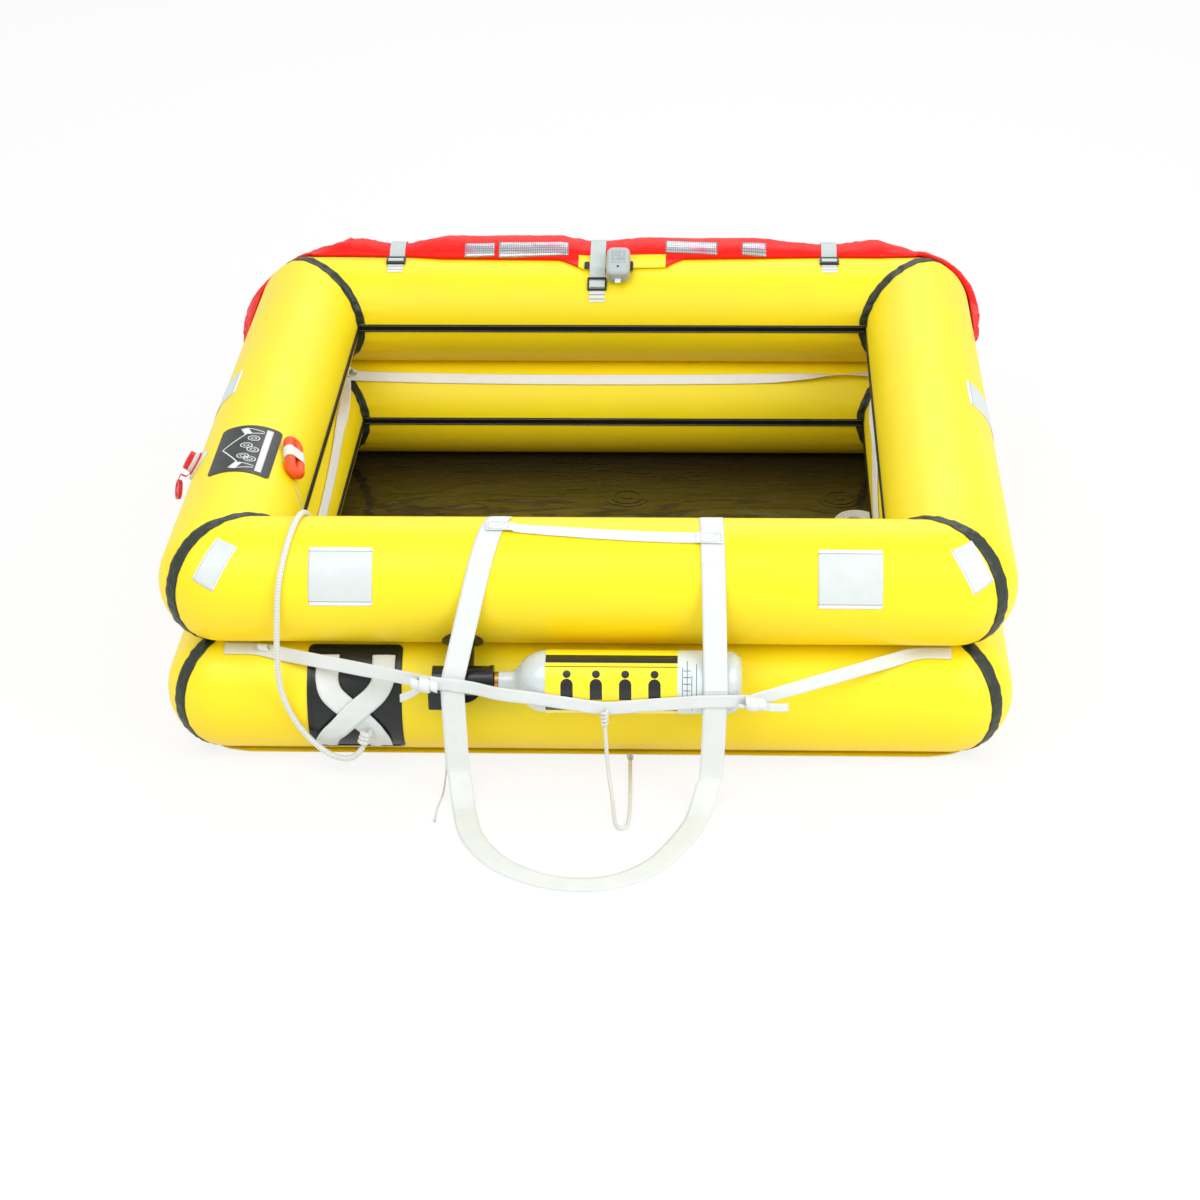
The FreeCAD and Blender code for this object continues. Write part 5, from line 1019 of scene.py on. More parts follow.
def hank_points():
    """Turns of the painter's hank, wound out and in, three layers high."""
    size = sizes()
    rope = size.painter_diameter
    half_length, end_radius = 0.105, 0.048
    run = half_length - end_radius
    inner, outer = 0.0202, 0.0422
    points = []
    for step in range(size.hank_turns * HANK_STEPS + 1):
        wound = step / HANK_STEPS
        layer = min(2, int(wound / 3))
        share = wound - 3 * layer
        if layer % 2:
            share = 3 - share
        radius = inner + (outer - inner) * min(1.0, max(0.0, (share - 0.3) / 2.4))
        climb = smooth_step((wound - 3 * layer - 2.6) / 0.4) * (layer < 2)
        level = HANK_LOW + rope / 2 + rope * 0.95 * (layer + climb)
        index = step % HANK_STEPS
        # Two half rounds of five points and two straights of two points
        if index <= 4:
            angle = math.pi + math.pi * index / 4
            x, y = radius * 1.04 * math.cos(angle), -run + radius * 1.04 * math.sin(angle)
        elif index <= 6:
            x, y = radius * 1.02, -run + 2 * run * (index - 4) / 3
        elif index <= 11:
            angle = math.pi * (index - 7) / 4
            x, y = radius * 1.04 * math.cos(angle), run + radius * 1.04 * math.sin(angle)
        else:
            x, y = -radius * 1.02, run - 2 * run * (index - 11) / 3
        points.append(hank_spot(x, y, level + HANK_LIFT * smooth_step((y - 0.01) / 0.09)))
    return points


# Operators

class RAFT_OT_stage(bpy.types.Operator):
    """Pale floor, soft studio lamps and the camera"""

    bl_idname = "liferaft.stage"
    bl_label = "Studio"

    def execute(self, context):
        studio_floor()
        studio_world()
        studio_lamps()
        photo_camera()
        context.scene.view_settings.view_transform = "Standard"
        return {"FINISHED"}


def studio_floor():
    """A wide pale floor that shows nearly white to the camera."""
    finish = Finish("studio_floor", (0.86, 0.86, 0.86), 0.75)
    output = next(node for node in finish.tree.nodes if node.type == "OUTPUT_MATERIAL")
    glow = finish.node("ShaderNodeEmission")
    glow.inputs["Color"].default_value = (1, 1, 1, 1)
    path = finish.node("ShaderNodeLightPath")
    seen = finish.sum("MAXIMUM", path.outputs["Is Camera Ray"], path.outputs["Is Glossy Ray"])
    seen = finish.sum("MAXIMUM", seen, path.outputs["Is Transmission Ray"])
    blend = finish.node("ShaderNodeMixShader")
    finish.feed(finish.sum("MULTIPLY", seen, FLOOR_GLOW), blend.inputs[0])
    finish.tree.links.new(finish.shader.outputs[0], blend.inputs[1])
    finish.tree.links.new(glow.outputs[0], blend.inputs[2])
    finish.tree.links.new(blend.outputs[0], output.inputs["Surface"])
    bpy.ops.object.select_all(action="DESELECT")
    bpy.ops.mesh.primitive_plane_add(size=60, location=(0, 0, -0.0006))
    floor = bpy.context.object
    floor.name = "studio_floor"
    floor.data.materials.append(finish.material)


def studio_world():
    """A soft sky for the light, and a plain white one where the camera looks at it."""
    world = bpy.data.worlds.new("studio")
    bpy.context.scene.world = world
    world.use_nodes = True
    tree = world.node_tree
    tree.nodes.clear()
    out = tree.nodes.new("ShaderNodeOutputWorld")
    soft = tree.nodes.new("ShaderNodeBackground")
    soft.inputs["Color"].default_value = (0.96, 0.98, 1.0, 1)
    soft.inputs["Strength"].default_value = SKY_STRENGTH
    white = tree.nodes.new("ShaderNodeBackground")
    white.inputs["Strength"].default_value = 1.0
    ray = tree.nodes.new("ShaderNodeLightPath")
    most = tree.nodes.new("ShaderNodeMath")
    most.operation = "MAXIMUM"
    tree.links.new(ray.outputs["Is Camera Ray"], most.inputs[0])
    tree.links.new(ray.outputs["Is Transmission Ray"], most.inputs[1])
    pick = tree.nodes.new("ShaderNodeMixShader")
    tree.links.new(most.outputs[0], pick.inputs[0])
    tree.links.new(soft.outputs[0], pick.inputs[1])
    tree.links.new(white.outputs[0], pick.inputs[2])
    tree.links.new(pick.outputs[0], out.inputs["Surface"])


def studio_lamps():
    """Three soft lamps: from the left, from the right and from behind."""
    for name, spot, aim, energy, wide in (
        ("key", (-1.6, -2.6, 3.6), (0.0, 0.0, 0.2), 62.0, 2.4),
        ("fill", (2.8, -2.2, 2.6), (0.1, 0.0, 0.2), 72.0, 2.6),
        ("back", (0.4, 3.0, 3.4), (0.0, 0.2, 0.3), 44.0, 2.8),
    ):
        lamp = bpy.data.lights.new(name, "AREA")
        lamp.energy = energy
        lamp.size = wide
        holder = bpy.data.objects.new(name, lamp)
        holder.location = spot
        holder.rotation_euler = (Vector(aim) - Vector(spot)).to_track_quat("-Z", "Y").to_euler()
        bpy.context.scene.collection.objects.link(holder)


def photo_camera():
    """The camera where the photographer stood."""
    yaw, pitch, roll = PHOTO_YAW, PHOTO_PITCH, PHOTO_ROLL
    ahead = Vector((math.sin(yaw) * math.cos(pitch), math.cos(yaw) * math.cos(pitch), -math.sin(pitch)))
    right = Vector((math.cos(yaw), -math.sin(yaw), 0))
    up = right.cross(ahead)
    leaned = right * math.cos(roll) + up * math.sin(roll)
    upright = up * math.cos(roll) - right * math.sin(roll)
    camera = bpy.data.cameras.new("photo_view")
    camera.lens = PHOTO_LENS
    camera.sensor_width = 36.0
    camera.clip_start = 0.1
    camera.clip_end = 100.0
    holder = bpy.data.objects.new("photo_view", camera)
    turn = Matrix((leaned, upright, -ahead)).transposed()
    holder.matrix_world = Matrix.Translation(PHOTO_SPOT) @ turn.to_4x4()
    bpy.context.scene.collection.objects.link(holder)
    bpy.context.scene.camera = holder


class RAFT_OT_painter(bpy.types.Operator):
    """Braided painter from the towing bridle over the front tube to its hank"""

    bl_idname = "liferaft.painter"
    bl_label = "Painter"

    def execute(self, context):
        size = sizes()
        material = rope_fabric("painter_braid", colours().rope, 4, 0.011)
        rise = size.painter_diameter / 2 + 0.004
        points = [Vector(spot) for spot in PAINTER_OUTSIDE]
        points += [tube_spot("front", size.high_tube, along, angle, rise) for along, angle in PAINTER_OVER]
        points += [Vector(spot) for spot in PAINTER_INSIDE]
        points += hank_points()
        laid_cord(
            "painter", ("painter_rope", "painter_hank"), points, size.painter_diameter, 6, 16, material,
            [("painter_knot", points[0] + Vector((0, 0, 0.010)), (0.3, 0, 1), 0.034, 0.024, 0.0095)],
            extras=[hank_tie], far_end="knot", lay="loose",
        )
        return {"FINISHED"}


def hank_tie(material):
    """Two turns of the rope's end round the middle of its hank."""
    wide, tall, thick = 0.0485 + 0.004, 0.034, 0.0060
    steps = 16
    points = []
    for step in range(2 * steps + 1):
        angle = math.tau * step / steps
        x = wide * math.copysign(abs(math.cos(angle)) ** 0.4, math.cos(angle))
        rise = math.copysign(abs(math.sin(angle)) ** 0.4, math.sin(angle))
        z = HANK_LOW + tall / 2 + (tall / 2 - thick * 0.2) * rise
        points.append(hank_spot(x, 0.002 + thick * step / steps, max(z, HANK_LOW + thick * 0.5)))
    return tube_along("hank_tie", rope_line(points, 3), thick / 2, 12, material)


class RAFT_OT_small_cords(bpy.types.Operator):
    """Lanyard at the gas cylinder, firing cord and the quoit's throwing line"""

    bl_idname = "liferaft.small_cords"
    bl_label = "Small cords"

    def execute(self, context):
        rope = rope_fabric("lanyard_braid", colours().rope, 3, 0.008)
        thin = rope_fabric("thin_braid", colours().rope, 2, 0.004)
        self.lanyard(rope)
        self.firing(thin)
        self.throwing(thin)
        return {"FINISHED"}

    def lanyard(self, material):
        """The middle lanyard, from the outer lifeline down to the floor and back under the tube."""
        front = -0.8346
        points = [
            (0.038, front - 0.008, 0.152), (0.039, front - 0.010, 0.120), (0.041, front - 0.012, 0.084),
            (0.044, front - 0.015, 0.048), (0.049, front - 0.026, 0.018), (0.053, front - 0.056, 0.0052),
            (0.058, front - 0.116, 0.0052), (0.079, front - 0.116, 0.0052), (0.081, front - 0.054, 0.0052),
            (0.080, front + 0.006, 0.0052), (0.078, front + 0.064, 0.0052), (0.076, front + 0.120, 0.0052),
        ]
        laid_cord(
            "lanyard", ("middle_lanyard",), points, sizes().lanyard_diameter, 10, 14, material,
            [
                ("lanyard_knot", Vector((0.038, front - 0.010, 0.160)), (0, 0, 1), 0.034, 0.0145, 0.0062),
                ("lanyard_end", Vector(points[-1]) + Vector((0, 0.004, 0.0012)), (-0.1, 1, 0),
                 0.016, 0.0120, 0.0058),
            ],
            far_end="knot", lay="hanging",
        )

    def firing(self, material):
        """The firing cord, from the lever of the operating head to the floor."""
        lever_x = -0.242
        axis_y = BOTTLE[0]
        low = BOTTLE[1] - 0.0507
        points = [
            (lever_x, axis_y, low), (lever_x, axis_y - 0.001, low - 0.024),
            (lever_x, axis_y - 0.002, low - 0.056), (lever_x, axis_y - 0.004, low - 0.090),
            (lever_x - 0.001, axis_y - 0.014, low - 0.123), (lever_x - 0.003, axis_y - 0.042, 0.0022),
            (lever_x - 0.006, axis_y - 0.080, 0.0022), (lever_x - 0.011, axis_y - 0.118, 0.0022),
            (lever_x - 0.010, axis_y - 0.150, 0.0022),
        ]
        laid_cord(
            "firing_line", ("firing_cord",), points, sizes().firing_cord_diameter, 10, 10, material,
            [
                ("firing_knot", Vector(points[0]) + Vector((0, 0, -0.005)), (0, 0, 1),
                 0.010, 0.0062, 0.0027),
                ("firing_end", Vector(points[-1]) + Vector((0.0, 0.004, 0.001)), (0, 1, 0),
                 0.009, 0.0060, 0.0026),
            ],
            far_end="knot", lay="hanging",
        )

    def throwing(self, material):
        """The quoit's line, from its band over the inner face of both tubes."""
        size = sizes()
        rise = size.quoit_line_diameter / 2 + 0.0009
        over = ((0.376, 152), (0.384, 164), (0.392, 174))
        line = [tube_spot("left", size.high_tube, along, angle, rise) for along, angle in over]
        inside = line[-1].x + 0.006
        line += [
            Vector((inside, -0.400, 0.318)), Vector((inside, -0.406, 0.290)),
            Vector((inside, -0.411, 0.256)), Vector((inside - 0.004, -0.414, 0.226)),
        ]
        below = ((0.416, 137), (0.417, 128))
        line += [tube_spot("left", size.low_tube, along, angle, rise + 0.0026) for along, angle in below]
        laid_cord(
            "throwing_line", ("quoit_line",), line, size.quoit_line_diameter, 10, 8, material, [],
            far_end="object", lay="hanging",
        )


class RAFT_OT_tubes(bpy.types.Operator):
    """Both buoyancy tubes in coated fabric, gathered a little at their corner seams"""

    bl_idname = "liferaft.tubes"
    bl_label = "Buoyancy tubes"

    def execute(self, context):
        size = sizes()
        # paint(255, 214, 14) is the painted shade colour for the tubes' faces that look down
        fabric = coated_fabric("tube_fabric", colours().tube, paint(255, 214, 14))
        tube_piece("lower_tube_skin", size.low_tube, fabric)
        tube_piece("upper_tube_skin", size.high_tube, fabric)
        return {"FINISHED"}


class RAFT_OT_seams(bpy.types.Operator):
    """Tape over the corner seams and the stitched strips inside"""

    bl_idname = "liferaft.seams"
    bl_label = "Seams"

    def execute(self, context):
        size = sizes()
        material = tape_fabric()
        tape_piece("lower_tapes", size.low_tube, "lower_corner_tapes", material)
        tape_piece("upper_tapes", size.high_tube, "upper_corner_tapes", material)
        strip = stitched_strip()
        dress("lower_seam_strip", strip)
        dress("upper_seam_strip", strip)
        return {"FINISHED"}


class RAFT_OT_floor(bpy.types.Operator):
    """Floor sheet with low wrinkles, and its round reinforcements"""

    bl_idname = "liferaft.floor"
    bl_label = "Floor"

    def execute(self, context):
        size = sizes()
        half = size.half_span + 0.050
        hem = size.half_span + 0.014
        corner = 0.085
        steps = 150
        material = floor_coating()
        noise.seed_set(WRINKLE_SEED)
        rows = []
        for row in range(steps + 1):
            line = []
            y = -half + 2 * half * row / steps
            inset = 0.0
            edge = half - abs(y)
            if edge < corner:
                inset = corner - math.sqrt(max(0.0, corner ** 2 - (corner - edge) ** 2))
            for column in range(steps + 1):
                x = (-1 + 2 * column / steps) * (half - inset)
                line.append(Vector((x, y, size.floor_thickness + floor_wrinkle(x, y))))
            rows.append(line)
        scale = between(0.0, 2 * half, steps)
        sheet = lofted("floor_cloth", rows, scale, scale, material)
        # The hem's fabric carries the painted shade yellow on its faces that look down
        sheet.data.materials.append(coated_fabric("floor_hem_fabric", colours().tube, PAINTED_SHADE_YELLOW))
        for face in sheet.data.polygons:
            if max(abs(face.center.x), abs(face.center.y)) > hem:
                face.material_index = 1
        thicken(sheet, 0.0019)
        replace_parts(sheet, "floor_sheet")
        dress("floor_discs", material)
        return {"FINISHED"}


def floor_wrinkle(x, y):
    """Height of the floor's wrinkles, which stay clear of the tubes, discs and ropes."""
    size = sizes()
    reach = size.half_span - size.tube_radius * 0.66 - max(abs(x), abs(y))
    if reach <= 0:
        return 0.0
    calm = smooth_step(reach / 0.10)
    for disc_x in (0.035, 0.479):
        calm *= smooth_step((math.hypot(x - disc_x, y - 0.381) - 0.050) / 0.05)
    calm *= 0.25 + 0.75 * smooth_step((y + 0.36) / 0.10)
    calm *= 1 - 0.85 * smooth_step((x - 0.30) / 0.08) * smooth_step((0.32 - y) / 0.05)
    wander = 0.5 * noise.noise_vector(Vector((x * 4.0, y * 4.0, 5.0)))
    crest = 1 - abs(noise.noise(Vector((x * 3.4, y * 9.0, 1.0)) + wander)) * 2.2
    small = 1 - abs(noise.noise(Vector((x * 9.0, y * 24.0, 7.0)))) * 2.2
    return size.floor_wrinkle * calm * max(0.0, 0.7 * crest ** 3 + 0.3 * max(small, 0.0) ** 3)


class RAFT_OT_patches(bpy.types.Operator):
    """Reflective patches, the towing patch and the sign plate with its plain picture"""

    bl_idname = "liferaft.patches"
    bl_label = "Patches"

    def execute(self, context):
        material = reflective_patch("reflective_patch")
        pieces = []
        for side, along in (("front", -0.418), ("front", 0.456), ("left", -0.030), ("right", -0.010)):
            pieces.append(tube_patch("patch" + str(len(pieces)), side, along, material))
        patches = join_pieces("reflectors", pieces)
        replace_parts(patches, "reflective_patches")
        corner_reflectors(reflective_patch("corner_reflective_patch", True))
        dark = dark_patch()
        dress("tow_patch", dark)
        dress("sign_plate", dark)
        sign_picture()
        return {"FINISHED"}


def corner_reflectors(material):
    """Small leaning patches on the front corners, wrapped over the round of the corner."""
    size = sizes()
    wide, tall = 0.042, 0.088
    steps, columns = 16, 10
    pieces = []
    for along, lean in ((-0.636, -27.0), (0.664, 27.0)):
        rows = []
        tilt = math.radians(lean)
        hand = math.copysign(1.0, along)
        for step in range(steps + 1):
            v = tall * step / steps - tall / 2
            row = []
            for column in range(columns + 1):
                u = wide * column / columns - wide / 2
                place = along + u * math.cos(tilt) - v * math.sin(tilt)
                climb = u * math.sin(tilt) + v * math.cos(tilt)
                angle = 40.0 + math.degrees(climb / size.tube_radius)
                turn = math.radians(angle)
                ripple = 0.0003 * noise.noise(Vector((u * 80, v * 80, along * 5)))
                reach = size.tube_radius + 0.0013 + ripple
                flat = reach * math.cos(turn)
                bend = max(0.0, abs(place) - size.half_span) / (size.tube_radius * math.cos(turn))
                x = hand * (min(abs(place), size.half_span) + flat * math.sin(bend))
                y = -size.half_span - flat * math.cos(bend)
                row.append(Vector((x, y, size.high_tube + reach * math.sin(turn))))
            rows.append(row)
        upwards, across = between(0.0, 1.0, steps), between(0.0, 1.0, columns)
        piece = lofted("corner_patch" + str(len(pieces)), rows, upwards, across, material)
        recalculate_out_of_tube(piece, size.high_tube)
        pieces.append(thicken(piece, 0.001))
    join_pieces("corner_reflectors", pieces)


def sign_picture():
    """White house-shaped arrow, bar and rings on the sign plate, as a plain picture of a raft."""
    size = sizes()
    ink = Finish("sign_print", paint(232, 236, 232), 0.4)
    ink.shade(ink.noise(200.0, 3.0), 0.9, 1.02)
    ink.bump(ink.noise(900.0, 2.0), 0.0001, 0.3)
    low, high = 62.0, 122.0
    middle, long = 0.330, 0.204
    tall = math.radians(high - low) * size.tube_radius
    pieces = []

    def spot(u, v):
        """u runs from 0 to 1 along the plate, v from 0 outside to 1 inside."""
        along = middle + long / 2 - long * u
        return tube_spot("left", size.high_tube, along, low + (high - low) * v, 0.0016)

    def stroke(points, width):
        """A painted line through points of the plate, in strips narrow enough to follow its curve."""
        rows = []
        sides = between(1.0, -1.0, max(1, round(width / 0.004)))
        rich = []
        for (u0, v0), (u1, v1) in zip(points, points[1:]):
            count = max(1, int(math.hypot((u1 - u0) * long, (v1 - v0) * tall) / 0.005))
            rich += [(u0 + (u1 - u0) * k / count, v0 + (v1 - v0) * k / count) for k in range(count)]
        rich.append(points[-1])
        for index, (u, v) in enumerate(rich):
            before = rich[max(index - 1, 0)]
            after = rich[min(index + 1, len(rich) - 1)]
            du, dv = (after[0] - before[0]) * long, (after[1] - before[1]) * tall
            step_length = math.hypot(du, dv) or 1.0
            nu, nv = -dv / step_length * width / 2, du / step_length * width / 2
            rows.append([spot(u + nu * side / long, v + nv * side / tall) for side in sides])
        across = [0.5 - side / 2 for side in sides]
        along = between(0.0, 1.0, len(rows) - 1)
        piece = lofted("ink" + str(len(pieces)), rows, along, across, ink.material)
        recalculate_out_of_tube(piece, size.high_tube)
        pieces.append(thicken(piece, 0.0003))

    stroke([(0.06, 0.80), (0.94, 0.80)], 0.0125)
    stroke([(0.80, 0.44), (0.50, 0.13), (0.20, 0.44)], 0.0026)
    for top, hand in ((0.93, 1), (0.07, -1)):
        stroke([(top, 0.38), (top - 0.12 * hand, 0.47)], 0.014)
        stroke([(top - 0.12 * hand, 0.47), (top - 0.08 * hand, 0.72)], 0.0024)
        stroke([(top, 0.44), (top - 0.05 * hand, 0.72)], 0.0024)
    for u, v in ((0.72, 0.58), (0.56, 0.50), (0.48, 0.62), (0.33, 0.50), (0.28, 0.62)):
        for radius, width in ((0.0105, 0.0020), (0.0048, 0.0016)):
            ring = []
            for step in range(21):
                turn = math.tau * step / 20
                ring.append((u + radius / long * math.cos(turn), v + radius / tall * math.sin(turn)))
            stroke(ring, width)
    join_pieces("sign_picture", pieces)


def boarding_leg(top_along, middle_along, low_along, contact, foot):
    """Stations of one leg: over the upper tube, down past the gas cylinder to the floor."""
    size = sizes()
    lift = 0.0006
    top_angle = 104.0
    tube = size.tube_radius + SKIN_GAP
    drop = size.high_tube - BOTTLE[1]
    out = -size.half_span - BOTTLE[0]
    leave = math.degrees(math.acos((tube - contact) / math.hypot(out, drop)) - math.atan2(drop, out))
    stations = []
    for angle in between(top_angle, leave, 7):
        share = (top_angle - angle) / top_angle
        along = top_along + (middle_along - top_along) * share
        stations.append(tube_station("front", size.high_tube, along, angle, SKIN_GAP + lift))
    for angle in between(leave, 0.0, 2):
        turn = math.radians(angle)
        normal = Vector((0, -math.cos(turn), math.sin(turn)))
        spot = Vector((low_along, *BOTTLE)) + normal * (contact + lift)
        stations.append((spot, Vector((1, 0, 0)), normal))
    front_y = stations[-1][0].y
    bend = 0.080
    for angle in between(0.0, 90.0, 5)[1:]:
        turn = math.radians(angle)
        x = low_along + (foot - low_along) * angle / 90.0
        y = front_y - bend + bend * math.cos(turn)
        z = bend + ON_FLOOR - bend * math.sin(turn)
        stations.append((Vector((x, y, z)), Vector((1, 0, 0)), Vector((0, -math.cos(turn), math.sin(turn)))))
    return stations


BOARDING_LOOP = [
    (-0.190, -0.958), (-0.170, -1.006), (-0.140, -1.052), (-0.100, -1.088), (-0.053, -1.113), (0.0, -1.123),
    (0.050, -1.117), (0.096, -1.092), (0.133, -1.054), (0.160, -1.006), (0.181, -0.958),
]


class RAFT_OT_boarding(bpy.types.Operator):
    """Boarding strap with its loop on the floor, and the rung between its legs"""

    bl_idname = "liferaft.boarding"
    bl_label = "Boarding strap"

    def execute(self, context):
        material = webbing_fabric("boarding_webbing", colours().webbing)
        self.strap(material)
        self.rung(material)
        return {"FINISHED"}

    def strap(self, material):
        """Both legs and the loop between them, as one webbing."""
        left = boarding_leg(
            top_along=-0.149, middle_along=-0.196, low_along=-0.224, contact=HEAD_RADIUS, foot=-0.203,
        )
        right = boarding_leg(
            top_along=0.217, middle_along=0.225, low_along=0.227,
            contact=BOTTLE_RADIUS + SKIN_GAP, foot=0.195,
        )
        loop = [Vector((x, y, ON_FLOOR)) for x, y in BOARDING_LOOP]
        floor = []
        for index, spot in enumerate(loop):
            before = loop[index - 1] if index > 0 else left[-1][0]
            after = loop[index + 1] if index < len(loop) - 1 else right[-1][0]
            way = (after - before).normalized()
            floor.append((spot, Vector((0, 0, 1)).cross(way), Vector((0, 0, 1))))
        stations = left + floor + [(spot, across * -1, out) for spot, across, out in reversed(right)]
        steady = []
        last = stations[0][1]
        for spot, across, out in stations:
            if across.dot(last) < 0:
                across = across * -1
            steady.append((spot, across, out))
            last = across
        strap = webbing_piece(
            "boarding_web", steady, sizes().boarding_width, STRAP_THICKNESS, material,
            crumple=0.0010, seed=2.0,
        )
        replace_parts(strap, "boarding_strap")

    def rung(self, material):
        """The webbing between the legs on the upper tube, and its stitches."""
        size = sizes()
        low = 0.0008
        over = low + STRAP_THICKNESS + 0.0022
        half = size.boarding_width / 2
        rows = [
            (-0.150 - half, 80.0, over), (-0.149 + half, 80.0, over),
            (-0.112, 79.0, low), (-0.020, 74.0, low), (0.080, 70.0, low), (0.178, 68.0, low),
            (0.217 - half, 67.0, over), (0.217 + half, 66.0, over),
        ]
        stations = [tube_station("front", size.high_tube, x, angle, rise, 0.0) for x, angle, rise in rows]
        rung = webbing_piece(
            "rung_web", stations, 0.024, LINE_THICKNESS, material, steps=10, crumple=0.0009, seed=5.0,
        )
        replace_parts(rung, "boarding_rung")
        lines = []
        for along, angle in ((-0.1495, 80.0), (0.217, 66.5)):
            wide, turn = 0.017, math.degrees(0.0085 / size.tube_radius)
            corners = [
                (-wide, -turn), (wide, -turn), (wide, turn), (-wide, turn), (-wide, -turn), (wide, turn),
            ]
            rise = over + LINE_THICKNESS + 0.0012
            out = tube_ways("front", angle)[2]
            lines.append([
                (tube_spot("front", size.high_tube, along + x, angle + share, rise), out)
                for x, share in corners
            ])
        thread = Finish("thread", paint(150, 154, 150), 0.6)
        thread.shade(thread.noise(400.0, 3.0), 0.8, 1.0)
        stitches("rung_stitches", lines, thread.material)


def facing(x, y, z, lean=0.0):
    """A webbing station that faces the boarding side."""
    turn = math.radians(lean)
    across = Vector((0, math.sin(turn), math.cos(turn)))
    return Vector((x, y, z)), across, Vector((0, -math.cos(turn), math.sin(turn)))


def webbing_knot(name, middle, way, length, thickness, width, material, seed):
    """A pulled-tight knot in webbing: crumpled turns round its own line."""
    way = Vector(way).normalized()
    side = way.orthogonal().normalized()
    other = way.cross(side)
    stations = []
    steps = 30
    for step in range(steps + 1):
        share = step / steps
        angle = math.tau * 2.3 * share + seed
        reach = (thickness / 2 - 0.002) * (0.55 + 0.45 * math.sin(math.pi * share) ** 0.6)
        out = side * math.cos(angle) + other * math.sin(angle)
        spot = middle + way * ((share - 0.5) * (length - width * 0.55)) + out * reach
        tilt = 0.35 * math.sin(angle * 1.7 + seed)
        across = (way + (way.cross(out)) * tilt).normalized()
        stations.append((spot, across, out))
    return webbing_piece(
        name, stations, width, STRAP_THICKNESS, material, steps=3, crumple=0.0016, curl=-0.0012, seed=seed,
    )


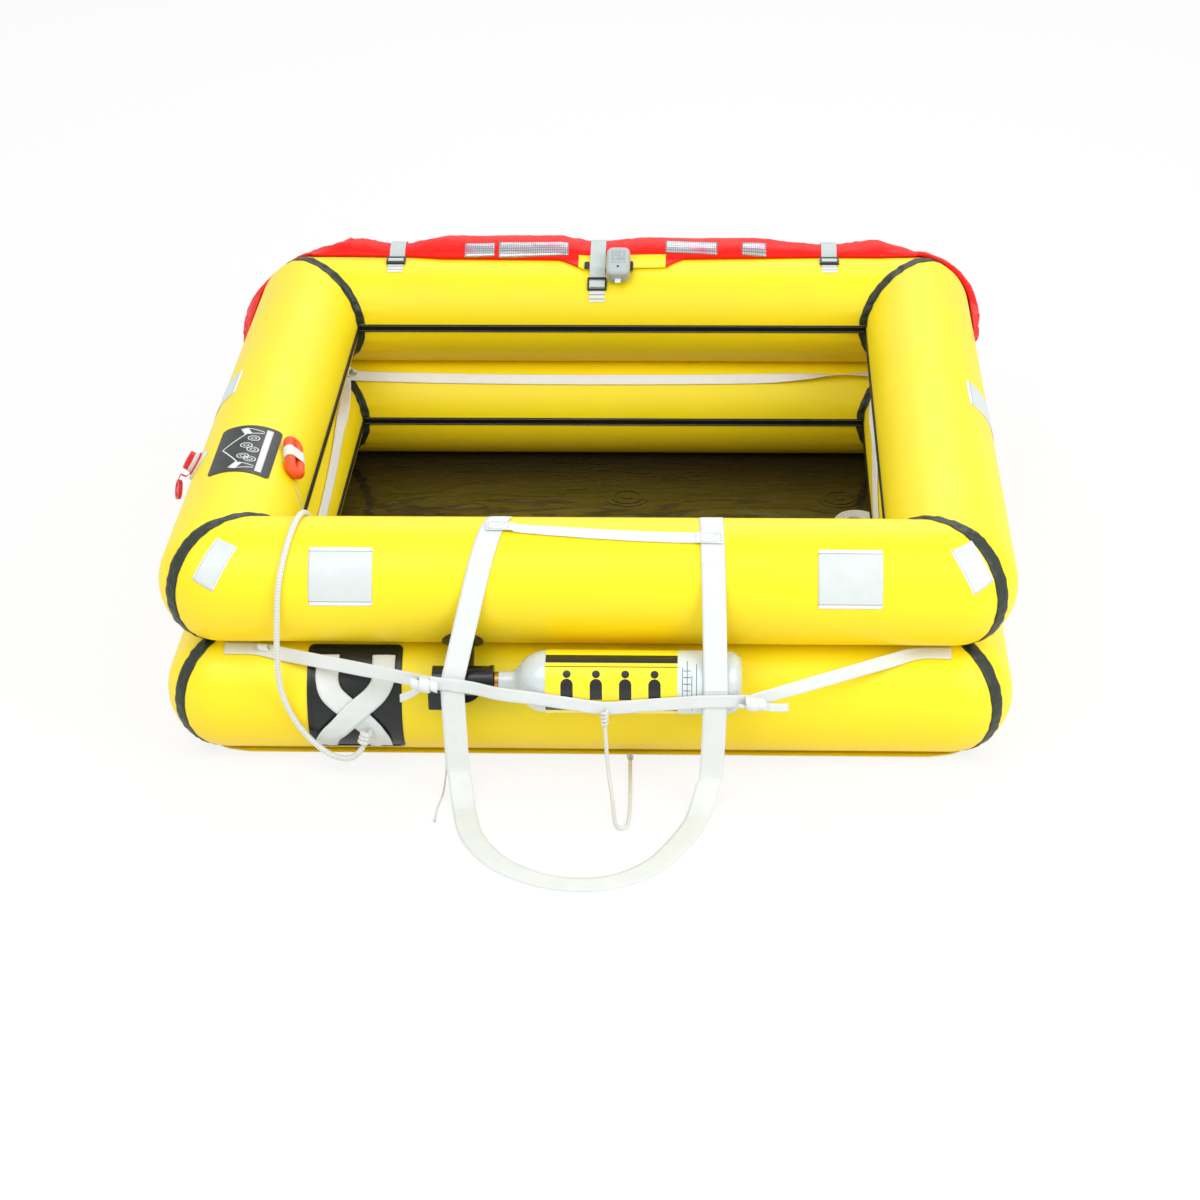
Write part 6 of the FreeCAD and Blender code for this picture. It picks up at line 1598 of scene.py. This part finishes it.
class RAFT_OT_lifelines(bpy.types.Operator):
    """Outer and inner lifelines with their knots, and the towing bridle"""

    bl_idname = "liferaft.lifelines"
    bl_label = "Lifelines and bridle"

    def execute(self, context):
        material = webbing_fabric("lifeline_webbing", colours().webbing, 0.0014)
        self.outer(material)
        # Painted light: the inner line gets a lighter, bluer copy of the webbing to make up for the dimmer,
        # yellow-tinted light inside the raft
        self.inner(webbing_fabric("inner_webbing_painted_light", paint(250, 252, 254), 0.0014))
        self.bridle(material)
        return {"FINISHED"}

    def outer(self, material):
        """The outer line: middle run over the gas cylinder, both side runs, loose ends and knots."""
        size = sizes()
        width = size.lifeline_width
        clear = 0.0008
        lift = 0.0006
        front = BOTTLE[0] - BOTTLE_RADIUS - 0.0004 - SKIN_GAP - lift
        over = front - STRAP_THICKNESS - clear
        near = BOTTLE[0] - HEAD_RADIUS - lift - STRAP_THICKNESS - clear
        z = size.low_tube
        end = size.half_span - 0.012
        leave = 0.058 - end
        leave_y = 0.692
        left_x, right_x = -0.262, 0.284
        left = [
            tube_station("front", z, -end - 0.008, 63.0, clear, 0.0),
            tube_station("front", z, 0.050 - end, 62.5, clear, 0.0),
        ]
        for share in (0.15, 0.4, 0.7):
            x = leave - (leave - left_x) * share
            y = -leave_y + (near + leave_y) * share
            left.append(facing(x, y, 0.207 + 0.007 * share, 24.0 - 24.0 * share))
        left.append(facing(left_x, near, 0.214))
        middle = [
            facing(left_x, near, 0.214), facing(-0.224, near, 0.209), facing(-0.190, near - 0.003, 0.206),
            facing(-0.141, front - 0.002, 0.203), facing(-0.084, front, 0.194), facing(-0.020, front, 0.184),
            facing(0.038, front, 0.176), facing(0.098, front, 0.181), facing(0.166, front - 0.001, 0.187),
            facing(0.204, over, 0.191), facing(0.250, over, 0.192), facing(right_x, over, 0.192),
        ]
        right = [facing(right_x, over, 0.192)]
        for share in (0.3, 0.6, 0.85):
            x = right_x - (right_x + leave) * share
            y = over - (over + leave_y) * share
            right.append(facing(x, y, 0.192 + 0.015 * share, 28.0 * share))
        right += [
            tube_station("front", z, end - 0.050, 62.5, clear, 0.0),
            tube_station("front", z, end + 0.008, 63.0, clear, 0.0),
        ]
        left_tail = [
            facing(-0.276, near, 0.206), facing(-0.296, near + 0.014, 0.184, 5.0),
            facing(-0.318, near + 0.026, 0.168, 10.0),
        ]
        right_tail = [
            facing(0.296, over + 0.001, 0.186), facing(0.326, over + 0.016, 0.172, 5.0),
            facing(0.352, over + 0.028, 0.166, 10.0),
        ]
        tail = width * 0.6
        runs = ((left, width), (middle, width), (right, width), (left_tail, tail), (right_tail, tail))
        pieces = []
        for index, (run, wide) in enumerate(runs):
            pieces.append(webbing_piece(
                "line" + str(index), run, wide, LINE_THICKNESS, material, crumple=0.0012, seed=index * 4.0,
            ))
        for name, spot, way, length, thickness, wide, seed in (
            ("knot_a", Vector((-0.272, near - 0.004, 0.211)), (1, 0, -0.3), 0.044, 0.024, 0.020, 1.0),
            ("knot_b", Vector((0.292, over - 0.005, 0.190)), (1, 0, -0.12), 0.048, 0.024, 0.020, 2.4),
            ("knot_c", tube_spot("front", z, 0.062 - end, 62.0, 0.008), (1, -0.3, 0),
             0.026, 0.013, 0.012, 4.0),
        ):
            pieces.append(webbing_knot(name, spot, way, length, thickness, wide, material, seed))
        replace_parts(join_pieces("outer_line", pieces), "outer_lifeline")

    def inner(self, material):
        """The inner line: one run on each side of the lower tube and a knot in each corner."""
        size = sizes()
        hold = 128.0
        reach = size.half_span - size.tube_radius + 0.030
        runs = {
            "front": (9.0, 0.0, 0.4), "right": (34.0, -0.35, 0.8),
            "back": (5.0, 0.1, -0.86), "left": (22.0, 0.25, -0.8),
        }
        pieces = []
        for side in SIDES:
            slack, low_at, twist_at = runs[side]
            stations = []
            for along in between(-reach, reach, 14):
                share = along / reach
                droop = slack * max(0.0, 1 - ((share - low_at) / (1 + abs(low_at))) ** 2)
                turn = 62.0 * math.exp(-((share - twist_at) / 0.16) ** 2)
                lean = math.radians(turn)
                rise = 0.0008 + 0.0026 * abs(share) ** 8 + 0.0115 * math.sin(lean)
                spot, across, out = tube_station(side, size.low_tube, along, hold + droop, rise, 0.0)
                stations.append((
                    spot, across * math.cos(lean) + out * math.sin(lean),
                    out * math.cos(lean) - across * math.sin(lean),
                ))
            pieces.append(webbing_piece(
                "inner" + side, stations, size.lifeline_width * 0.92, LINE_THICKNESS, material, steps=10,
                crumple=0.0012, seed=SIDES.index(side) * 5.0,
            ))
        spot = tube_spot("front", size.low_tube, 0.0, hold, 0.017)
        for quarter in range(4):
            turn = Matrix.Rotation(math.radians(90.0 * quarter), 3, "Z")
            corner = turn @ Vector((-abs(spot.y), spot.y, spot.z))
            pieces.append(webbing_knot(
                "tied" + str(quarter), corner, turn @ Vector((1, 1, 0)), 0.038, 0.022, 0.018, material,
                quarter * 1.7,
            ))
        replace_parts(join_pieces("inner_line", pieces), "inner_lifeline")

    def bridle(self, material):
        """Two crossing webbings on the towing patch."""
        size = sizes()
        patch_middle = -0.404
        low = 0.0006 + 0.001 + 0.0011
        over = low + STRAP_THICKNESS + 0.0006
        first = [
            (-0.047, 56.0, low, 90.0), (-0.047, 44.0, low, 90.0), (-0.047, 32.0, low, 88.0),
            (-0.038, 20.0, low, 60.0), (-0.008, 6.0, low, 48.0), (0.022, -10.0, low, 52.0),
            (0.038, -24.0, low, 70.0), (0.042, -37.0, low, 86.0),
        ]
        second = [
            (0.051, 56.0, low, 90.0), (0.051, 44.0, low, 90.0), (0.050, 32.0, low, 95.0),
            (0.036, 20.0, low + 0.001, 118.0), (0.004, 6.0, over, 132.0), (-0.026, -10.0, over, 130.0),
            (-0.048, -24.0, low + 0.001, 108.0), (-0.056, -37.0, low, 94.0),
        ]
        pieces = []
        for index, rows in enumerate((first, second)):
            stations = [
                tube_station("front", size.low_tube, patch_middle + x, angle, rise, lean)
                for x, angle, rise, lean in rows
            ]
            pieces.append(webbing_piece(
                "bridle" + str(index), stations, 0.040, STRAP_THICKNESS, material, steps=10, crumple=0.0030,
                seed=index * 2.0,
            ))
        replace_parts(join_pieces("bridle_web", pieces), "tow_bridle")


# The canopy, by distance along the back and round both corners, in millimetres

CANOPY_HALF = 640.0
CORNER_RUN = 180.0
CANOPY_ENDS = (-985.0, 935.0)
STRAPS = (-456.0, -30.0, 455.0)
CANOPY_ROLL = [
    (-1030, 10), (-820, 16), (-775, 22), (-730, 36), (-676, 60), (-640, 74), (-478, 81), (-434, 81),
    (-364, 89), (-110, 92), (110, 90), (300, 86), (433, 81), (477, 81), (560, 82), (640, 74),
    (676, 67), (730, 52), (775, 34), (820, 10), (988, 2),
]
YELLOW_FLAP = (-72, 108)
CANOPY_FLAP = [(-112, 0), (-60, 20), (112, 18), (150, 0)]
CANOPY_THICK = [
    (-985, 9.0), (-935, 20.0), (-820, 26.0), (-775, 18.0), (-730, 15.6), (-640, 17.2), (-590, 41.6),
    (-560, 53.0), (-478, 36.4), (-434, 36.4), (-350, 50.4), (-110, 49.9), (-52, 38.5), (-8, 38.5),
    (70, 46.8), (200, 45.8), (310, 47.8), (433, 35.4), (477, 35.4), (560, 44.7), (640, 17.0),
    (730, 18.0), (820, 20.0), (885, 17.0), (935, 7.0),
]
CANOPY_HANG = [
    (-1030, -28), (-820, -34), (-730, -28), (-560, -14), (560, -14), (730, -28), (820, -34), (988, -28),
]
# Start, end, lower and upper angle of each reflective piece
CANOPY_FOILS = ((-312, -249, 79, 90), (-240, -93, 78, 91), (112, 220, 73, 87), (272, 323, 72, 86))


def canopy_spot(run, radius, angle):
    """A point of the canopy, in metres, from its place in millimetres and degrees."""
    hand = math.copysign(1.0, run)
    reach = abs(run)
    if reach <= CANOPY_HALF:
        centre = Vector((run, CANOPY_HALF, 0))
        outward = Vector((0, 1, 0))
    elif reach <= CANOPY_HALF + CORNER_RUN:
        turn = math.pi / 2 * (reach - CANOPY_HALF) / CORNER_RUN
        centre = Vector((hand * CANOPY_HALF, CANOPY_HALF, 0))
        outward = Vector((hand * math.sin(turn), math.cos(turn), 0))
    else:
        centre = Vector((hand * CANOPY_HALF, CANOPY_HALF * 2 + CORNER_RUN - reach, 0))
        outward = Vector((hand, 0, 0))
    turn = math.radians(angle)
    lift = Vector((0, 0, sizes().high_tube / MM + radius * math.sin(turn)))
    return (centre + outward * (radius * math.cos(turn)) + lift) * MM


def canopy_base(run):
    """Radius of the canopy's inner face, just off the tube."""
    return 110.0 + 1.8 + (1.6 if abs(run) > CANOPY_HALF else 0.0)


def ridge(x, y, z):
    """Sharp crests and soft valleys between -1 and 1."""
    return 1 - abs(noise.noise(Vector((x, y, z)))) * 3.2


def canopy_radius(run, angle, roll):
    """Radius of the canopy's outer face, with long folds, gathers at the straps and crumples."""
    depth = read_table(CANOPY_THICK, run)
    low = read_table(CANOPY_HANG, run)
    edge = min(3.0, depth)
    share = min(1.0, max(0.0, (angle - low) / (roll - low)))
    swell = math.sin(math.pi * min(share, 0.999)) ** 0.6 if share < 1 else 0.0
    calm = min(smooth_step((abs(run - strap) - 15.0) / 34.0) for strap in STRAPS)
    near = math.exp(-min(abs(run - strap) for strap in STRAPS) / 60.0)
    loose = 0.22 + 0.78 * smooth_step((abs(run) - 410.0) / 110.0)
    drift = run / 260.0
    fold = share * 4.2 + 0.9 * noise.noise(Vector((drift, 3.0, 0.0)))
    long_fold = ridge(fold * 1.3, drift * 0.8, 2.0)
    slant = ridge(run / 74.0 + share * 3.2 * math.copysign(1, run), share * 2.4, 4.0)
    gather = ridge(run / 15.0, share * 1.6 + run / 150.0, 8.0)
    small = ridge(run / 30.0 - share * 4.0, share * 9.0, 12.0)
    folds = 2.2 * long_fold + loose * (3.6 * slant + 1.8 * small) + 2.2 * near * gather - 2.6 * loose
    return canopy_base(run) + edge + (depth - edge) * swell + folds * swell * (0.2 + 0.8 * calm)


class RAFT_OT_canopy(bpy.types.Operator):
    """Canopy stowed along the back tube, gathered by its straps and hanging at both ends"""

    bl_idname = "liferaft.canopy"
    bl_label = "Canopy"

    def execute(self, context):
        self.roll()
        self.foils()
        return {"FINISHED"}

    def roll(self):
        """The rolled nylon with the yellow lining of its flap."""
        red = nylon("canopy_nylon", colours().canopy)
        # The flap's fabric carries the painted shade yellow on its faces that look down
        yellow = coated_fabric("canopy_flap_fabric", colours().tube, PAINTED_SHADE_YELLOW)
        rolled, brow, under = 56, 16, 10
        start, end = CANOPY_ENDS
        steps = 420
        rows = []
        runs = between(start, end, steps)
        for run in runs:
            low = read_table(CANOPY_HANG, run)
            roll = read_table(CANOPY_ROLL, run)
            flap = roll + read_table(CANOPY_FLAP, run)
            closing = math.sqrt(max(0.02, min(1.0, min(run - start, end - run) / 24.0)))
            base = canopy_base(run)
            angles = between(low, roll - 3.0, rolled) + between(roll - 3.0, flap, brow)[1:]
            row = []
            for angle in angles:
                radius = base + (canopy_radius(run, angle, roll) - base) * closing
                row.append(canopy_spot(run, radius, angle))
            rows.append(row + [canopy_spot(run, base, angle) for angle in between(flap, low, under)])
        count = rolled + brow + under + 2
        along = [run * MM for run in runs]
        canopy = lofted(
            "canopy_roll", rows, along, between(0.0, 0.5, count), red, closed=True, caps=True,
        )
        canopy.data.materials.append(yellow)
        for face in canopy.data.polygons[:(len(runs) - 1) * count]:
            column = face.vertices[0] % count
            run = runs[face.vertices[0] // count]
            if rolled + 1 <= column < rolled + brow + 1 and YELLOW_FLAP[0] < run < YELLOW_FLAP[1]:
                face.material_index = 1
        face_outwards(canopy)
        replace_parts(canopy, "canopy")

    def foils(self):
        """Reflective pieces that follow the folds of the roll."""
        tape = foil()
        pieces = []
        columns = 12
        for first, last, low, high in CANOPY_FOILS:
            rows = []
            runs = between(first, last, max(8, int((last - first) / 4)))
            for run in runs:
                roll = read_table(CANOPY_ROLL, run)
                rows.append([
                    canopy_spot(run, canopy_radius(run, angle, roll) + 0.9, angle)
                    for angle in between(low, high, columns)
                ])
            along = [run * MM for run in runs]
            across = between(0.0, 0.028, columns)
            piece = lofted("foil" + str(len(pieces)), rows, along, across, tape)
            recalculate_out_of_tube(piece, sizes().high_tube)
            pieces.append(thicken(piece, 0.0005))
        join_pieces("canopy_reflectors", pieces)


class RAFT_OT_canopy_straps(bpy.types.Operator):
    """Straps over the canopy, their buckles and sewn anchors"""

    bl_idname = "liferaft.canopy_straps"
    bl_label = "Canopy straps"

    def execute(self, context):
        finish = Finish("anchor_webbing", colours().webbing, 0.6)
        finish.shade(finish.noise(60.0, 4.0), 0.88, 1.02)
        _, y, z = finish.parts(finish.place(1.0))
        out = finish.sum("SUBTRACT", y, sizes().half_span)
        up = finish.sum("SUBTRACT", z, sizes().high_tube)
        turn = finish.sum("DEGREES", finish.sum("ARCTAN2", up, out))
        finish.tint(finish.stripe(finish.sum("DIVIDE", turn, 4.6), 0.16), paint(60, 64, 66))
        finish.bump(weave(finish, 560.0), 0.0003, 0.6)
        dress("canopy_straps", strap_fabric())
        dress("strap_anchors", finish.material)
        dress("canopy_buckles", moulded_plastic("buckle_plastic", colours().black, 0.3))
        return {"FINISHED"}


def strap_fabric():
    """Grey ribbed webbing of the canopy's straps."""
    finish = Finish("canopy_strap_webbing", colours().grey_webbing, 0.55)
    _, y, z = finish.parts(finish.place(1.0))
    wave = finish.sum("SINE", finish.sum("MULTIPLY", finish.sum("ADD", y, z), math.tau / 0.0022))
    ribs = finish.band(wave, -1.0, 1.0)
    finish.shade(ribs, 0.86, 1.0)
    finish.shade(finish.noise(50.0, 4.0), 0.88, 1.04)
    finish.bump(ribs, 0.0003, 0.6)
    return finish.material


# Place along the gas cylinder and radius, from the bore in its neck to its base
BOTTLE_PROFILE = [
    (-0.158, 0.0), (-0.158, 0.0050), (-0.170, 0.0050), (-0.170, 0.0115), (-0.147, 0.0115),
    (-0.1465, 0.0165), (-0.124, 0.0168), (-0.119, 0.0185), (-0.115, 0.0225), (-0.111, 0.0285),
    (-0.106, 0.0350), (-0.099, 0.0415), (-0.090, 0.0472), (-0.080, 0.0512), (-0.070, 0.0537),
    (-0.060, 0.0545), (0.246, 0.0545), (0.254, 0.0536), (0.261, 0.0508), (0.267, 0.0460),
    (0.2705, 0.0398), (0.272, 0.0330), (0.272, 0.0),
]


def turned_bottle(material):
    """The gas cylinder, spun from its half outline about its own axis."""
    bpy.ops.object.select_all(action="DESELECT")
    data = bpy.data.meshes.new("bottle")
    spots = [(x, BOTTLE[0] - radius, BOTTLE[1]) for x, radius in BOTTLE_PROFILE]
    data.from_pydata(spots, [(index, index + 1) for index in range(len(spots) - 1)], [])
    bottle = bpy.data.objects.new("bottle", data)
    bpy.context.scene.collection.objects.link(bottle)
    select_only(bottle)
    bpy.ops.object.mode_set(mode="EDIT")
    bpy.ops.mesh.select_all(action="SELECT")
    bpy.ops.mesh.spin(steps=72, angle=math.tau, center=(0.0, *BOTTLE), axis=(1.0, 0.0, 0.0))
    bpy.ops.mesh.select_all(action="SELECT")
    bpy.ops.mesh.remove_doubles(threshold=0.00002)
    bpy.ops.mesh.normals_make_consistent(inside=False)
    bpy.ops.object.mode_set(mode="OBJECT")
    bpy.ops.object.shade_smooth_by_angle(angle=math.radians(35))
    data.materials.append(material)
    bottle.select_set(False)
    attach(bottle, "raft")
    return bottle


class RAFT_OT_gas_cylinder(bpy.types.Operator):
    """Gas cylinder, its labels and its operating head"""

    bl_idname = "liferaft.gas_cylinder"
    bl_label = "Gas cylinder"

    def execute(self, context):
        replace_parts(turned_bottle(painted_metal("cylinder_paint", colours().cylinder, 0.26)), "gas_cylinder")
        dress("cylinder_label", cylinder_label())
        dress("data_sticker", data_sticker())
        dress("coupling_ring", bare_metal("brass", paint(206, 160, 84), 0.28))
        dress("operating_head", moulded_plastic("head_plastic", colours().black, 0.22))
        rubber = moulded_plastic("flange_rubber", paint(30, 31, 32), 0.45)
        dress("upper_inlet_flange", rubber)
        dress("lower_inlet_flange", rubber)
        steel = bare_metal("steel", paint(190, 192, 194), 0.3)
        dress("piercing_pin", steel)
        dress("lever_pin", steel)
        dress("firing_lever", bare_metal("lever_steel", paint(150, 152, 154), 0.36))
        return {"FINISHED"}


def hanging_cap(name, along, height, material):
    """The valve's second cap, which hangs from a red tether round the valve."""
    valve_angle = 31.0
    ring_radius = 0.0215
    seat = tube_spot("left", height, -along, valve_angle, 0.004)
    out = tube_ways("left", valve_angle)[2]
    down = Vector((0, 0, -1)) - out * Vector((0, 0, -1)).dot(out)
    down.normalize()
    side = out.cross(down)
    middle = Vector((-0.7715, along - 0.012, height + 0.012))
    face = Vector((-0.93, -0.30, 0.22)).normalized()
    turn = face.to_track_quat("Z", "Y")
    bpy.ops.object.select_all(action="DESELECT")
    bpy.ops.mesh.primitive_cylinder_add(
        vertices=40, radius=0.0185, depth=0.007, location=middle, rotation=turn.to_euler(), calc_uvs=False,
    )
    disc = bpy.context.object
    bpy.ops.object.mode_set(mode="EDIT")
    bpy.ops.mesh.select_all(action="DESELECT")
    bpy.ops.mesh.select_mode(type="FACE")
    bpy.ops.object.mode_set(mode="OBJECT")
    for round_face in disc.data.polygons:
        round_face.select = len(round_face.vertices) > 8
    bpy.ops.object.mode_set(mode="EDIT")
    bpy.ops.mesh.inset(thickness=0.0035, depth=0.0)
    bpy.ops.mesh.inset(thickness=0.0016, depth=-0.0022)
    bpy.ops.mesh.inset(thickness=0.0050, depth=0.0)
    bpy.ops.mesh.inset(thickness=0.0012, depth=0.0016)
    bpy.ops.object.mode_set(mode="OBJECT")
    bpy.ops.object.transform_apply(location=True, rotation=True, scale=True)
    bpy.ops.object.shade_smooth_by_angle(angle=math.radians(30))
    disc.name = name + "_hanging_cap"
    disc.data.materials.append(material)
    disc.select_set(False)
    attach(disc, "raft")
    ring = []
    for step in range(25):
        angle = math.tau * step / 24
        way = down * math.cos(angle) + side * math.sin(angle)
        ring.append((seat + way * ring_radius, out, way))
    webbing_piece(name + "_tether_ring", ring, 0.005, STRAP_THICKNESS, material, 2)
    top = seat + down * ring_radius
    edge = middle - face * 0.001 + Vector((0, 0.002, 0.0170))
    strap = [
        (top, side, down), (top + down * 0.010 + out * 0.004, side, (down + out).normalized()),
        ((top + edge) / 2 + out * 0.008, side, out), (edge, side, face),
    ]
    webbing_piece(name + "_tether", strap, 0.007, STRAP_THICKNESS, material, 5)


class RAFT_OT_valves(bpy.types.Operator):
    """Topping-up valves with their caps"""

    bl_idname = "liferaft.valves"
    bl_label = "Valves"

    def execute(self, context):
        body = moulded_plastic("valve_body", paint(214, 212, 204), 0.4)
        cap = moulded_plastic("valve_cap", colours().red, 0.3)
        poppet = bare_metal("poppet", paint(180, 180, 178), 0.35)
        for name, height in (("upper", sizes().high_tube), ("lower", sizes().low_tube)):
            dress(name + "_valve", body)
            dress(name + "_valve_cap", cap)
            dress(name + "_poppet", poppet)
            low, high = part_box(name + "_valve")
            hanging_cap(name, (low.y + high.y) / 2, height, cap)
        return {"FINISHED"}


def lamp_plastic():
    """Grey case with a panel of fine unreadable rows and a small round window."""
    finish = Finish("lamp_plastic", colours().lamp, 0.35)
    low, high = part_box("lamp_case")
    x, y, z = finish.parts(finish.place(1.0))
    across = finish.sum("SUBTRACT", x, (low.x + high.x) / 2)
    slope = math.radians(113.0)
    first = finish.sum("MULTIPLY", finish.sum("SUBTRACT", y, (low.y + high.y) / 2), -math.sin(slope))
    second = finish.sum("MULTIPLY", finish.sum("SUBTRACT", z, (low.z + high.z) / 2), math.cos(slope))
    along = finish.sum("ADD", first, second)
    rows = finish.stripe(finish.sum("DIVIDE", along, 0.0042), 0.42)
    broken = finish.sum("GREATER_THAN", finish.noise((900.0, 60.0, 60.0), 1.0), 0.46)
    words = finish.sum("MULTIPLY", rows, broken)
    panel = finish.sum(
        "MULTIPLY", within(finish, across, -0.015, 0.015), within(finish, along, -0.028, 0.010),
    )
    finish.tint(finish.sum("MULTIPLY", panel, words), paint(104, 112, 112))
    finish.tint(finish.disc(across, along, 0.0, 0.020, 0.0032), paint(40, 42, 44))
    finish.shade(finish.noise(70.0, 3.0), 0.92, 1.05)
    finish.rough(finish.noise(120.0, 3.0), 0.28, 0.44)
    finish.bump(finish.noise(1200.0, 2.0), 0.00008, 0.4)
    return finish.material


class RAFT_OT_lamp(bpy.types.Operator):
    """Lamp on the canopy's flap"""

    bl_idname = "liferaft.lamp"
    bl_label = "Lamp"

    def execute(self, context):
        dress("lamp_case", lamp_plastic())
        dress("lamp_pad", moulded_plastic("lamp_backing", paint(24, 24, 26), 0.6))
        dress("lamp_tab", moulded_plastic("tab_plastic", paint(236, 238, 238), 0.4))
        return {"FINISHED"}


class RAFT_OT_quoit(bpy.types.Operator):
    """Rescue quoit in its band"""

    bl_idname = "liferaft.quoit"
    bl_label = "Rescue quoit"

    def execute(self, context):
        finish = Finish("quoit_rubber", colours().quoit, 0.46)
        finish.shade(finish.noise(50.0, 4.0), 0.86, 1.05)
        finish.bump(finish.noise(240.0, 4.0), 0.0007, 0.5)
        dress("quoit", finish.material)
        band = Finish("quoit_band", colours().webbing, 0.6)
        band.shade(band.noise(60.0, 4.0), 0.88, 1.02)
        band.bump(weave(band, 560.0), 0.0003, 0.6)
        dress("quoit_band", band.material)
        return {"FINISHED"}


OPERATORS = (
    RAFT_OT_stage, RAFT_OT_painter, RAFT_OT_small_cords, RAFT_OT_tubes, RAFT_OT_seams, RAFT_OT_floor,
    RAFT_OT_patches, RAFT_OT_boarding, RAFT_OT_lifelines, RAFT_OT_canopy, RAFT_OT_canopy_straps,
    RAFT_OT_gas_cylinder, RAFT_OT_valves, RAFT_OT_lamp, RAFT_OT_quoit,
)


class RAFT_PT_sidebar(bpy.types.Panel):
    """Liferaft pieces in the sidebar"""

    bl_label = "Liferaft"
    bl_idname = "RAFT_PT_sidebar"
    bl_space_type = "VIEW_3D"
    bl_region_type = "UI"
    bl_category = "Liferaft"

    def draw(self, context):
        for kind in OPERATORS:
            self.layout.operator(kind.bl_idname)
        for group in (context.scene.liferaft_sizes, context.scene.liferaft_colours):
            for name in group.__annotations__:
                self.layout.prop(group, name)


CLASSES = (LiferaftSizes, LiferaftColours, *OPERATORS, RAFT_PT_sidebar)


def register():
    for kind in CLASSES:
        bpy.utils.register_class(kind)
    bpy.types.Scene.liferaft_sizes = PointerProperty(type=LiferaftSizes)
    bpy.types.Scene.liferaft_colours = PointerProperty(type=LiferaftColours)


def unregister():
    del bpy.types.Scene.liferaft_sizes
    del bpy.types.Scene.liferaft_colours
    for kind in reversed(CLASSES):
        bpy.utils.unregister_class(kind)


def main():
    register()
    for kind in OPERATORS:
        area, name = kind.bl_idname.split(".")
        getattr(getattr(bpy.ops, area), name)()


if __name__ == "__main__":
    main()
